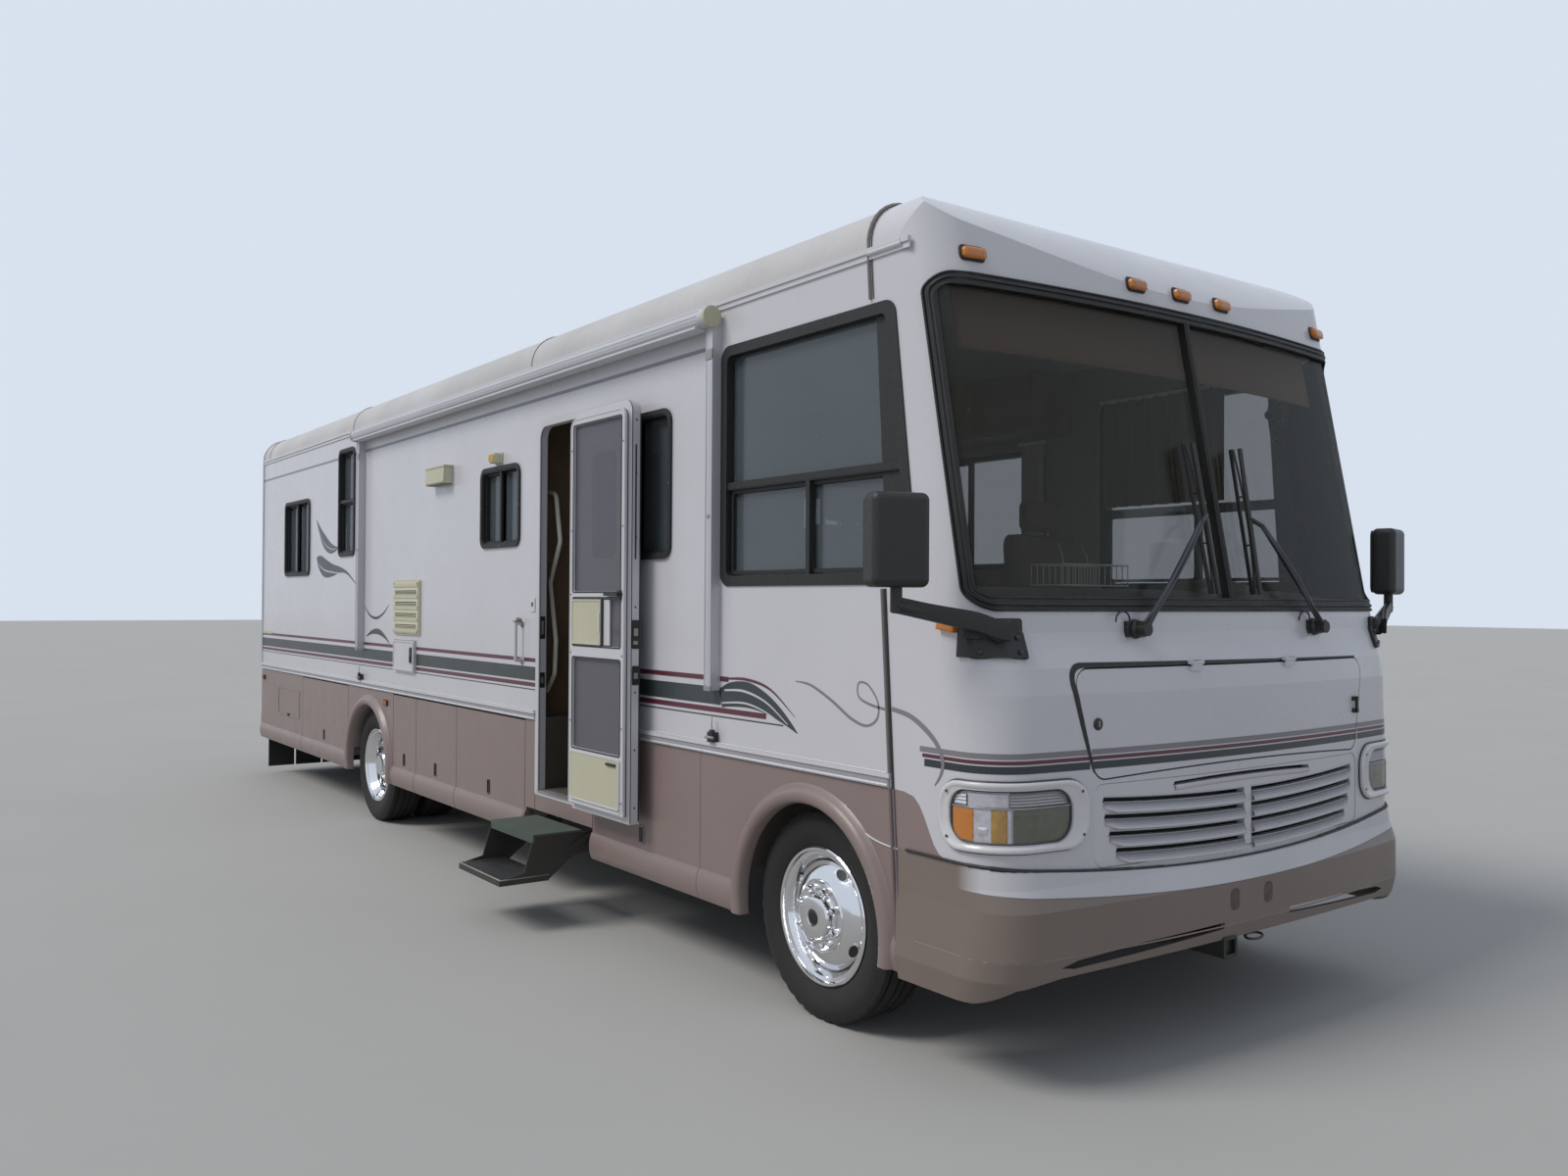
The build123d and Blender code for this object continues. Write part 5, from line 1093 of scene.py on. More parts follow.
def make_belt_details():
    """Grey insert and bright edges of the belt moulding, the utility hatch and the fixed panel's latch."""
    for side, word in SIDES:
        form = Form()
        for rear, ahead in wall_stretches(side, -4.270):
            form.box(side * 1.2775, side * 1.2800, ahead, rear, 1.000, 1.017, 0)
            for z, r in ((0.9925, 0.0062), (1.0250, 0.0066)):
                form.tube([(side * 1.2782, rear, z), (side * 1.2782, ahead, z)], r, 8, 1)
            form.tube([(side * 1.2835, rear, 1.0385), (side * 1.2835, ahead, 1.0385)], 0.003, 6, 1)
        form.make("belt_insert_" + word, "root", [belt_grey, belt_bright], bevel=0.0006)
        hatch = Form()
        y0, y1, z0, z1 = 3.51, 4.21, 0.600, 0.850
        hatch.border((y0, y1, z0, z1), 0.012, (0.02, 0.014), "x", side * 1.2690, side * 1.2735)
        hatch.box(side * 1.270, side * 1.280, (y0 + y1) / 2 - 0.03, (y0 + y1) / 2 + 0.03, z0 + 0.006,
                  z0 + 0.026, 1)
        hatch.make("utility_hatch_" + word, "root", [skirt_tan, black_plastic], bevel=0.001)
        if side < 0:
            fixed = Form()
            fixed.box(-1.2755, -1.2690, -2.50, -2.46, 0.500, 0.572, 1)
            fixed.border((-2.508, -2.452, 0.492, 0.580), 0.01, (0.010, 0.006), "x", -1.2690, -1.2745, 0)
            fixed.make("fixed_panel_latch", "root", [skirt_tan, black_plastic], bevel=0.001)


def make_latches():
    """A recessed latch on every luggage door."""
    for name, side, y0, y1 in LUGGAGE_DOORS:
        middle = (y0 + y1) / 2
        latch = Form()
        latch.border((middle - 0.021, middle + 0.021, 0.492, 0.578), 0.006, (0.009, 0.005), "x",
                     side * 1.2695, side * 1.2728)
        latch.box(side * 1.2645, side * 1.2675, middle - 0.014, middle + 0.014, 0.502, 0.568)
        latch.box(side * 1.2670, side * 1.2715, middle - 0.006, middle + 0.006, 0.508, 0.540)
        latch.make(name + "_latch", name, black_plastic, bevel=0.0008)


def make_awning_details():
    """Channels, feet and knobs of the awning's arms, and the ends and ribs of its roll."""
    arms = Form()
    for y in (-3.126, 1.776):
        arms.box(-1.3185, -1.3145, y - 0.0265, y + 0.0265, 1.268, 2.84, 0)
        for edge in (-1, 1):
            arms.box(-1.3215, -1.3175, y + edge * 0.0240 - 0.0025, y + edge * 0.0240 + 0.0025, 1.268, 2.84, 0)
        arms.box(-1.3200, -1.3180, y - 0.008, y + 0.008, 1.290, 2.70, 0)
        arms.box(-1.3225, -1.3165, y - 0.0265, y + 0.0265, 1.262, 1.285, 3)
        arms.turned([(-1.3235, 0.009), (-1.3205, 0.011)], (0.0, y, 2.02), "x", 16, 3)
        arms.box(-1.3230, -1.3165, y - 0.0265, y + 0.0265, 2.70, 2.745, 3)
        arms.box(-1.3000, -1.2705, y - 0.016, y + 0.030, 1.038, 1.082, 2)
        arms.box(-1.3080, -1.2900, y - 0.020, y + 0.002, 1.052, 1.094, 2)
        arms.tube([(-1.2990, y - 0.010, 1.090), (-1.2990, y - 0.004, 1.122), (-1.2930, y + 0.002, 1.150)],
                  0.0035, 6, 3)
        arms.turned([(y - 0.022, 0.007), (y + 0.034, 0.007)], (-1.3040, 0.0, 1.060), "y", 12, 3)
    arms.make("awning_arm_details", "root", [arm_silver, steel, black_plastic, steel], bevel=0.001)
    roll = Form()
    roll_x, roll_z = -1.330, 2.880
    for near, far in ((-3.168, -3.141), (1.791, 1.818)):
        roll.turned([(near, 0.030), (near + 0.002, 0.047), (far - 0.002, 0.047), (far, 0.030)],
                    (roll_x, 0.0, roll_z), "y", 28, 1)
    for i in range(9):
        a = radians(20 + 38 * i)
        r = 0.0428
        roll.tube([(roll_x + r * cos(a), y, roll_z + r * sin(a)) for y in (-3.095, 1.745)], 0.0022, 6)
    roll.box(-1.372, -1.300, -3.09, 1.74, 2.832, 2.842, 0)
    roll.make("awning_roll_details", "root", [white_moulding, cream], bevel=0.001)


def make_drip_rail_ends():
    """Front ends of the drip rails, and the short cream trims on the rear quarters."""
    rail = Form()
    for side in (-1, 1):
        path = [(side * 1.2790, y, 2.936) for y in (-4.150, -4.24, -4.335)]
        rail.tube(path, 0.012, 8, 0, flat=0.8)
        rail.box(side * 1.270, side * 1.288, -4.330, -4.145, 2.940, 2.956, 0)
        rail.box(side * 1.270, side * 1.2735, 4.46, 4.80, 1.318, 1.345, 1)
    rail.make("drip_rail_ends", "root", [white_moulding, cream], bevel=0.0015)


def make_vents():
    """Louvres, edge frame and screws of the fridge vent."""
    form = Form()
    y0, y1, z0, z1 = 0.550, 1.040, 1.415, 1.770
    form.border((y0 - 0.012, y1 + 0.012, z0 - 0.012, z1 + 0.012), 0.016, (0.012, 0.008),
                "x", -1.2702, -1.2800)
    for k in range(4):
        z = 1.450 + 0.078 * k
        form.box(-1.2785, -1.2775, 0.580, 1.010, z, z + 0.026, 1)
        for j in range(3):
            low = z + 0.001 + 0.0085 * j
            form.add([(-1.2795, 0.582, low), (-1.2795, 1.008, low), (-1.2900, 1.008, low - 0.004),
                      (-1.2900, 0.582, low - 0.004), (-1.2900, 0.582, low - 0.001),
                      (-1.2900, 1.008, low - 0.001), (-1.2795, 1.008, low + 0.003),
                      (-1.2795, 0.582, low + 0.003)],
                     [(0, 1, 2, 3), (3, 2, 5, 4), (4, 5, 6, 7), (0, 3, 4, 7), (1, 6, 5, 2)], 0)
    for k in range(5):
        z = 1.426 + 0.078 * k
        form.box(-1.2925, -1.2880, y0 + 0.006, y1 - 0.006, z - 0.004, z + 0.020, 0)
    for z in (z0 + 0.012, z1 - 0.012):
        for y in (y0 + 0.012, y1 - 0.012):
            form.turned([(-1.2945, 0.002), (-1.2940, 0.006), (-1.2880, 0.007)], (0.0, y, z), "x", 10, 2)
    form.make("louvre_details", "root", [cream, black_rubber, steel], bevel=0.0008)


def make_range_vent_details():
    """Lid, hanging flap and screen of the range vent."""
    hood = Form()
    hood.box(-1.3345, -1.2700, -0.030, 0.305, 2.496, 2.508, 0)
    hood.add([(-1.3305, -0.024, 2.500), (-1.3305, 0.299, 2.500), (-1.3360, 0.299, 2.400),
              (-1.3360, -0.024, 2.400), (-1.3325, -0.024, 2.400), (-1.3325, 0.299, 2.400),
              (-1.3275, 0.299, 2.500), (-1.3275, -0.024, 2.500)],
             [(0, 1, 2, 3), (3, 2, 5, 4), (4, 5, 6, 7), (0, 3, 4, 7), (1, 6, 5, 2), (0, 7, 6, 1)], 0)
    hood.box(-1.3320, -1.2730, -0.018, 0.293, 2.3905, 2.3930, 1)
    for k in range(7):
        hood.box(-1.3300, -1.2760, 0.010 + 0.042 * k, 0.016 + 0.042 * k, 2.3875, 2.3925, 0)
    hood.make("range_vent_details", "root", [cream, black_rubber], bevel=0.0008)


def make_outlet_door_details():
    """Frame, latch and hinge edge of the outlet door."""
    door = Form()
    door.border((0.628, 1.027, 1.158, 1.362), 0.01, (0.012, 0.010), "x", -1.2895, -1.2945, 0)
    door.box(-1.2990, -1.2890, 0.655, 0.685, 1.215, 1.320, 1)
    door.box(-1.3020, -1.2980, 0.661, 0.679, 1.225, 1.260, 1)
    door.box(-1.2960, -1.2890, 0.640, 1.015, 1.368, 1.376, 0)
    door.make("outlet_door_details", "root", [white_moulding, black_plastic], bevel=0.001)


def make_porch_lamp_details():
    """Base and ribbed lens of the porch lamp."""
    lamp = Form()
    lamp.ring(rounded(-0.812, -0.708, 2.448, 2.518, 0.01), rounded(-0.800, -0.720, 2.456, 2.509, 0.008), "x",
              -1.2702, -1.2790, 0)
    lamp.prism(rounded(-0.796, -0.724, 2.459, 2.506, 0.014), "x", -1.3185, -1.3260, 1)
    for k in range(5):
        y = -0.786 + 0.013 * k
        lamp.box(-1.3278, -1.3255, y, y + 0.004, 2.464, 2.501, 1)
    lamp.make("porch_lamp_details", "root", [cream, yellow], bevel=0.0012)


def make_switch_plate():
    """Switch plate behind the doorway, and the grab rail's upper bend and feet."""
    plate = Form()
    plate.prism(rounded(-1.272, -1.212, 1.585, 1.665, 0.008), "x", -1.2705, -1.2755, 0)
    plate.box(-1.2785, -1.2750, -1.250, -1.234, 1.615, 1.637, 1)
    plate.tube(smooth_path([(-1.275, -1.100, 1.530), (-1.300, -1.100, 1.540), (-1.318, -1.100, 1.525)], 5),
               0.012, 10, 2)
    for z in (1.308, 1.517):
        plate.turned([(-1.2765, 0.020), (-1.2740, 0.024), (-1.2700, 0.026)], (0.0, -1.100, z), "x", 20, 2)
    plate.make("switch_plate", "root", [white_moulding, black_plastic, steel], bevel=0.001)


# Entry door

def make_door_details():
    """Frames, slider, kick panel, handle and screws of the screen door."""
    form = Form()
    y0, y1 = -2.545, -1.977
    x = SCREEN_X
    for low, high in ((0.920, 1.365), (1.430, 1.660), (1.695, 2.520)):
        form.border((y0 + 0.030, y1 - 0.030, low - 0.008, high + 0.008), 0.007, (0.016, 0.012), "x",
                    x - 0.0018, x + 0.001, 1)
    form.border((y0 + 0.003, y1 - 0.003, 0.644, 2.556), 0.005, (0.050, 0.046), "x", x - 0.0025, x + 0.001, 0)
    form.prism(rounded(y0 + 0.034, y1 - 0.034, 0.668, 0.900, 0.012), "x", x - 0.0065, x + 0.001, 2)
    form.border((y0 + 0.030, y1 - 0.030, 0.664, 0.904), 0.008, (0.014, 0.010), "x", x - 0.0085, x, 0)
    form.box(x - 0.0150, x - 0.0060, y0 + 0.060, y0 + 0.150, 0.868, 0.880, 3)
    form.prism(rounded(y1 - 0.345, y1 - 0.036, 1.434, 1.656, 0.010), "x", x - 0.0050, x + 0.004, 2)
    form.border((y1 - 0.345, y1 - 0.036, 1.434, 1.656), 0.01, (0.010, 0.008), "x", x - 0.0080, x - 0.004, 2)
    form.box(x - 0.0060, x + 0.003, y1 - 0.357, y1 - 0.345, 1.432, 1.658, 3)
    form.box(x - 0.0120, x - 0.004, y1 - 0.338, y1 - 0.326, 1.500, 1.590, 0)
    form.box(x - 0.0240, x - 0.001, y0 + 0.030, y0 + 0.165, 1.673, 1.689, 3)
    form.prism(rounded(y0 + 0.022, y0 + 0.050, 1.655, 1.700, 0.008), "x", x - 0.012, x, 3)
    for z in (0.70, 1.05, 1.39, 1.68, 2.0, 2.40):
        for y in (y0 + 0.018, y1 - 0.018):
            form.turned([(x - 0.0022, 0.0015), (x - 0.0018, 0.0045), (x, 0.005)], (0.0, y, z), "x", 8, 1)
    form.make("screen_door_trim", "entry_door", [white_moulding, black_rubber, cream, black_plastic],
              bevel=0.0008)


def make_door_leaf_details():
    """Latches, seals, window frames and handles of the entry door's own leaf."""
    leaf = Form()
    edge = DOOR_SPAN[0]
    leaf.prism(rounded(-1.374, -1.336, 1.425, 1.560, 0.006), "y", edge + 0.001, edge - 0.0030, 3)
    leaf.box(-1.366, -1.346, edge - 0.010, edge - 0.002, 1.485, 1.520, 0)
    leaf.box(-1.368, -1.344, edge - 0.0055, edge - 0.002, 1.445, 1.462, 0)
    leaf.prism(rounded(-1.372, -1.338, 1.255, 1.345, 0.006), "y", edge + 0.001, edge - 0.0030, 3)
    leaf.box(-1.365, -1.347, edge - 0.012, edge - 0.002, 1.285, 1.312, 0)
    for z in (0.68, 0.95, 1.22, 1.62, 1.95, 2.25, 2.50):
        leaf.turned([(edge - 0.0022, 0.0015), (edge - 0.0018, 0.0042), (edge, 0.005)], (-1.355, 0.0, z), "y",
                    8, 3)
    for x, limits, radius in ((-1.3335, (-2.5495, -1.9705, 0.6120, 2.5945), 0.0065),
                              (-1.3765, (-2.553, -1.967, 0.6075, 2.598), 0.0035)):
        leaf.bead([(x, y, z) for y, z in round_topped(*limits, 0.062)], radius, 6, 1)
    window = (-2.425, -2.165, 1.850, 2.380)
    for face, wide in ((DOOR_INNER_X, -1), (DOOR_SKIN_X, 1)):
        leaf.border(grown(window, 0.030), 0.036, (0.06, 0.045), "x",
                    face - wide * 0.001, face + wide * 0.006, 2)
    leaf.prism(rounded(-2.515, -2.405, 1.385, 1.565, 0.014), "x", DOOR_SKIN_X - 0.001, DOOR_SKIN_X + 0.007, 3)
    leaf.box(DOOR_SKIN_X + 0.006, DOOR_SKIN_X + 0.016, -2.500, -2.420, 1.475, 1.520, 3)
    leaf.turned([(DOOR_SKIN_X + 0.006, 0.011), (DOOR_SKIN_X + 0.012, 0.010), (DOOR_SKIN_X + 0.0125, 0.003)],
                (0.0, -2.460, 1.425), "x", 16, 0)
    leaf.prism(rounded(-2.520, -2.400, 1.395, 1.560, 0.014), "x", DOOR_INNER_X + 0.001,
               DOOR_INNER_X - 0.008, 2)
    leaf.box(DOOR_INNER_X - 0.016, DOOR_INNER_X - 0.006, -2.505, -2.425, 1.490, 1.515, 3)
    leaf.make("entry_door_trim", "entry_door", [steel, black_rubber, cream, black_plastic], bevel=0.0008)


def make_doorway():
    """Seal, flange with its screws, strike plates and ribbed sill strip of the doorway."""
    form = Form()
    y0, y1 = DOORWAY
    outline = round_topped(y0 + 0.001, y1 - 0.001, 0.598, 2.605, 0.069)
    form.bead([(-1.2680, y, z) for y, z in outline], 0.0035, 6, 4)
    for z0, z1 in ((1.435, 1.560), (1.165, 1.250)):
        form.prism(rounded(-1.268, -1.236, z0, z1, 0.005), "y", y1 + 0.001, y1 - 0.0030, 3)
        form.box(-1.258, -1.246, y1 - 0.0040, y1 - 0.002, z0 + 0.025, z1 - 0.025, 0)
    form.box(-1.280, -1.225, y0 + 0.004, y1 - 0.004, 0.5955, 0.6010, 0)
    for k in range(5):
        form.box(-1.276 + 0.010 * k, -1.272 + 0.010 * k, y0 + 0.01, y1 - 0.01, 0.6005, 0.6025, 0)
    form.ring(round_topped(y0 - 0.028, y1 + 0.040, 0.575, 2.640, 0.085),
              round_topped(y0 + 0.0005, y1 - 0.0005, 0.600, 2.606, 0.069), "x", -1.2700, -1.2714, 5)
    for z in (0.75, 1.05, 1.35, 1.70, 2.05, 2.40):
        for y in (y0 - 0.020, y1 + 0.020):
            form.turned([(-1.2719, 0.0015), (-1.2716, 0.0042), (-1.2705, 0.005)], (0.0, y, z), "x", 8, 0)
    form.make("doorway_trim", "root", [steel, black_rubber, cream, black_plastic, mauve, door_grey],
              bevel=0.0008)


def make_stepwell_mats():
    """Carpet on the stepwell's two levels."""
    mats = Form()
    mats.box(-1.224, -0.990, -1.935, -1.328, 0.597, 0.606)
    mats.box(-0.976, -0.740, -1.935, -1.328, 0.801, 0.810)
    mats.make("stepwell_mats", "root", carpet, bevel=0.003)


def make_step_coverings():
    """Carpet, ribbed rubber and bright edges on the folding step."""
    step = Form()
    step.box(-1.560, -1.296, STEP_Y - 0.266, STEP_Y + 0.266, 0.4635, 0.4745, 0)
    step.box(-1.5640, -1.5540, STEP_Y - 0.266, STEP_Y + 0.266, 0.4300, 0.4740, 0)
    step.box(-1.735, -1.482, STEP_Y - 0.250, STEP_Y + 0.250, 0.2640, 0.2690, 1)
    for k in range(22):
        x = -1.728 + 0.0112 * k
        step.box(x, x + 0.005, STEP_Y - 0.245, STEP_Y + 0.245, 0.2685, 0.2712, 1)
    for y in (STEP_Y - 0.262, STEP_Y + 0.262):
        step.tube([(-1.7355, y, 0.2665), (-1.475, y, 0.2665)], 0.0042, 6, 2)
    step.tube([(-1.7355, STEP_Y - 0.262, 0.2665), (-1.7355, STEP_Y + 0.262, 0.2665)], 0.0042, 6, 2)
    step.make("step_coverings", "step_treads", [green_carpet, black_plastic, steel], bevel=0.002)


# Nose fittings

def hood_outline(inset, steps=8):
    """The service panel's outline on the nose as (x, z), from its left foot corner round."""
    foot, low = HOOD_FOOT[0] - inset, HOOD_FOOT[1] + inset
    head, high = HOOD_HEAD[0] - inset, HOOD_HEAD[1] - inset
    radius = 0.060 - inset
    points = []
    for (x, z), (ax, az), (bx, bz) in (
            ((foot, low), (-1, 0.05), (0.238, 0.971)), ((head, high), (-0.238, -0.971), (-1, 0)),
            ((-head, high), (1, 0), (0.238, -0.971)), ((-foot, low), (-0.238, 0.971), (1, 0.05))):
        start = (x + ax * radius, z + az * radius)
        end = (x + bx * radius, z + bz * radius)
        for i in range(steps + 1):
            t = i / steps
            u = 1 - t
            points.append((u * u * start[0] + 2 * u * t * x + t * t * end[0],
                           u * u * start[1] + 2 * u * t * z + t * t * end[1]))
    last = (foot - radius, low)
    for i in range(1, 16):
        x = -last[0] + 2 * last[0] * i / 16
        points.append((x, low + HOOD_RISE * (1 - (x / foot) ** 2)))
    return points


def on_nose(points, out):
    """Front-view points (x, z) put on the nose."""
    return [nose_at(x, z, out) for x, z in points]


def lip_z(run):
    """The height of the nose's lower edge, run metres round from its middle."""
    point, _ = nose(run, 0.74)
    wide = min(1.0, abs(point[0]) / HALF)
    return LIP_MIDDLE + (LIP_SIDE - LIP_MIDDLE) * wide ** 2


def make_hood_details():
    """Dark gap round the service panel, and a dark band beside it along its head and right edge, painted as
    the shadow of the panel's edge.
    """
    gap = Form()
    outline = on_nose(hood_outline(0.003), -0.004)
    gap.bead(outline, 0.0036, 6, 0)
    edge, wide = hood_outline(0.0005), hood_outline(-0.036)
    # The head's left corner ends at 17, its right corner is 18 to 26, the right foot begins at 27
    places = list(range(17, 30))
    # Width of the dark band at each place, as a share of the way out to 36 mm outside the panel: painted
    # shadow of the panel's edge, widest at its right head corner
    shares = [0.16, 0.50] + [0.50 + 0.035 * k for k in range(1, 9)] + [0.16, 0.13, 0.12]
    rows = []
    for k in range(len(places) - 1):
        count = 40 if k == 0 else (16 if places[k] == 26 else 2)
        for i in range(count + (k == len(places) - 2)):
            t = i / count
            share = shares[k] + (shares[k + 1] - shares[k]) * t
            (x, z), (far_x, far_z) = ([a + (b - a) * t for a, b in zip(line[places[k]], line[places[k + 1]])]
                                      for line in (edge, wide))
            rows.append([nose_at(x, z, 0.0016),
                         nose_at(x + (far_x - x) * share, z + (far_z - z) * share, 0.0016)])
    gap.grid(rows)
    gap.make("hood_gap_and_shadow", "root", black_rubber, smooth=50)


def make_hood_locks():
    """Round lock and small handle of the service panel."""
    form = Form()
    point, _ = nose(-0.815, 1.235)
    form.turned([(point[1] + 0.002, 0.022), (point[1] - 0.004, 0.021), (point[1] - 0.006, 0.015),
                 (point[1] - 0.0055, 0.004)], (point[0], 0.0, 1.235), "y", 24, 0)
    form.box(point[0] - 0.003, point[0] + 0.003, point[1] - 0.0075, point[1] - 0.004, 1.225, 1.245, 1)
    point, _ = nose(0.835, 1.235)
    for z in (1.205, 1.255):
        form.box(point[0] - 0.020, point[0] + 0.020, point[1] - 0.012, point[1] + 0.004,
                 z - 0.009, z + 0.009, 0)
    form.box(point[0] - 0.006, point[0] + 0.006, point[1] - 0.018, point[1] - 0.008, 1.195, 1.265, 0)
    form.make("hood_locks", "hood_panel", [black_plastic, steel, chrome], bevel=0.0012)


def make_grille_details():
    """A dark backing, and the slats' rounded lips, their faces banded in greys that darken towards the slot
    above as painted shade.
    """
    back = Form()
    behind = [nose_at(x, 0.9, -0.060) for x in spread(-0.80, 0.80, 16)]
    back.grid([[(x, y, z) for z in (0.735, 1.030)] for x, y, _ in behind])
    back.make("grille_backing", "root", black_plastic)
    lips = Form()
    # Half width, height in the middle and at the end, and opening of each slot
    for half, middle, end, tall in ((0.735, 0.771, 0.794, 0.022), (0.768, 0.830, 0.854, 0.022),
                                    (0.790, 0.889, 0.915, 0.022), (0.797, 0.948, 0.974, 0.022)):
        for side, _ in SIDES:
            slot = [(x, middle + (end - middle) * (x / half) ** 2)
                    for x in spread(side * 0.024, side * (half - 0.006), 14)]
            rows = []
            for x, z in slot:
                fade = min(1.0, (half - abs(x)) / 0.05)
                top, low = z - tall / 2 + 0.001, z - tall / 2 - 0.034 * (0.5 + 0.5 * fade)
                rows.append([nose_at(x, top + (low - top) * share, out) for share, out in (
                    (0.0, -0.016), (0.0, 0.0005), (0.16, 0.0015), (0.34, 0.0040 * fade),
                    (0.52, 0.0075 * fade), (0.72, 0.0110 * fade), (0.94, 0.0125 * fade), (1.0, -0.0005))])
            # Bands from the slot down: white inner face, the four greys from darkest to lightest as painted
            # shade of the slat above, then white
            for k, mark in enumerate((0, 4, 3, 2, 1, 0, 0)):
                lips.grid([row[k:k + 2] for row in rows], mark)
            lips.grid([[nose_at(x, z + tall / 2 + rise, out) for rise, out in (
                (0.001, 0.0005), (-0.002, -0.002), (-0.006, -0.012), (-0.007, -0.030))] for x, z in slot])
    half, middle, end = 0.440, 1.012, 1.003
    rows = []
    for x in spread(0.01 - half, half - 0.01, 20):
        z = middle + (end - middle) * (x / half) ** 2 - 0.007
        rows.append([nose_at(x, z - drop, out) for drop, out in (
            (0.0, -0.012), (0.0, 0.001), (0.004, 0.006), (0.012, 0.003), (0.018, -0.0005))])
    lips.grid(rows)
    lips.make("grille_lips", "root", [white_moulding] + painted_slat_shades, smooth=50, thick=0.0012)


def lamp_limits(limits):
    """Inner run, outer run and both heights of an outline of the headlamp."""
    return nose_run(limits[0]), side_run(limits[1]), *limits[2:]


def lamp_loop(side, limits, grow, radius, out):
    """A round-cornered loop round one headlamp."""
    outline = fine(rounded(*grown(limits, grow), radius, 8), 8)
    return [nose(side * run, z, out)[0] for run, z in outline]


def make_lamp_rim(side, word):
    """The domed rim of one headlamp, down into its pocket."""
    lip = [(0.000, 0.001), (0.001, 0.014), (-0.003, 0.0185), (-0.010, 0.0195), (-0.016, 0.017),
           (-0.020, 0.0135)]
    pocket = [(0.007, 0.0135), (0.002, 0.011), (-0.001, 0.003), (-0.001, -0.010)]
    loops = [lamp_loop(side, lamp_limits(LAMP_RIM), grow, 0.094 + grow * 0.7, out) for grow, out in lip]
    loops += [lamp_loop(side, lamp_limits(LAMP), grow, 0.074, out) for grow, out in pocket]
    form = Form()
    form.grid(loops, close=True)
    form.make("lamp_rim_" + word, "root", cap_plain, smooth=50)


def make_lamp_outline(side, word):
    """A dark line painted as shadow round the outer edge of one headlamp's rim, a dark line along its inner
    edge, and its four screws.
    """
    rim = lamp_limits(LAMP_RIM)
    dark = Form()
    # Painted shadow just outside the rim
    dark.bead(lamp_loop(side, rim, 0.0030, 0.097, 0.0025), 0.0034)
    dark.bead(lamp_loop(side, lamp_limits(LAMP), -0.002, 0.072, 0.003), 0.0035)
    for run, z in ((rim[0] + 0.035, rim[3] - 0.040), (rim[0] + 0.030, rim[2] + 0.045),
                   (rim[1] - 0.045, rim[3] - 0.040), (rim[1] - 0.045, rim[2] + 0.040)):
        centre, out = nose(side * run, z, 0.0195)
        dark.disc(centre, (*out, 0.0), 0.0052, 0.0016, 10)
    dark.make("lamp_shadow_outline_" + word, "root", lamp_shadow_and_screws, smooth=40)


def make_lamp_reflectors(side, word):
    """Ribbed glass, reflectors, amber quarter and small lamps of one headlamp."""
    inner, outer, low, high = lamp_limits(LAMP)
    low, high, band = low + 0.006, high - 0.006, high - 0.060
    parts = Form()

    def patch(share0, share1, z0, z1, mark, out, across, up, wave=0.0, bulge=0.0):
        runs = spread(inner + (outer - inner) * share0, inner + (outer - inner) * share1, across)
        rows = []
        for i, run in enumerate(runs):
            row = []
            for j, z in enumerate(spread(z0, z1, up)):
                swell = bulge * sin(pi * i / across) * sin(pi * j / up)
                ripple = wave * (1 if j % 2 else -1)
                row.append(nose(side * run, z, out + swell + ripple)[0])
            rows.append(row)
        parts.grid(rows, mark)

    patch(0.03, 0.510, low, band - 0.003, 0, 0.0000, 14, 6, bulge=0.003)
    patch(0.520, 0.550, low, band - 0.003, 5, 0.0010, 4, 4)
    patch(0.553, 0.665, low, band - 0.003, 4, 0.0005, 8, 6, bulge=0.004)
    patch(0.665, 0.795, low, band - 0.003, 5, 0.0005, 8, 10, wave=0.0008)
    patch(0.690, 0.765, low + 0.028, low + 0.052, 1, 0.0022, 4, 4, bulge=0.002)
    patch(0.795, 0.975, low + 0.004, band - 0.003, 3, 0.0025, 10, 6, wave=0.0008)
    patch(0.040, 0.530, band + 0.003, high, 2, 0.0005, 30, 10, wave=0.0016)
    patch(0.545, 0.835, band + 0.003, high - 0.006, 5, 0.0010, 16, 6, wave=0.0010)
    patch(0.850, 0.960, band + 0.005, high - 0.012, 1, 0.0015, 8, 6, wave=0.0016)
    finishes = [lamp_glass, chrome, lamp_back, amber, lamp_gold, lamp_pale]
    parts.make("lamp_reflectors_" + word, "root", finishes, smooth=30)


def make_lamp_cover(side, word):
    """The clear domed cover of one headlamp."""
    form = Form()
    form.shell([lamp_loop(side, lamp_limits(LAMP), -inset, max(0.004, 0.072 - inset),
                          0.0045 + 0.006 * (inset / 0.08))
                for inset in (0.003, 0.012, 0.030, 0.055, 0.080)])
    form.make("lamp_cover_" + word, "root", lens_clear, smooth=60)


def make_lamp_dividers(side, word):
    """The bar across one headlamp and the upright between its reflectors."""
    inner, outer, low, high = lamp_limits(LAMP)
    band = high - 0.060
    split = inner + (outer - inner) * 0.515
    bars = Form()
    bars.tube([nose(side * run, band, 0.003)[0] for run in spread(inner + 0.008, outer - 0.008, 24)],
              0.0028, 6)
    bars.tube([nose(side * split, z, 0.003)[0] for z in spread(low + 0.006, band - 0.002, 6)], 0.0024, 6)
    bars.make("lamp_dividers_" + word, "root", lamp_back, smooth=60)


def make_head_lamps():
    """Both headlamps, part by part."""
    for side, word in SIDES:
        for make_part in (make_lamp_rim, make_lamp_outline, make_lamp_reflectors, make_lamp_cover,
                          make_lamp_dividers):
            make_part(side, word)


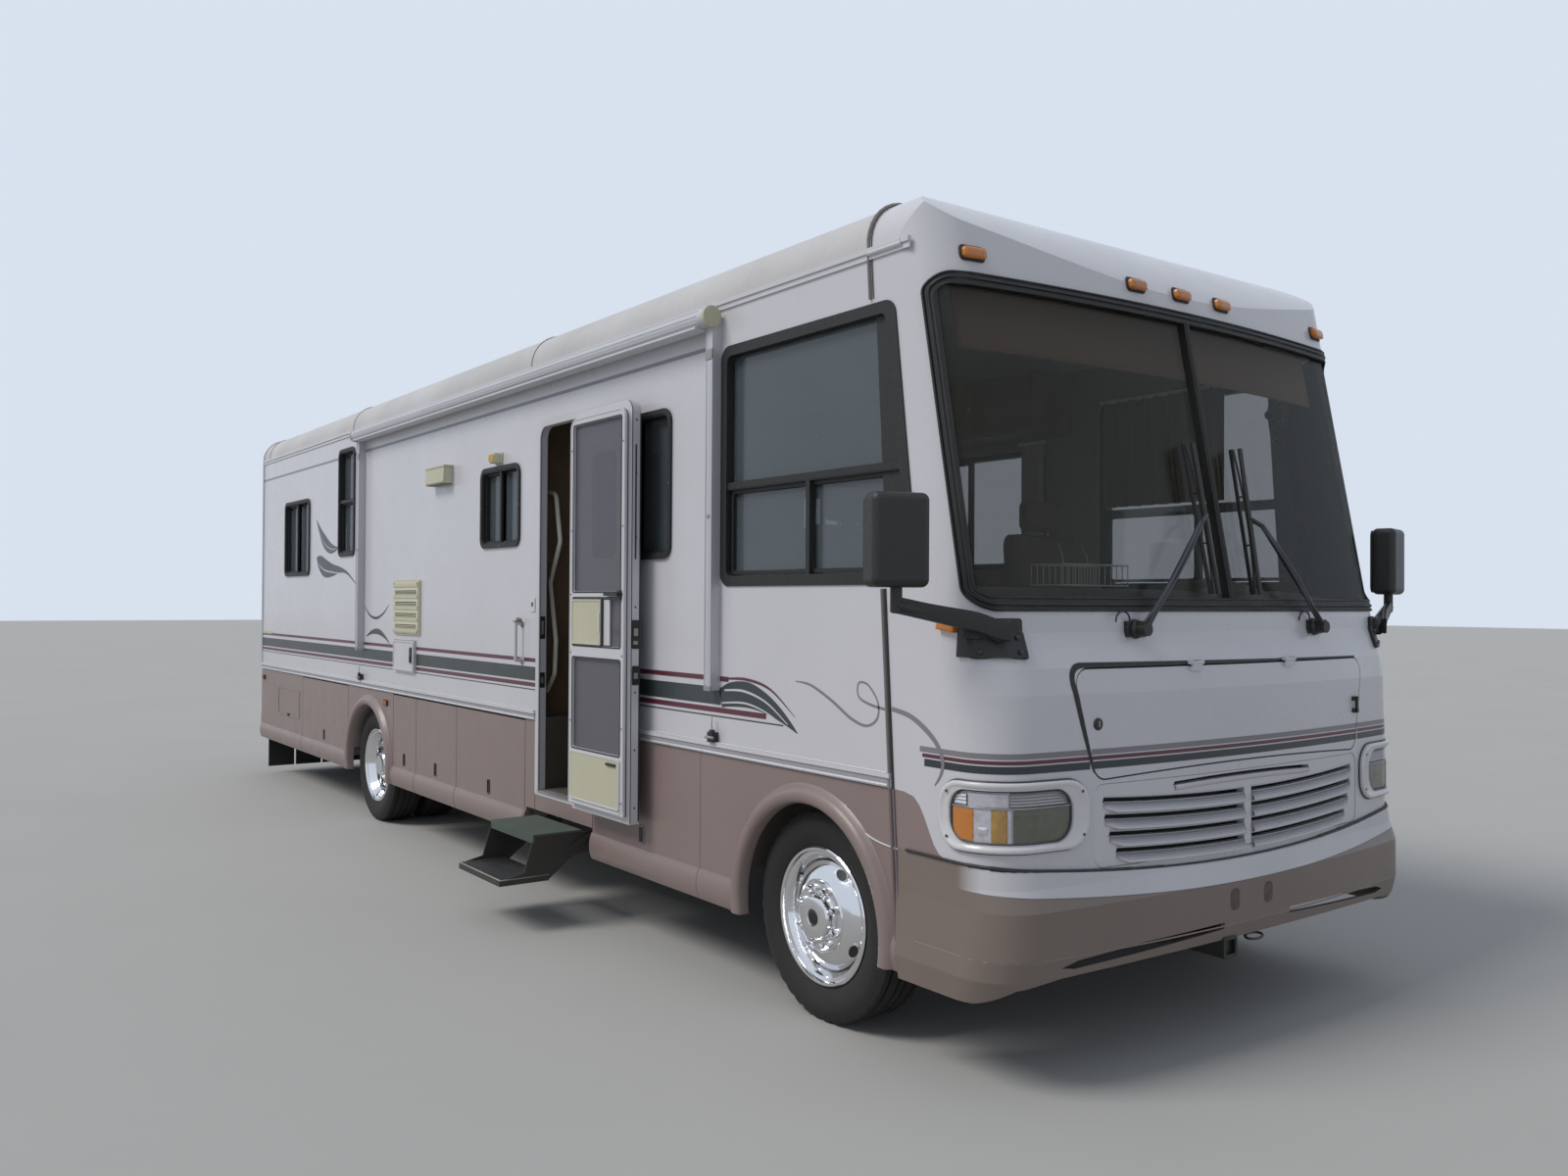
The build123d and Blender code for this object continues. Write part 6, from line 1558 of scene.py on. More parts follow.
def make_clearance_details():
    """Domed amber lenses on dark bases over the windscreen."""
    form = Form()
    base = [(0.010, 0.0005), (0.009, 0.004), (0.006, 0.0055), (0.002, 0.0055)]
    dome = [(0.000, 0.004), (0.000, 0.019), (-0.003, 0.0245), (-0.009, 0.0265), (-0.015, 0.0270)]
    for x in (-1.093, -0.275, 0.0, 0.275, 1.093):
        form.boss((x - 0.045, x + 0.045, 2.872, 2.912), base, 0.018, 4, 1, filled=False)
        form.boss((x - 0.0455, x + 0.0455, 2.8715, 2.9125), dome, 0.012)
    form.make("clearance_lenses", "root", [signal_lens, black_rubber], smooth=50)


def make_bumper_details():
    """Dark seam under the nose's lip, and the crease along the bumper."""
    runs = spread(-side_run(-4.36), side_run(-4.36), 60)
    seam = Form()
    seam.tube([nose(run, lip_z(run) + 0.001, 0.0045)[0] for run in runs], 0.0050, 6, 0)
    for side in (-1, 1):
        for near, far, radius in ((0.50, 1.34, 0.0068), (0.66, 1.26, 0.0085)):
            part = spread(side * near, side * far, 16)
            seam.tube([nose(run, lip_z(run) + 0.001, 0.0040)[0] for run in part], radius, 6, 0)
    seam.make("lip_gap", "root", black_rubber, smooth=50)
    form = Form()
    form.tube([bumper_point(run, 0.468, -0.0020) for run in runs], 0.0030, 6, 0)
    form.make("bumper_crease", "root", skirt_tan, smooth=50)


def make_plate_mounts():
    """Two worn places where a front plate would be."""
    plate = Form()
    for x in (-0.150, 0.060):
        outline = rounded(x - 0.028, x + 0.028, 0.520, 0.600, 0.022)
        plate.add([bumper_point(px, pz, 0.0005) for px, pz in outline], [tuple(range(len(outline)))])
    plate.make("plate_mounts", "root", smudge)


def make_tow_hook():
    """Tow hook and the bracket beside it."""
    hook = Form()
    loop = []
    for i in range(25):
        a = 2 * pi * i / 24
        loop.append((0.02 + 0.034 * cos(a), -4.8955 + 0.030 * sin(a), 0.392 + 0.006 * cos(a)))
    hook.tube(loop, 0.0055, 8, 0)
    hook.tube([(0.02, -4.872, 0.394), (0.02, -4.80, 0.440), (0.02, -4.72, 0.455)], 0.008, 8, 0)
    hook.box(-0.205, -0.125, -4.905, -4.70, 0.345, 0.420, 1)
    hook.border((-0.207, -0.123, 0.343, 0.422), 0.013, (0.010, 0.006), "y", -4.922, -4.904, 1)
    hook.make("tow_hook", "root", [iron, black_plastic], bevel=0.002)


def make_windscreen_details():
    """Three rubber lips of the windscreen gasket, and the divider's strips."""
    x0, x1, z0, z1 = WINDSCREEN
    edge = HALF - 0.0001
    form = Form()
    # Insets along and up, corner radius, height over the nose, bead radius
    for inset_x, inset_z, radius, out, thick in ((0.001, 0.003, 0.076, 0.0065, 0.0048),
                                                 (0.0105, 0.022, 0.062, 0.0070, 0.0060),
                                                 (0.022, 0.0445, 0.048, 0.0050, 0.0050)):
        outline = rounded(x0 + inset_x, x1 - inset_x, z0 + inset_z, z1 - inset_z, radius, 10)
        form.bead([nose_at(max(-edge, min(edge, x)), z, out) for x, z in fine(outline, 10, 40)], thick)
    for x, out, thick in ((-0.0115, 0.0065, 0.0035), (0.0115, 0.0065, 0.0035), (0.0, 0.0075, 0.0050)):
        form.tube([nose_at(x, z, out) for z in spread(z0 + 0.04, z1 - 0.04, 10)], thick, 6)
    form.make("gasket_lips", "root", black_rubber, smooth=60)


def make_wiper_details():
    """Housings, sprung twin rods, blades with their bows, and washer hoses of both wipers."""
    form = Form()
    for side in (-1, 1):
        x = side * 0.575
        face = nose_at(x, 1.56, 0.0)[1]
        form.turned([(face + 0.004, 0.036), (face - 0.010, 0.035), (face - 0.022, 0.030),
                     (face - 0.030, 0.016)], (x, 0.0, 1.560), "y", 24, 0)
        form.box(x - 0.052, x + 0.052, face - 0.014, face + 0.006, 1.532, 1.588, 0)
        head = Vector((x, face - 0.040, 1.560))
        end = Vector((side * 0.198, -4.815, 1.960))
        for shift in (-0.011, 0.011):
            path = [head + Vector((shift, 0.0, 0.010))]
            for i in range(1, 7):
                t = i / 6
                p = head.lerp(end, t) + Vector((shift * (1 - 0.2 * t), -0.016 * sin(pi * t), 0.0))
                path.append(p)
            form.tube(path, 0.0062, 8, 1)
        form.box(head.x - 0.020, head.x + 0.020, head.y - 0.012, head.y + 0.016, 1.548, 1.590, 0)
        form.turned([(head.y - 0.022, 0.008), (head.y - 0.016, 0.013), (head.y - 0.004, 0.014)],
                    (head.x, 0.0, 1.562), "y", 14, 1)
        low, high = Vector((side * 0.135, -4.852, 1.690)), Vector((side * 0.153, -4.746, 2.270))
        blade = []
        for i in range(13):
            t = i / 12
            p = low.lerp(high, t)
            surface = nose_at(p.x, p.z, 0.0)
            blade.append(Vector((p.x, surface[1] - 0.010, p.z)))
        form.tube(blade, 0.0052, 6, 2, flat=1.8)
        bow = [p + Vector((0.0, -0.012 - 0.016 * sin(pi * i / 12), 0.0)) for i, p in enumerate(blade)]
        form.tube(bow, 0.0050, 6, 0)
        for i in (1, 4, 8, 11):
            form.tube([bow[i], blade[i]], 0.0040, 6, 0)
        centre = bow[6]
        form.tube([end, (end + centre) / 2 + Vector((0.0, -0.010, 0.0)), centre], 0.0060, 6, 1)
        hose = []
        for i in range(15):
            a = radians(-60 + 250 * i / 14)
            hose.append((x - 0.078 + 0.038 * cos(a), face - 0.012, 1.592 + 0.032 * sin(a)))
        form.tube(hose, 0.0036, 6, 0)
    form.make("wiper_details", "root", [black_plastic, wiper_grey, black_rubber], smooth=45, bevel=0.001)


def make_mirror_glass(side, word):
    """Rubber rim and pane of one mirror, turned a little towards the driver."""
    turn = radians(15)
    centre = Vector((side * 1.540, -4.610, 1.855))
    across = Vector((side * cos(turn), sin(turn), 0.0))
    back = Vector((-side * sin(turn), cos(turn), 0.0))

    def loop(limits, radius, depth):
        return [centre + across * a + back * depth + Vector((0.0, 0.0, b))
                for a, b in rounded(*limits, radius, 6)]

    rim = (-0.094, 0.094, -0.146, 0.146)
    form = Form()
    form.grid([loop(grown(rim, grow), 0.024, depth) for grow, depth in (
        (0.0, 0.047), (0.0, 0.056), (-0.006, 0.059), (-0.012, 0.056), (-0.013, 0.052))], close=True)
    form.fill(loop((-0.083, 0.083, -0.135, 0.135), 0.018, 0.0535), 1)
    form.make("mirror_glass_" + word, "root", [black_rubber, mirror_silver], smooth=40)


def make_mirror_arm(side, word):
    """The moulded arm of one mirror, with its two feet on the nose and their bolts."""
    # Middle line and half height
    stations = [(1.190, -4.778, 1.558, 0.034), (1.230, -4.756, 1.566, 0.034), (1.285, -4.728, 1.588, 0.033),
                (1.360, -4.692, 1.604, 0.031), (1.440, -4.658, 1.620, 0.029), (1.530, -4.620, 1.640, 0.028),
                (1.556, -4.612, 1.642, 0.026)]
    rows = []
    for x, y, z, tall in smooth_path(stations, 3):
        row = []
        for a in turns(16):
            square = 1.0 / max(abs(cos(a)), abs(sin(a))) ** 0.75
            row.append((side * x, y + 0.0105 * cos(a) * square, z + tall * sin(a) * square))
        rows.append(row)
    arm = Form()
    arm.grid(rows, close=True)
    arm.fill(rows[0])
    arm.fill(rows[-1])
    arm.boss((1.105, 1.256, 1.466, 1.556), [(0.003, 0.0), (0.003, 0.013), (-0.003, 0.0165)], 0.012, side=side)
    arm.boss((1.150, 1.258, 1.530, 1.596), [(0.0, 0.010), (0.0, 0.024), (-0.005, 0.028)], 0.010, side=side)
    for x in (1.130, 1.235):
        for z in (1.488, 1.536):
            arm.disc(nose_at(side * x, z, 0.0165), (side * 0.25, -1.0, 0.0), 0.009, 0.006, 10, 1)
    arm.make("mirror_arm_" + word, "root", [black_plastic, wiper_grey], smooth=40, bevel=0.0015)


def make_cap_marker(side, word):
    """The small amber marker below one mirror, turned with the nose's slope."""
    lean = radians(8)
    loops = []
    for grow, out in ((0.0010, 0.000), (0.0010, 0.021), (-0.002, 0.0235), (-0.006, 0.0245)):
        outline = rounded(*grown((-0.042, 0.042, -0.012, 0.012), grow), 0.004, 4)
        loops.append([(side * (HALF + out), -4.574 + a * cos(lean) - b * sin(lean),
                       1.568 + a * sin(lean) + b * cos(lean)) for a, b in outline])
    marker = Form()
    marker.shell(loops)
    marker.make("cap_marker_" + word, "root", amber, smooth=45)


def make_mirrors():
    """Both mirrors and their markers."""
    for side, word in SIDES:
        make_mirror_glass(side, word)
        make_mirror_arm(side, word)
        make_cap_marker(side, word)


# Inside

SOFT = []


def cushion_form(low, high, radius, crown, pull, up="z", cells=14):
    """Points and faces of a crowned pad whose sides pull in between its corners; up is its thin axis."""
    order = {"x": (1, 2, 0), "y": (2, 0, 1), "z": (0, 1, 2)}[up]
    middle = [(a + b) / 2 for a, b in zip(low, high)]
    half = [(b - a) / 2 for a, b in zip(low, high)]
    size = [half[i] for i in order]
    points, faces, known = [], [], {}

    def vertex(cube):
        key = tuple(round(c, 5) for c in cube)
        if key in known:
            return known[key]
        full = [c * h for c, h in zip(cube, size)]
        core = [max(-(h - radius), min(h - radius, f)) for f, h in zip(full, size)]
        off = Vector([f - c for f, c in zip(full, core)])
        if off.length > 1e-9:
            off = off.normalized() * radius
        place_at = [c + o for c, o in zip(core, off)]
        u, v = cube[0], cube[1]
        place_at[0] *= 1 - pull * (1 - v * v)
        place_at[1] *= 1 - pull * (1 - u * u)
        place_at[2] *= 1 + crown * ((1 - u ** 4) * (1 - v ** 4) - 0.55)
        spot = [0.0, 0.0, 0.0]
        for index, value in zip(order, place_at):
            spot[index] = value + middle[index]
        known[key] = len(points)
        points.append(tuple(spot))
        return known[key]

    for axis in range(3):
        for sign in (-1, 1):
            for i in range(cells):
                for j in range(cells):
                    corners = []
                    for a, b in ((i, j), (i + 1, j), (i + 1, j + 1), (i, j + 1)):
                        cube = [0.0, 0.0, 0.0]
                        cube[axis] = sign
                        cube[(axis + 1) % 3] = -1 + 2 * a / cells
                        cube[(axis + 2) % 3] = -1 + 2 * b / cells
                        corners.append(vertex(cube))
                    faces.append(tuple(corners if sign > 0 else corners[::-1]))
    return points, faces


def make_pad(name, low, high, up, radius=0.035, crown=0.10, pull=0.03, voxel=0.018, cap=0.014, lines=(),
             fill=0.7, cover=None):
    """A padded piece; lines are sewn channels as (axis, place)."""
    points, faces = cushion_form(low, high, radius, crown, pull, up)
    mesh = bpy.data.meshes.new(name)
    mesh.from_pydata(points, [], faces)
    obj = bpy.data.objects.new(name, mesh)
    bpy.context.scene.collection.objects.link(obj)
    even = obj.modifiers.new("even", "REMESH")
    even.mode = "VOXEL"
    even.voxel_size = voxel
    graph = bpy.context.evaluated_depsgraph_get()
    even_mesh = bpy.data.meshes.new_from_object(obj.evaluated_get(graph))
    obj.modifiers.clear()
    obj.data = even_mesh
    SOFT.append((obj, name, low, high, up, cap, lines, fill, cover or cloth))
    return obj


def settle_pads():
    """Short cloth run on every pad, held near its shape, then channels, seams and finish."""
    scene = bpy.context.scene
    starts = {}
    for obj, *_ in SOFT:
        starts[obj.name] = [v.co.copy() for v in obj.data.vertices]
        soft = obj.modifiers.new("cloth", "CLOTH")
        soft.settings.use_pressure = True
        soft.settings.uniform_pressure_force = 4.0
        soft.settings.effector_weights.gravity = 0.0
        soft.settings.quality = 4
        soft.collision_settings.use_collision = False
    for number in range(1, 21):
        scene.frame_set(number)
    graph = bpy.context.evaluated_depsgraph_get()
    moved = {obj.name: bpy.data.meshes.new_from_object(obj.evaluated_get(graph)) for obj, *_ in SOFT}
    for obj, *_ in SOFT:
        obj.modifiers.clear()
        obj.data = moved[obj.name]
    scene.frame_set(1)
    for obj, name, low, high, up, cap, lines, fill, cover in SOFT:
        mesh = obj.data
        thin = "xyz".index(up)
        for vertex, start in zip(mesh.vertices, starts[name]):
            step = vertex.co - start
            if step.length > cap:
                vertex.co = start + step * (cap / step.length)
            for axis, place_on in lines:
                near = vertex.co["xyz".index(axis)] - place_on
                depth = 0.011 * exp(-(near / 0.016) ** 2)
                centre = (low[thin] + high[thin]) / 2
                vertex.co[thin] += depth if vertex.co[thin] < centre else -depth
            for k in range(3):
                vertex.co[k] = max(low[k], min(high[k], vertex.co[k]))
        mesh.materials.clear()
        mesh.materials.append(cover)
        mesh.polygons.foreach_set("material_index", [0] * len(mesh.polygons))
        mesh.update()
        mesh.shade_smooth()
        rest = obj.modifiers.new("smooth", "SUBSURF")
        rest.levels = rest.render_levels = 1
        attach(obj, "root")
        seam = Form()
        a, b = (k for k in range(3) if k != thin)
        for share in (0.26, 0.74):
            level = low[thin] + (high[thin] - low[thin]) * share
            loop = []
            for pa, pb in rounded(low[a], high[a], low[b], high[b], 0.05, 6):
                spot = [0.0, 0.0, 0.0]
                spot[a], spot[b], spot[thin] = pa, pb, level
                _, where, normal, _ = obj.closest_point_on_mesh(spot)
                loop.append(tuple(where + normal * 0.001))
            seam.bead(loop, 0.0045, 6)
        seam.make(name + "_welt", "root", cover, smooth=60)


def make_cab_seats():
    """Boxed pedestals, arm tubes and headrest rods of the cab seats, and the sofa's panelled box."""
    base = Form()
    for side in (-1, 1):
        x = side * 0.640
        base.prism(rounded(x - 0.150, x + 0.150, -3.710, -3.340, 0.03), "z", 1.000, 1.180, 0)
        base.prism(rounded(x - 0.165, x + 0.165, -3.730, -3.320, 0.04), "z", 1.180, 1.215, 1)
        base.prism(rounded(x - 0.215, x + 0.215, -3.770, -3.300, 0.03), "z", 1.215, 1.285, 0)
        for edge in (-1, 1):
            rail = x + edge * 0.232
            base.tube([(rail, -3.300, 1.400), (rail, -3.300, 1.560), (rail, -3.330, 1.590),
                       (rail, -3.640, 1.615)], 0.014, 10, 1)
        for edge in (-1, 1):
            base.tube([(x + edge * 0.055, -3.250, 1.930), (x + edge * 0.055, -3.250, 2.060)], 0.007, 8, 2)
    base.box(0.580, 1.205, -2.940, -1.310, 1.004, 1.110, 3)
    for k in range(3):
        y = -2.930 + 0.545 * k
        base.border((y + 0.03, y + 0.500, 1.018, 1.098), 0.015, (0.012, 0.008), "x", 0.574, 0.582, 3)
    piece = base.make("seat_bases", "root", [brown_plastic, black_plastic, steel, oak], bevel=0.003)
    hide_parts("seats")


def make_seat_pads():
    """Padded cushions, backs, headrests and arm rests of the cab seats, and the sofa opposite the door."""
    for side, word in SIDES:
        x = side * 0.640
        make_pad("cab_cushion_" + word, (x - 0.262, -3.815, 1.288), (x + 0.262, -3.290, 1.425), "z", 0.05,
                 0.16, lines=[("x", x - 0.15), ("x", x + 0.15)])
        make_pad("cab_back_" + word, (x - 0.255, -3.326, 1.405), (x + 0.255, -3.186, 2.015), "y", 0.055, 0.14,
                 lines=[("z", 1.56), ("z", 1.72), ("z", 1.88)])
        make_pad("cab_headrest_" + word, (x - 0.135, -3.296, 2.020), (x + 0.135, -3.204, 2.175), "y", 0.04,
                 0.12, voxel=0.012, cap=0.008)
        for edge, which in ((-1, "outer"), (1, "inner")):
            arm_x = x + edge * 0.232
            make_pad("cab_arm_" + word + "_" + which, (arm_x - 0.030, -3.640, 1.590),
                     (arm_x + 0.030, -3.330, 1.655), "z", 0.025, 0.08, pull=0.01, voxel=0.010, cap=0.006)
    for k in range(3):
        y = -2.935 + 0.545 * k
        make_pad("sofa_cushion_%d" % k, (0.565, y + 0.004, 1.112), (1.045, y + 0.540, 1.428), "z", 0.06, 0.10,
                 lines=[("x", 0.80)])
        make_pad("sofa_back_%d" % k, (1.035, y + 0.004, 1.300), (1.212, y + 0.540, 1.826), "x", 0.06, 0.12,
                 lines=[("z", 1.56)])


def make_bed():
    """Mattress with a quilted cover and two pillows on the bed's box."""
    make_pad("bed_quilt", (-0.735, 2.885, 1.300), (0.735, 4.755, 1.578), "z", 0.06, 0.04, pull=0.006,
             voxel=0.030, cap=0.012,
             lines=[("y", 3.2), ("y", 3.55), ("y", 3.9), ("y", 4.25), ("x", -0.36), ("x", 0.0), ("x", 0.36)],
             fill=0.8, cover=pale_cloth)
    for side, word in SIDES:
        make_pad("pillow_" + word, (side * 0.37 - 0.30, 4.300, 1.566), (side * 0.37 + 0.30, 4.745, 1.700),
                 "z", 0.06, 0.35, pull=0.05, voxel=0.018, cap=0.012, fill=0.5, cover=pale_cloth)


def curtain(name, place_on, a0, a1, z0, z1, folds, depth, cover, axis="x"):
    """A gathered curtain: folds along one wall."""
    rows = []
    steps = folds * 12
    for i in range(7):
        z = z1 + (z0 - z1) * i / 6
        swell = 0.94 + 0.02 * i
        row = []
        for k in range(steps + 1):
            t = k / steps
            wave = sin(2 * pi * folds * t) + 0.25 * sin(2 * pi * folds * t * 0.5 + 1.3)
            off = depth * swell * wave
            along = a0 + (a1 - a0) * t
            row.append((place_on + off, along, z) if axis == "x" else (along, place_on + off, z))
        rows.append(row)
    form = Form()
    form.grid(rows)
    piece = form.make(name, "root", cover, smooth=180)
    rail = Form()
    if axis == "x":
        rail.box(place_on - 0.012, place_on + 0.012, a0 - 0.02, a1 + 0.02, z1 - 0.004, z1 + 0.014)
    else:
        rail.box(a0 - 0.02, a1 + 0.02, place_on - 0.012, place_on + 0.012, z1 - 0.004, z1 + 0.014)
    rail.make(name + "_rail", "root", white_moulding, bevel=0.001)


def make_curtains():
    """Gathered curtains beside the windows and behind the cab."""
    curtain("cab_curtain_left", 1.190, -3.960, -3.210, 2.170, 2.740, 9, 0.016, curtain_cloth)
    curtain("cab_curtain_right", -1.150, -3.130, -2.990, 1.450, 2.740, 4, 0.030, curtain_cloth)
    for side, word, windows in ((-1, "right", RIGHT_WINDOWS), (1, "left", LEFT_WINDOWS)):
        for number, (y0, y1, z0, z1, _) in enumerate(windows):
            if number == 1:
                continue
            wide = 0.17 if y1 - y0 > 0.6 else 0.10
            for end, start in (("front", y0 - 0.02), ("back", y1 + 0.02 - wide)):
                curtain("curtain_%s_%d_%s" % (word, number, end), side * 1.195, start, start + wide,
                        z0 - 0.03, z1 + 0.03, 4, 0.013, pale_cloth)


def make_dash():
    """Dash pad with its front edge, gauge hood, vents and knobs."""
    pad = Form()
    profile = [(-4.760, 1.600), (-4.735, 1.628), (-4.600, 1.665), (-4.430, 1.700), (-4.310, 1.712),
               (-4.268, 1.700), (-4.256, 1.670), (-4.270, 1.600)]
    rows = []
    for i in range(33):
        x = -1.130 + 2.260 * i / 32
        row = []
        for y, z in profile:
            front = nose_at(x, max(z, 1.56), -0.085)[1]
            row.append((x, max(y, front), z))
        rows.append(row)
    pad.grid(rows, 0)
    pad.fill(rows[0])
    pad.fill(rows[-1])
    hood = []
    for t in spread(0.0, 1.0, 12):
        x = 0.330 + (0.800 - 0.330) * t
        rise = 0.055 * (1 - (2 * t - 1) ** 4)
        hood.append([(x, -4.440, 1.695), (x, -4.420, 1.700 + rise * 0.7), (x, -4.340, 1.708 + rise),
                     (x, -4.262, 1.700 + rise), (x, -4.258, 1.670)])
    pad.grid(hood, 0)
    for x in (-0.95, -0.30, 0.20, 0.95):
        pad.border((x - 0.075, x + 0.075, -4.700, -4.660), 0.008, (0.008, 0.004), "z", 1.630, 1.648, 1)
        for k in range(6):
            pad.box(x - 0.064 + 0.0225 * k, x - 0.060 + 0.0225 * k, -4.694, -4.666, 1.634, 1.646, 1)
    pad.box(-0.260, 0.180, -4.262, -4.250, 1.520, 1.655, 1)
    for k in range(4):
        pad.turned([(-4.240, 0.014), (-4.251, 0.018)], (-0.20 + 0.11 * k, 0.0, 1.560), "y", 16, 2)
    pad.box(-0.200, 0.110, -4.249, -4.246, 1.600, 1.640, 2)
    pad.make("dash_pad", "root", [brown_plastic, black_plastic, steel], bevel=0.002)


def make_wire_rack():
    """Wire rack on the dash."""
    rack = Form()
    x0, x1, y0, y1, z0, z1 = -0.610, -0.230, -4.500, -4.340, 1.716, 1.800
    for z in (z0 + 0.004, z1):
        rack.tube([(x0, y0, z), (x1, y0, z), (x1, y1, z), (x0, y1, z), (x0, y0, z)], 0.0032, 6)
    for i in range(12):
        x = x0 + (x1 - x0) * i / 11
        rack.tube([(x, y0, z1), (x, y0, z0 + 0.004), (x, y1, z0 + 0.004), (x, y1, z1)], 0.0022, 5)
    for x in (x0, x0 + 0.14):
        rack.tube([(x, y0, z1), (x + 0.02, y0 + 0.02, z1 + 0.030), (x + 0.130, y1 - 0.02, z1 + 0.085)],
                  0.0028, 6)
    rack.make("dash_wire_rack", "root", steel, smooth=60)


def make_fan():
    """Caged fan with four blades on its bracket."""
    fan = Form()
    centre = Vector((1.075, -4.330, 2.545))
    for radius, depth in ((0.082, 0.0), (0.060, 0.018), (0.036, 0.028)):
        fan.bead([centre + Vector((radius * cos(a), -depth, radius * sin(a))) for a in turns(28)], 0.0025)
    for a in turns(14):
        out = Vector((cos(a), 0.0, sin(a)))
        fan.tube([centre + out * 0.018 + Vector((0.0, -0.031, 0.0)),
                  centre + out * 0.055 + Vector((0.0, -0.020, 0.0)), centre + out * 0.082], 0.0016, 5, 0)
    for a in (pi / 4 + turn for turn in turns(4)):
        blade = []
        for k in range(5):
            r = 0.016 + 0.013 * k
            wide = 0.26 + 0.10 * k
            blade.append([centre + Vector((r * cos(a - wide), -0.012, r * sin(a - wide))),
                          centre + Vector((r * cos(a), -0.006, r * sin(a))),
                          centre + Vector((r * cos(a + wide), 0.002, r * sin(a + wide)))])
        fan.grid(blade, 0)
    fan.turned([(-4.362, 0.016), (-4.340, 0.022), (-4.290, 0.026), (-4.270, 0.018)],
               (centre.x, 0.0, centre.z), "y", 20, 0)
    fan.tube([(centre.x, -4.285, centre.z - 0.02), (centre.x + 0.03, -4.280, centre.z - 0.11),
              (centre.x + 0.145, -4.270, centre.z - 0.13)], 0.008, 8, 0)
    fan.make("dash_fan", "root", [black_plastic], smooth=50)


def make_shade_band():
    """The shade band behind the screen's upper edge."""
    band = Form()
    band.grid([[nose_at(x, z, -0.095) for x in spread(-1.160, 1.160, 40)]
               for z in (2.560, 2.620, 2.700, 2.780, 2.800)])
    band.make("screen_shade_band", "root", curtain_cloth, thick=0.004)


def make_steering_wheel_trim():
    """Horn pad and wrapped rim of the steering wheel."""
    wheel = Form()
    centre = Vector((0.560, -4.075, 1.551))
    axis = Vector((0.0, 0.8536, 0.5210))
    up = Vector((0.0, -0.5210, 0.8536))
    across = Vector((1.0, 0.0, 0.0))
    loops = []
    for radius, lift in ((0.062, 0.012), (0.064, 0.022), (0.056, 0.032), (0.030, 0.037)):
        loops.append([centre + (across * cos(a) + up * sin(a)) * radius + axis * lift
                      for a in turns(28)])
    wheel.shell(loops)
    for a in turns(28):
        turn_in = across * cos(a) + up * sin(a)
        spot = centre + turn_in * 0.220
        wrap = [spot + (turn_in * cos(b) + axis * sin(b)) * 0.0158 for b in turns(10)]
        wheel.bead(wrap, 0.0012, 4, 0)
    wheel.make("steering_wheel_trim", "steering_wheel", [black_plastic], smooth=50)


def make_cabinet_fronts():
    """Framed doors, knobs and the worktop on the galley, lockers and wardrobe walls."""
    form = Form()

    def panel(axis, face, out, a0, a1, b0, b1):
        near, far = (face, face + out * 0.012)
        form.border((a0, a1, b0, b1), 0.045, (0.010, 0.030), axis, near, far, 0)
        form.prism(rounded(a0 + 0.040, a1 - 0.040, b0 + 0.040, b1 - 0.040, 0.028), axis, near,
                   face + out * 0.006, 0)
        knob = [(face + out * along, radius) for along, radius in (
            (0.012, 0.006), (0.024, 0.006), (0.030, 0.013), (0.036, 0.008))]
        form.turned(knob, place(axis, 0.0, a1 - 0.022, (b0 + b1) / 2), axis, 12, 1)

    for k in range(4):
        panel("x", -0.660, 1, -1.10 + 0.39 * k, -0.74 + 0.39 * k, 1.10, 1.78)
        panel("x", -0.900, 1, -1.10 + 0.39 * k, -0.74 + 0.39 * k, 2.52, 2.91)
    for k in range(7):
        panel("x", 0.900, -1, -2.93 + 0.485 * k, -2.47 + 0.485 * k, 2.62, 2.91)
    for a0, a1 in ((-1.18, -0.78), (-0.75, -0.36), (0.36, 0.75), (0.78, 1.18)):
        for b0, b1 in ((1.08, 1.95), (1.99, 2.86)):
            panel("y", 1.250, -1, a0, a1, b0, b1)
    panel("y", -1.150, -1, -1.18, -0.70, 1.10, 1.90)
    panel("y", -1.150, -1, -1.18, -0.70, 1.96, 2.86)
    form.prism(rounded(-1.222, -0.636, -1.119, 0.500, 0.02), "z", 1.899, 1.930, 2)
    form.make("cabinet_fronts", "root", [oak, steel, pale_cloth], bevel=0.002)


# Roof and rear

COOLERS = (-2.190, 2.810)
# Height, half width, half length, shift towards the rear and corner radius of the cooler's shroud
AC_LEVELS = [(3.180, 0.350, 0.525, 0.0, 0.080), (3.214, 0.349, 0.524, 0.0, 0.080),
             (3.217, 0.341, 0.515, 0.0, 0.078), (3.250, 0.339, 0.512, 0.0, 0.080),
             (3.300, 0.333, 0.496, 0.006, 0.085), (3.420, 0.318, 0.452, 0.018, 0.090),
             (3.490, 0.306, 0.426, 0.025, 0.095), (3.522, 0.292, 0.408, 0.028, 0.100),
             (3.538, 0.268, 0.380, 0.030, 0.100), (3.545, 0.220, 0.330, 0.030, 0.090)]


def ac_at(z):
    """Half width, half length and shift of the cooler's shroud at height z."""
    for low, high in zip(AC_LEVELS, AC_LEVELS[1:]):
        if low[0] <= z <= high[0]:
            t = (z - low[0]) / (high[0] - low[0])
            return [a + (b - a) * t for a, b in zip(low[1:4], high[1:4])]
    return AC_LEVELS[-1][1:4]


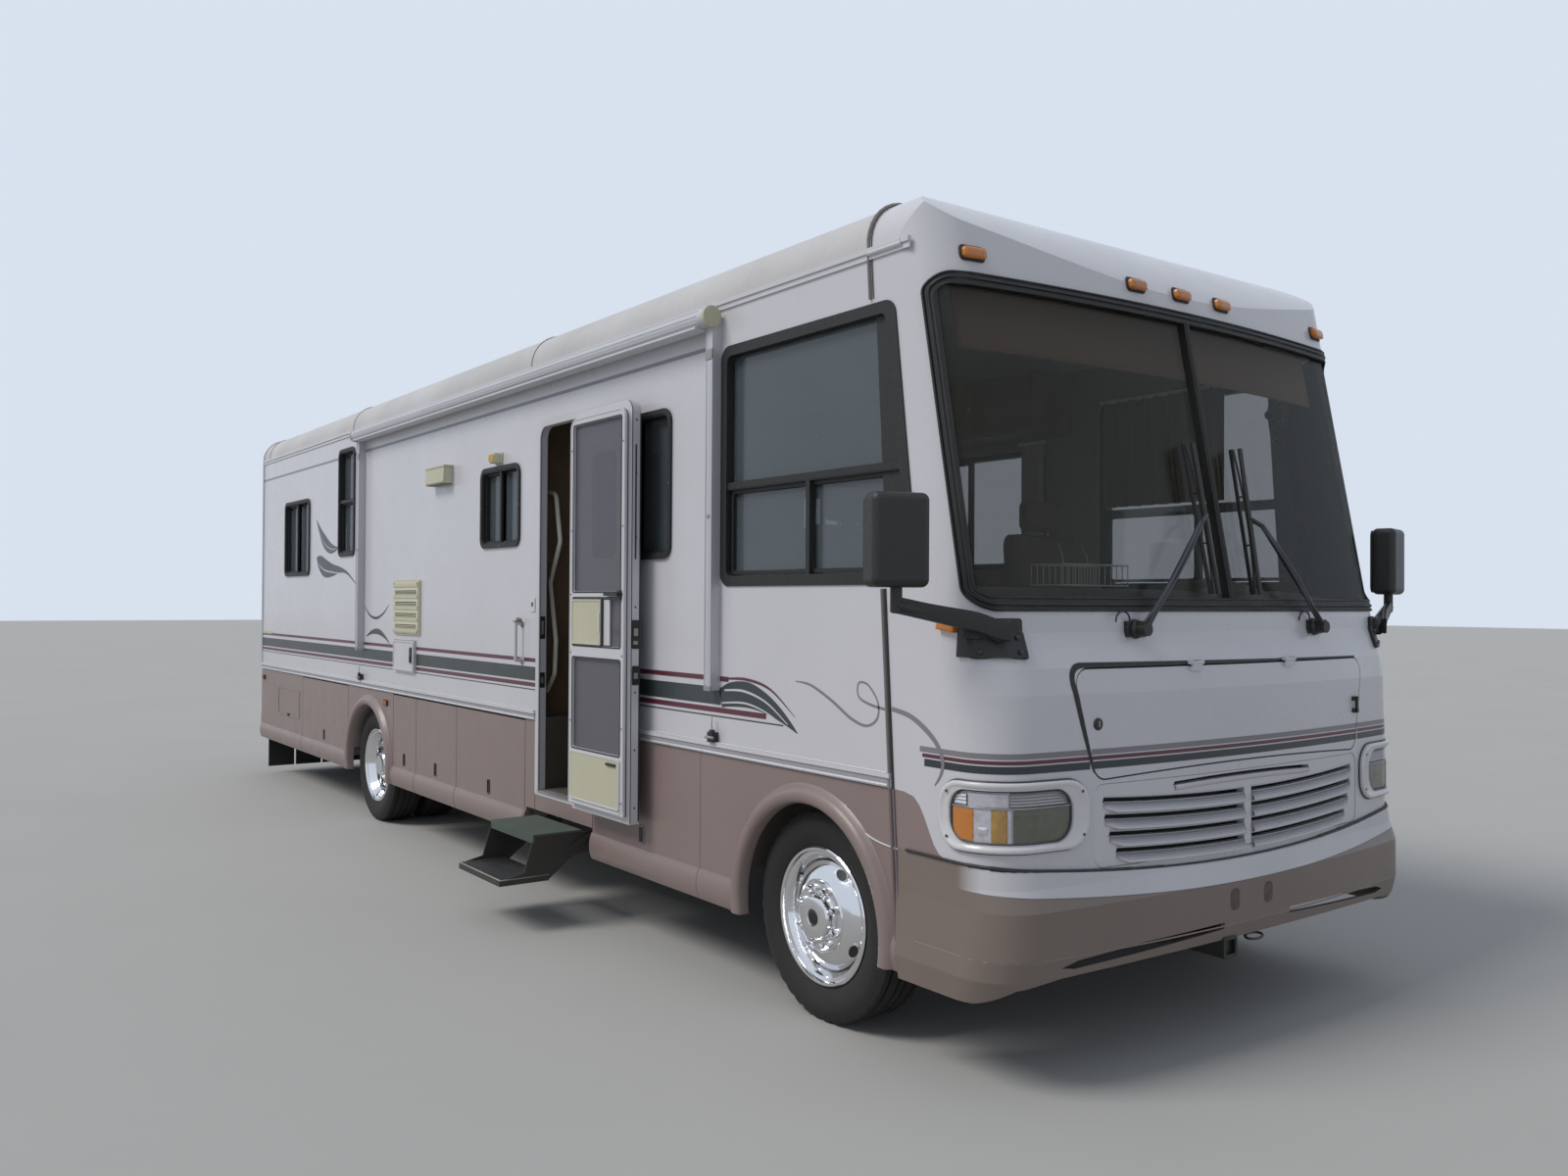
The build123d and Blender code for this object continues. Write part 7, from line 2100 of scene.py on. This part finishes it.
def make_roof_details():
    """Moulded shrouds of the two coolers, crowned vent lids and pipe caps."""
    form = Form()
    for centre in COOLERS:
        form.shell([[(x, y, z)
                     for x, y in rounded(-hx, hx, centre + shift - hy, centre + shift + hy, radius, 6)]
                    for z, hx, hy, shift, radius in AC_LEVELS])
        for side in (-1, 1):
            for k in range(11):
                y = centre - 0.06 + 0.040 * k
                rows = []
                for z in (3.285, 3.330, 3.375, 3.420):
                    hx, hy, shift = ac_at(z)
                    rows.append([(side * (hx + 0.0016), y - 0.009, z), (side * (hx + 0.0016), y + 0.009, z)])
                form.grid(rows, 1)
            rib = []
            for z in (3.262, 3.330, 3.420, 3.490):
                hx, hy, shift = ac_at(z)
                rib.append((side * (hx + 0.001), centre - 0.155, z))
            form.tube(rib, 0.007, 6, 0)
        for k in range(13):
            x = -0.228 + 0.038 * k
            for end in (-1, 1):
                rows = []
                for z in (3.275, 3.320, 3.370, 3.415):
                    hx, hy, shift = ac_at(z)
                    y = centre + shift + end * (hy + 0.0016)
                    rows.append([(x - 0.008, y, z), (x + 0.008, y, z)])
                if end > 0 or k % 2 == 0:
                    form.grid(rows, 1)
        for x, y in ((-0.30, -0.46), (0.30, -0.46), (-0.30, 0.46), (0.30, 0.46)):
            form.turned([(3.216, 0.014), (3.224, 0.014), (3.227, 0.008)], (x * 1.08, centre + y * 1.08, 0.0),
                        "z", 12, 2)
    for x, y in ((-0.320, 0.300), (0.320, 3.900), (0.350, -3.300)):
        loops = []
        for z, half, radius in ((3.170, 0.190, 0.03), (3.204, 0.190, 0.03), (3.207, 0.174, 0.028),
                                (3.240, 0.174, 0.028), (3.242, 0.185, 0.034), (3.258, 0.186, 0.036),
                                (3.270, 0.180, 0.040), (3.279, 0.150, 0.045), (3.285, 0.090, 0.040)):
            loops.append([(px, py, z)
                          for px, py in rounded(x - half, x + half, y - half, y + half, radius, 4)])
        form.shell(loops)
        form.tube([(x - 0.150, y - 0.188, 3.246), (x + 0.150, y - 0.188, 3.246)], 0.006, 8, 2)
        for k in range(4):
            form.disc((x - 0.168 + 0.112 * k, y - 0.182, ROOF_TOP), (0, 0, 1), 0.006, 0.003, 8, 2)
            form.disc((x - 0.168 + 0.112 * k, y + 0.182, ROOF_TOP), (0, 0, 1), 0.006, 0.003, 8, 2)
    for x, y in ((-0.700, 1.300), (0.600, 1.500)):
        form.turned([(3.150, 0.060), (3.186, 0.058), (3.196, 0.038), (3.246, 0.036), (3.247, 0.040),
                     (3.262, 0.0405), (3.284, 0.040), (3.296, 0.030), (3.300, 0.012)],
                    (x, y, 0.0), "z", 24, 0)
        for a in turns(8):
            slot = grown((x + 0.0385 * cos(a), x + 0.0385 * cos(a), y + 0.0385 * sin(a), y + 0.0385 * sin(a)),
                         0.003)
            form.box(*slot, 3.228, 3.247, 1)
    piece = form.make("roof_units_shells", "root", [roof_white, black_plastic, steel], smooth=40, bevel=0.002)
    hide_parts("roof_units")


def make_roof_sealant():
    """Sealed seams across the roof and round its fittings."""
    seams = Form()
    for y in (-1.20, 2.05, 4.60):
        seams.tube([(x * 0.999, y + 0.004 * sin(5.0 * x), z + 0.0005) for x, z in roof_profile()], 0.006, 6,
                   0, flat=0.5)
    for x, y, half, deep in ((0.0, -2.190, 0.380, 0.555), (0.0, 2.810, 0.380, 0.555),
                             (-0.320, 0.300, 0.205, 0.205), (0.320, 3.900, 0.205, 0.205),
                             (0.350, -3.300, 0.205, 0.205)):
        loop = []
        for px, py in rounded(x - half, x + half, y - deep, y + deep, 0.05, 5):
            loop.append((px, py, ROOF_TOP - 0.0446 * px * px + 0.001))
        seams.bead(loop, 0.010, 6, 0, flat=0.4)
    seams.make("roof_sealant", "root", seal, smooth=50)


def make_rear_edge_moulding():
    """The moulding round the rear wall's edge."""
    edges = Form()
    foot = [(1.2712, 4.8115, 0.99), (1.2712, 4.8115, 1.8)]
    rim = (foot + [(x * 1.001, 4.8115, z) for x, z in roof_profile()]
           + [(-x, y, z) for x, y, z in reversed(foot)])
    edges.tube(rim, 0.012, 8, 0, flat=0.7)
    edges.make("rear_edge_moulding", "root", white_moulding, smooth=50)


def make_rear_details():
    """Sash, slider and screws of the rear window."""
    form = Form()
    form.border((-0.606, 0.606, 1.844, 2.406), 0.026, (0.062, 0.042), "y", 4.8165, 4.8225, 0)
    form.border((0.010, 0.574, 1.876, 2.374), 0.024, (0.036, 0.020), "y", 4.800, 4.8145, 0)
    form.box(-0.010, 0.014, 4.796, 4.8155, 1.872, 2.378, 0)
    form.box(0.026, 0.046, 4.8145, 4.8215, 2.080, 2.170, 0)
    for i in range(10):
        x = -0.540 + 0.120 * i
        for z in (1.8575, 2.3925):
            form.disc((x, 4.8225, z), (0, 1, 0), 0.005, 0.0025, 8, 1)
    form.make("rear_window_sash", "root", [black_rubber, steel], bevel=0.001)


def make_rear_lenses():
    """Ribbed lenses and rims of the tail lamps and the upper markers."""
    lamps = Form()
    for side in (-1, 1):
        a, b = sorted((side * 1.014, side * 1.156))
        lamps.border((a - 0.004, b + 0.004, 1.070, 1.340), 0.012, (0.024, 0.018), "y", 4.809, 4.842, 3)
        for z0, z1, mark in ((1.084, 1.142, 1), (1.146, 1.228, 0), (1.232, 1.326, 2)):
            lamps.prism(rounded(a + 0.010, b - 0.010, z0, z1, 0.008), "y", 4.830, 4.8425, mark)
            for k in range(5):
                x = a + 0.026 + (b - a - 0.052) * k / 4
                lamps.box(x - 0.0015, x + 0.0015, 4.842, 4.8445, z0 + 0.008, z1 - 0.008, mark)
        for z in (1.144, 1.230):
            lamps.box(a + 0.010, b - 0.010, 4.832, 4.8405, z - 0.0018, z + 0.0018, 3)
    for x in (-1.100, -0.180, 0.0, 0.180, 1.100):
        lamps.border((x - 0.047, x + 0.047, 3.034, 3.076), 0.006, (0.010, 0.007), "y", 4.809, 4.819, 3)
        dome = [(0.0005, 4.812), (0.0005, 4.829), (-0.003, 4.833), (-0.009, 4.8345)]
        lamps.shell([[(a, y, b)
                      for a, b in rounded(*grown((x - 0.040, x + 0.040, 3.040, 3.070), grow), 0.006, 4)]
                     for grow, y in dome])
    lamps.make("rear_lenses", "root", [red, pale_line, amber, black_rubber], smooth=45, bevel=0.001)


def make_rear_plate():
    """Blank plate with its lamp and screws."""
    plate = Form()
    plate.prism(rounded(-0.1525, 0.1525, 0.684, 0.836, 0.014), "y", 4.8300, 4.8325, 0)
    plate.ring(rounded(-0.1525, 0.1525, 0.684, 0.836, 0.014), rounded(-0.146, 0.146, 0.690, 0.830, 0.010),
               "y", 4.8310, 4.8345, 0)
    plate.prism(rounded(-0.050, 0.050, 0.852, 0.880, 0.008), "y", 4.829, 4.852, 1)
    plate.prism(rounded(-0.036, 0.036, 0.848, 0.856, 0.003), "y", 4.833, 4.848, 2)
    for x in (-0.0889, 0.0889):
        for z in (0.6997, 0.8203):
            plate.turned([(4.8330, 0.007), (4.8370, 0.007), (4.8385, 0.004)], (x, 0.0, z), "y", 6, 3)
    plate.make("rear_plate_blank", "root", [white_moulding, black_plastic, pale_line, steel], bevel=0.0006)


def make_ladder_fittings():
    """Feet, stays and grips of the ladder."""
    ladder = Form()
    for x in (0.620, 0.960):
        for z in (1.220, 2.120, 2.900):
            ladder.disc((x, 4.8105, z), (0, 1, 0), 0.026, 0.008, 16, 0)
            ladder.tube([(x, 4.812, z), (x, 4.882, z)], 0.009, 10, 0)
    for k in range(7):
        z = 1.220 + 0.300 * k
        sleeve = [(0.650, 4.885, z), (0.930, 4.885, z)]
        ladder.tube(sleeve, 0.0165, 12, 1, flat=0.8)
        for i in range(14):
            x = 0.660 + 0.020 * i
            ladder.box(x - 0.002, x + 0.002, 4.874, 4.896, z + 0.0125, z + 0.0150, 1)
    ladder.make("ladder_fittings", "root", [aluminium, black_plastic], smooth=45)


def make_hitch_fittings():
    """Collar, pin and chain loops of the hitch receiver."""
    hitch = Form()
    hitch.ring(rounded(-0.040, 0.040, 0.317, 0.398, 0.008), rounded(-0.0258, 0.0258, 0.332, 0.3835, 0.004),
               "y", 4.868, 4.893, 0)
    hitch.turned([(-0.050, 0.009), (0.062, 0.009)], (0.0, 4.830, 0.358), "x", 14, 1)
    for side in (-1, 1):
        loop = [(side * (0.085 + 0.020 * cos(a)), 4.880, 0.350 + 0.020 * sin(a)) for a in turns(16)]
        hitch.bead(loop, 0.006, 8, 1)
    hitch.make("hitch_fittings", "root", [frame_black, steel], bevel=0.001)


def make_rear_belt():
    """Belt moulding of the rear wall, and the screws below it."""
    lines = Form()
    for x in (-1.13, 1.13):
        for k in range(6):
            lines.disc((x, 4.8305, 0.47 + 0.09 * k), (0, 1, 0), 0.006, 0.003, 8, 0)
    lines.box(-1.26, 1.26, 4.8105, 4.8165, 0.984, 0.998, 1)
    lines.box(-1.26, 1.26, 4.8105, 4.8185, 1.018, 1.034, 1)
    lines.box(-1.26, 1.26, 4.8105, 4.8145, 0.998, 1.018, 2)
    lines.make("rear_belt", "root", [steel, white_moulding, mauve], bevel=0.0008)


def make_mud_strip_rail():
    """Rail and bolts of the mud strips."""
    strips = Form()
    strips.box(-1.255, 1.255, 4.697, 4.701, 0.380, 0.425, 0)
    for k in range(20):
        x = -1.190 + 0.125 * k
        strips.disc((x, 4.7105, 0.392), (0, 1, 0), 0.008, 0.004, 10, 0)
    strips.make("mud_strip_rail", "root", [steel], bevel=0.001)


def make_marker_lenses():
    """Ribbed lenses and rims on the side markers."""
    form = Form()
    for side in (-1, 1):
        for y, mark in ((1.233, 0), (4.730, 1)):
            form.border((y - 0.041, y + 0.041, 0.884, 0.924), 0.007, (0.008, 0.004), "x", side * 1.2695,
                        side * 1.2800, 2)
            for k in range(9):
                at = y - 0.030 + 0.0075 * k
                form.box(side * 1.2835, side * 1.2852, at - 0.0012, at + 0.0012, 0.893, 0.915, mark)
    form.make("side_marker_lenses", "root", [amber, red, black_rubber], bevel=0.0006)


# Stage

# Place in metres, yaw, pitch and roll in degrees, and lens in millimetres of the photograph's camera
CAMERA_PLACE = (-4.211, -7.654, 1.655)
CAMERA_TURN = (36.086, 0.584, 0.332)
LENS = 28.42
FLOOR_REACH = 90.0
SUN_FROM = (-0.74, 0.22, 0.85)
# Strength of the sky where it lights and where it is seen
SKY_LIGHTS = 0.50
SKY_SEEN = 0.86


def make_camera():
    """The camera of the photograph."""
    data = bpy.data.cameras.new("camera")
    data.sensor_width = 36.0
    data.lens = LENS
    data.clip_end = 200.0
    yaw, pitch, roll = (radians(turn) for turn in CAMERA_TURN)
    look = Vector((sin(yaw) * cos(pitch), cos(yaw) * cos(pitch), sin(pitch)))
    right = Vector((cos(yaw), -sin(yaw), 0.0))
    up = Vector((0.0, 0.0, 1.0)) * cos(pitch) - Vector((sin(yaw), cos(yaw), 0.0)) * sin(pitch)
    right_rolled = right * cos(roll) + up * sin(roll)
    up_rolled = up * cos(roll) - right * sin(roll)
    turn = Matrix((right_rolled, up_rolled, -look)).transposed()
    camera = bpy.data.objects.new("camera", data)
    camera.matrix_world = Matrix.Translation(CAMERA_PLACE) @ turn.to_4x4()
    bpy.context.scene.collection.objects.link(camera)
    bpy.context.scene.camera = camera


def make_floor():
    """A pale floor."""
    corners = [(x, y, 0.0) for y in (-FLOOR_REACH, FLOOR_REACH) for x in (-FLOOR_REACH, FLOOR_REACH)]
    mesh = bpy.data.meshes.new("studio_floor")
    mesh.from_pydata(corners, [], [(0, 1, 3, 2)])
    floor = bpy.data.objects.new("studio_floor", mesh)
    bpy.context.scene.collection.objects.link(floor)
    net = Net(bpy.data.materials.new("studio_floor"))
    net.shader("Base Color", net.mixed(net.noise(0.6), (0.42, 0.415, 0.40), (0.47, 0.465, 0.45)))
    net.shader("Roughness", 0.9)
    mesh.materials.append(net.owner)


def make_light():
    """A soft sky, brighter where it is seen than where it lights, and one broad sun from the door side."""
    data = bpy.data.lights.new("sun", "SUN")
    data.energy = 1.75
    data.angle = radians(24)
    data.color = (1.0, 0.965, 0.92)
    sun = bpy.data.objects.new("sun", data)
    sun.rotation_euler = Vector(SUN_FROM).to_track_quat("Z", "Y").to_euler()
    bpy.context.scene.collection.objects.link(sun)
    bpy.context.scene.world = bpy.data.worlds.new("sky")
    net = Net(bpy.context.scene.world)
    sky = net.nodes["Background"]
    net.put(sky.inputs["Color"], (0.80, 0.88, 1.0))
    ray = net.nodes.new("ShaderNodeLightPath").outputs
    seen = net.maths("MAXIMUM", ray["Is Camera Ray"], ray["Is Glossy Ray"])
    seen = net.maths("MAXIMUM", seen, ray["Is Transmission Ray"])
    net.put(sky.inputs["Strength"], net.ramp(seen, 0.0, 1.0, SKY_LIGHTS, SKY_SEEN))
    bpy.context.scene.view_settings.view_transform = "Standard"


for make in (
        make_wall_stripes, make_swooshes, make_nose_stripes, make_door_stripes, make_wheels, make_seam_bead,
        make_flares, make_window_trim, make_belt_details, make_latches, make_awning_details,
        make_drip_rail_ends, make_vents, make_range_vent_details, make_outlet_door_details,
        make_porch_lamp_details, make_switch_plate, make_door_details, make_door_leaf_details, make_doorway,
        make_stepwell_mats, make_step_coverings, make_hood_details, make_hood_locks, make_grille_details,
        make_head_lamps, make_clearance_details, make_bumper_details, make_plate_mounts, make_tow_hook,
        make_windscreen_details, make_wiper_details, make_mirrors, make_dash, make_wire_rack, make_fan,
        make_shade_band, make_steering_wheel_trim, make_cabinet_fronts, make_curtains, make_cab_seats,
        make_seat_pads, make_bed, settle_pads, make_roof_details, make_roof_sealant, make_rear_edge_moulding,
        make_rear_details, make_rear_lenses, make_rear_plate, make_ladder_fittings, make_hitch_fittings,
        make_rear_belt, make_mud_strip_rail, make_marker_lenses, make_camera, make_floor, make_light):
    make()
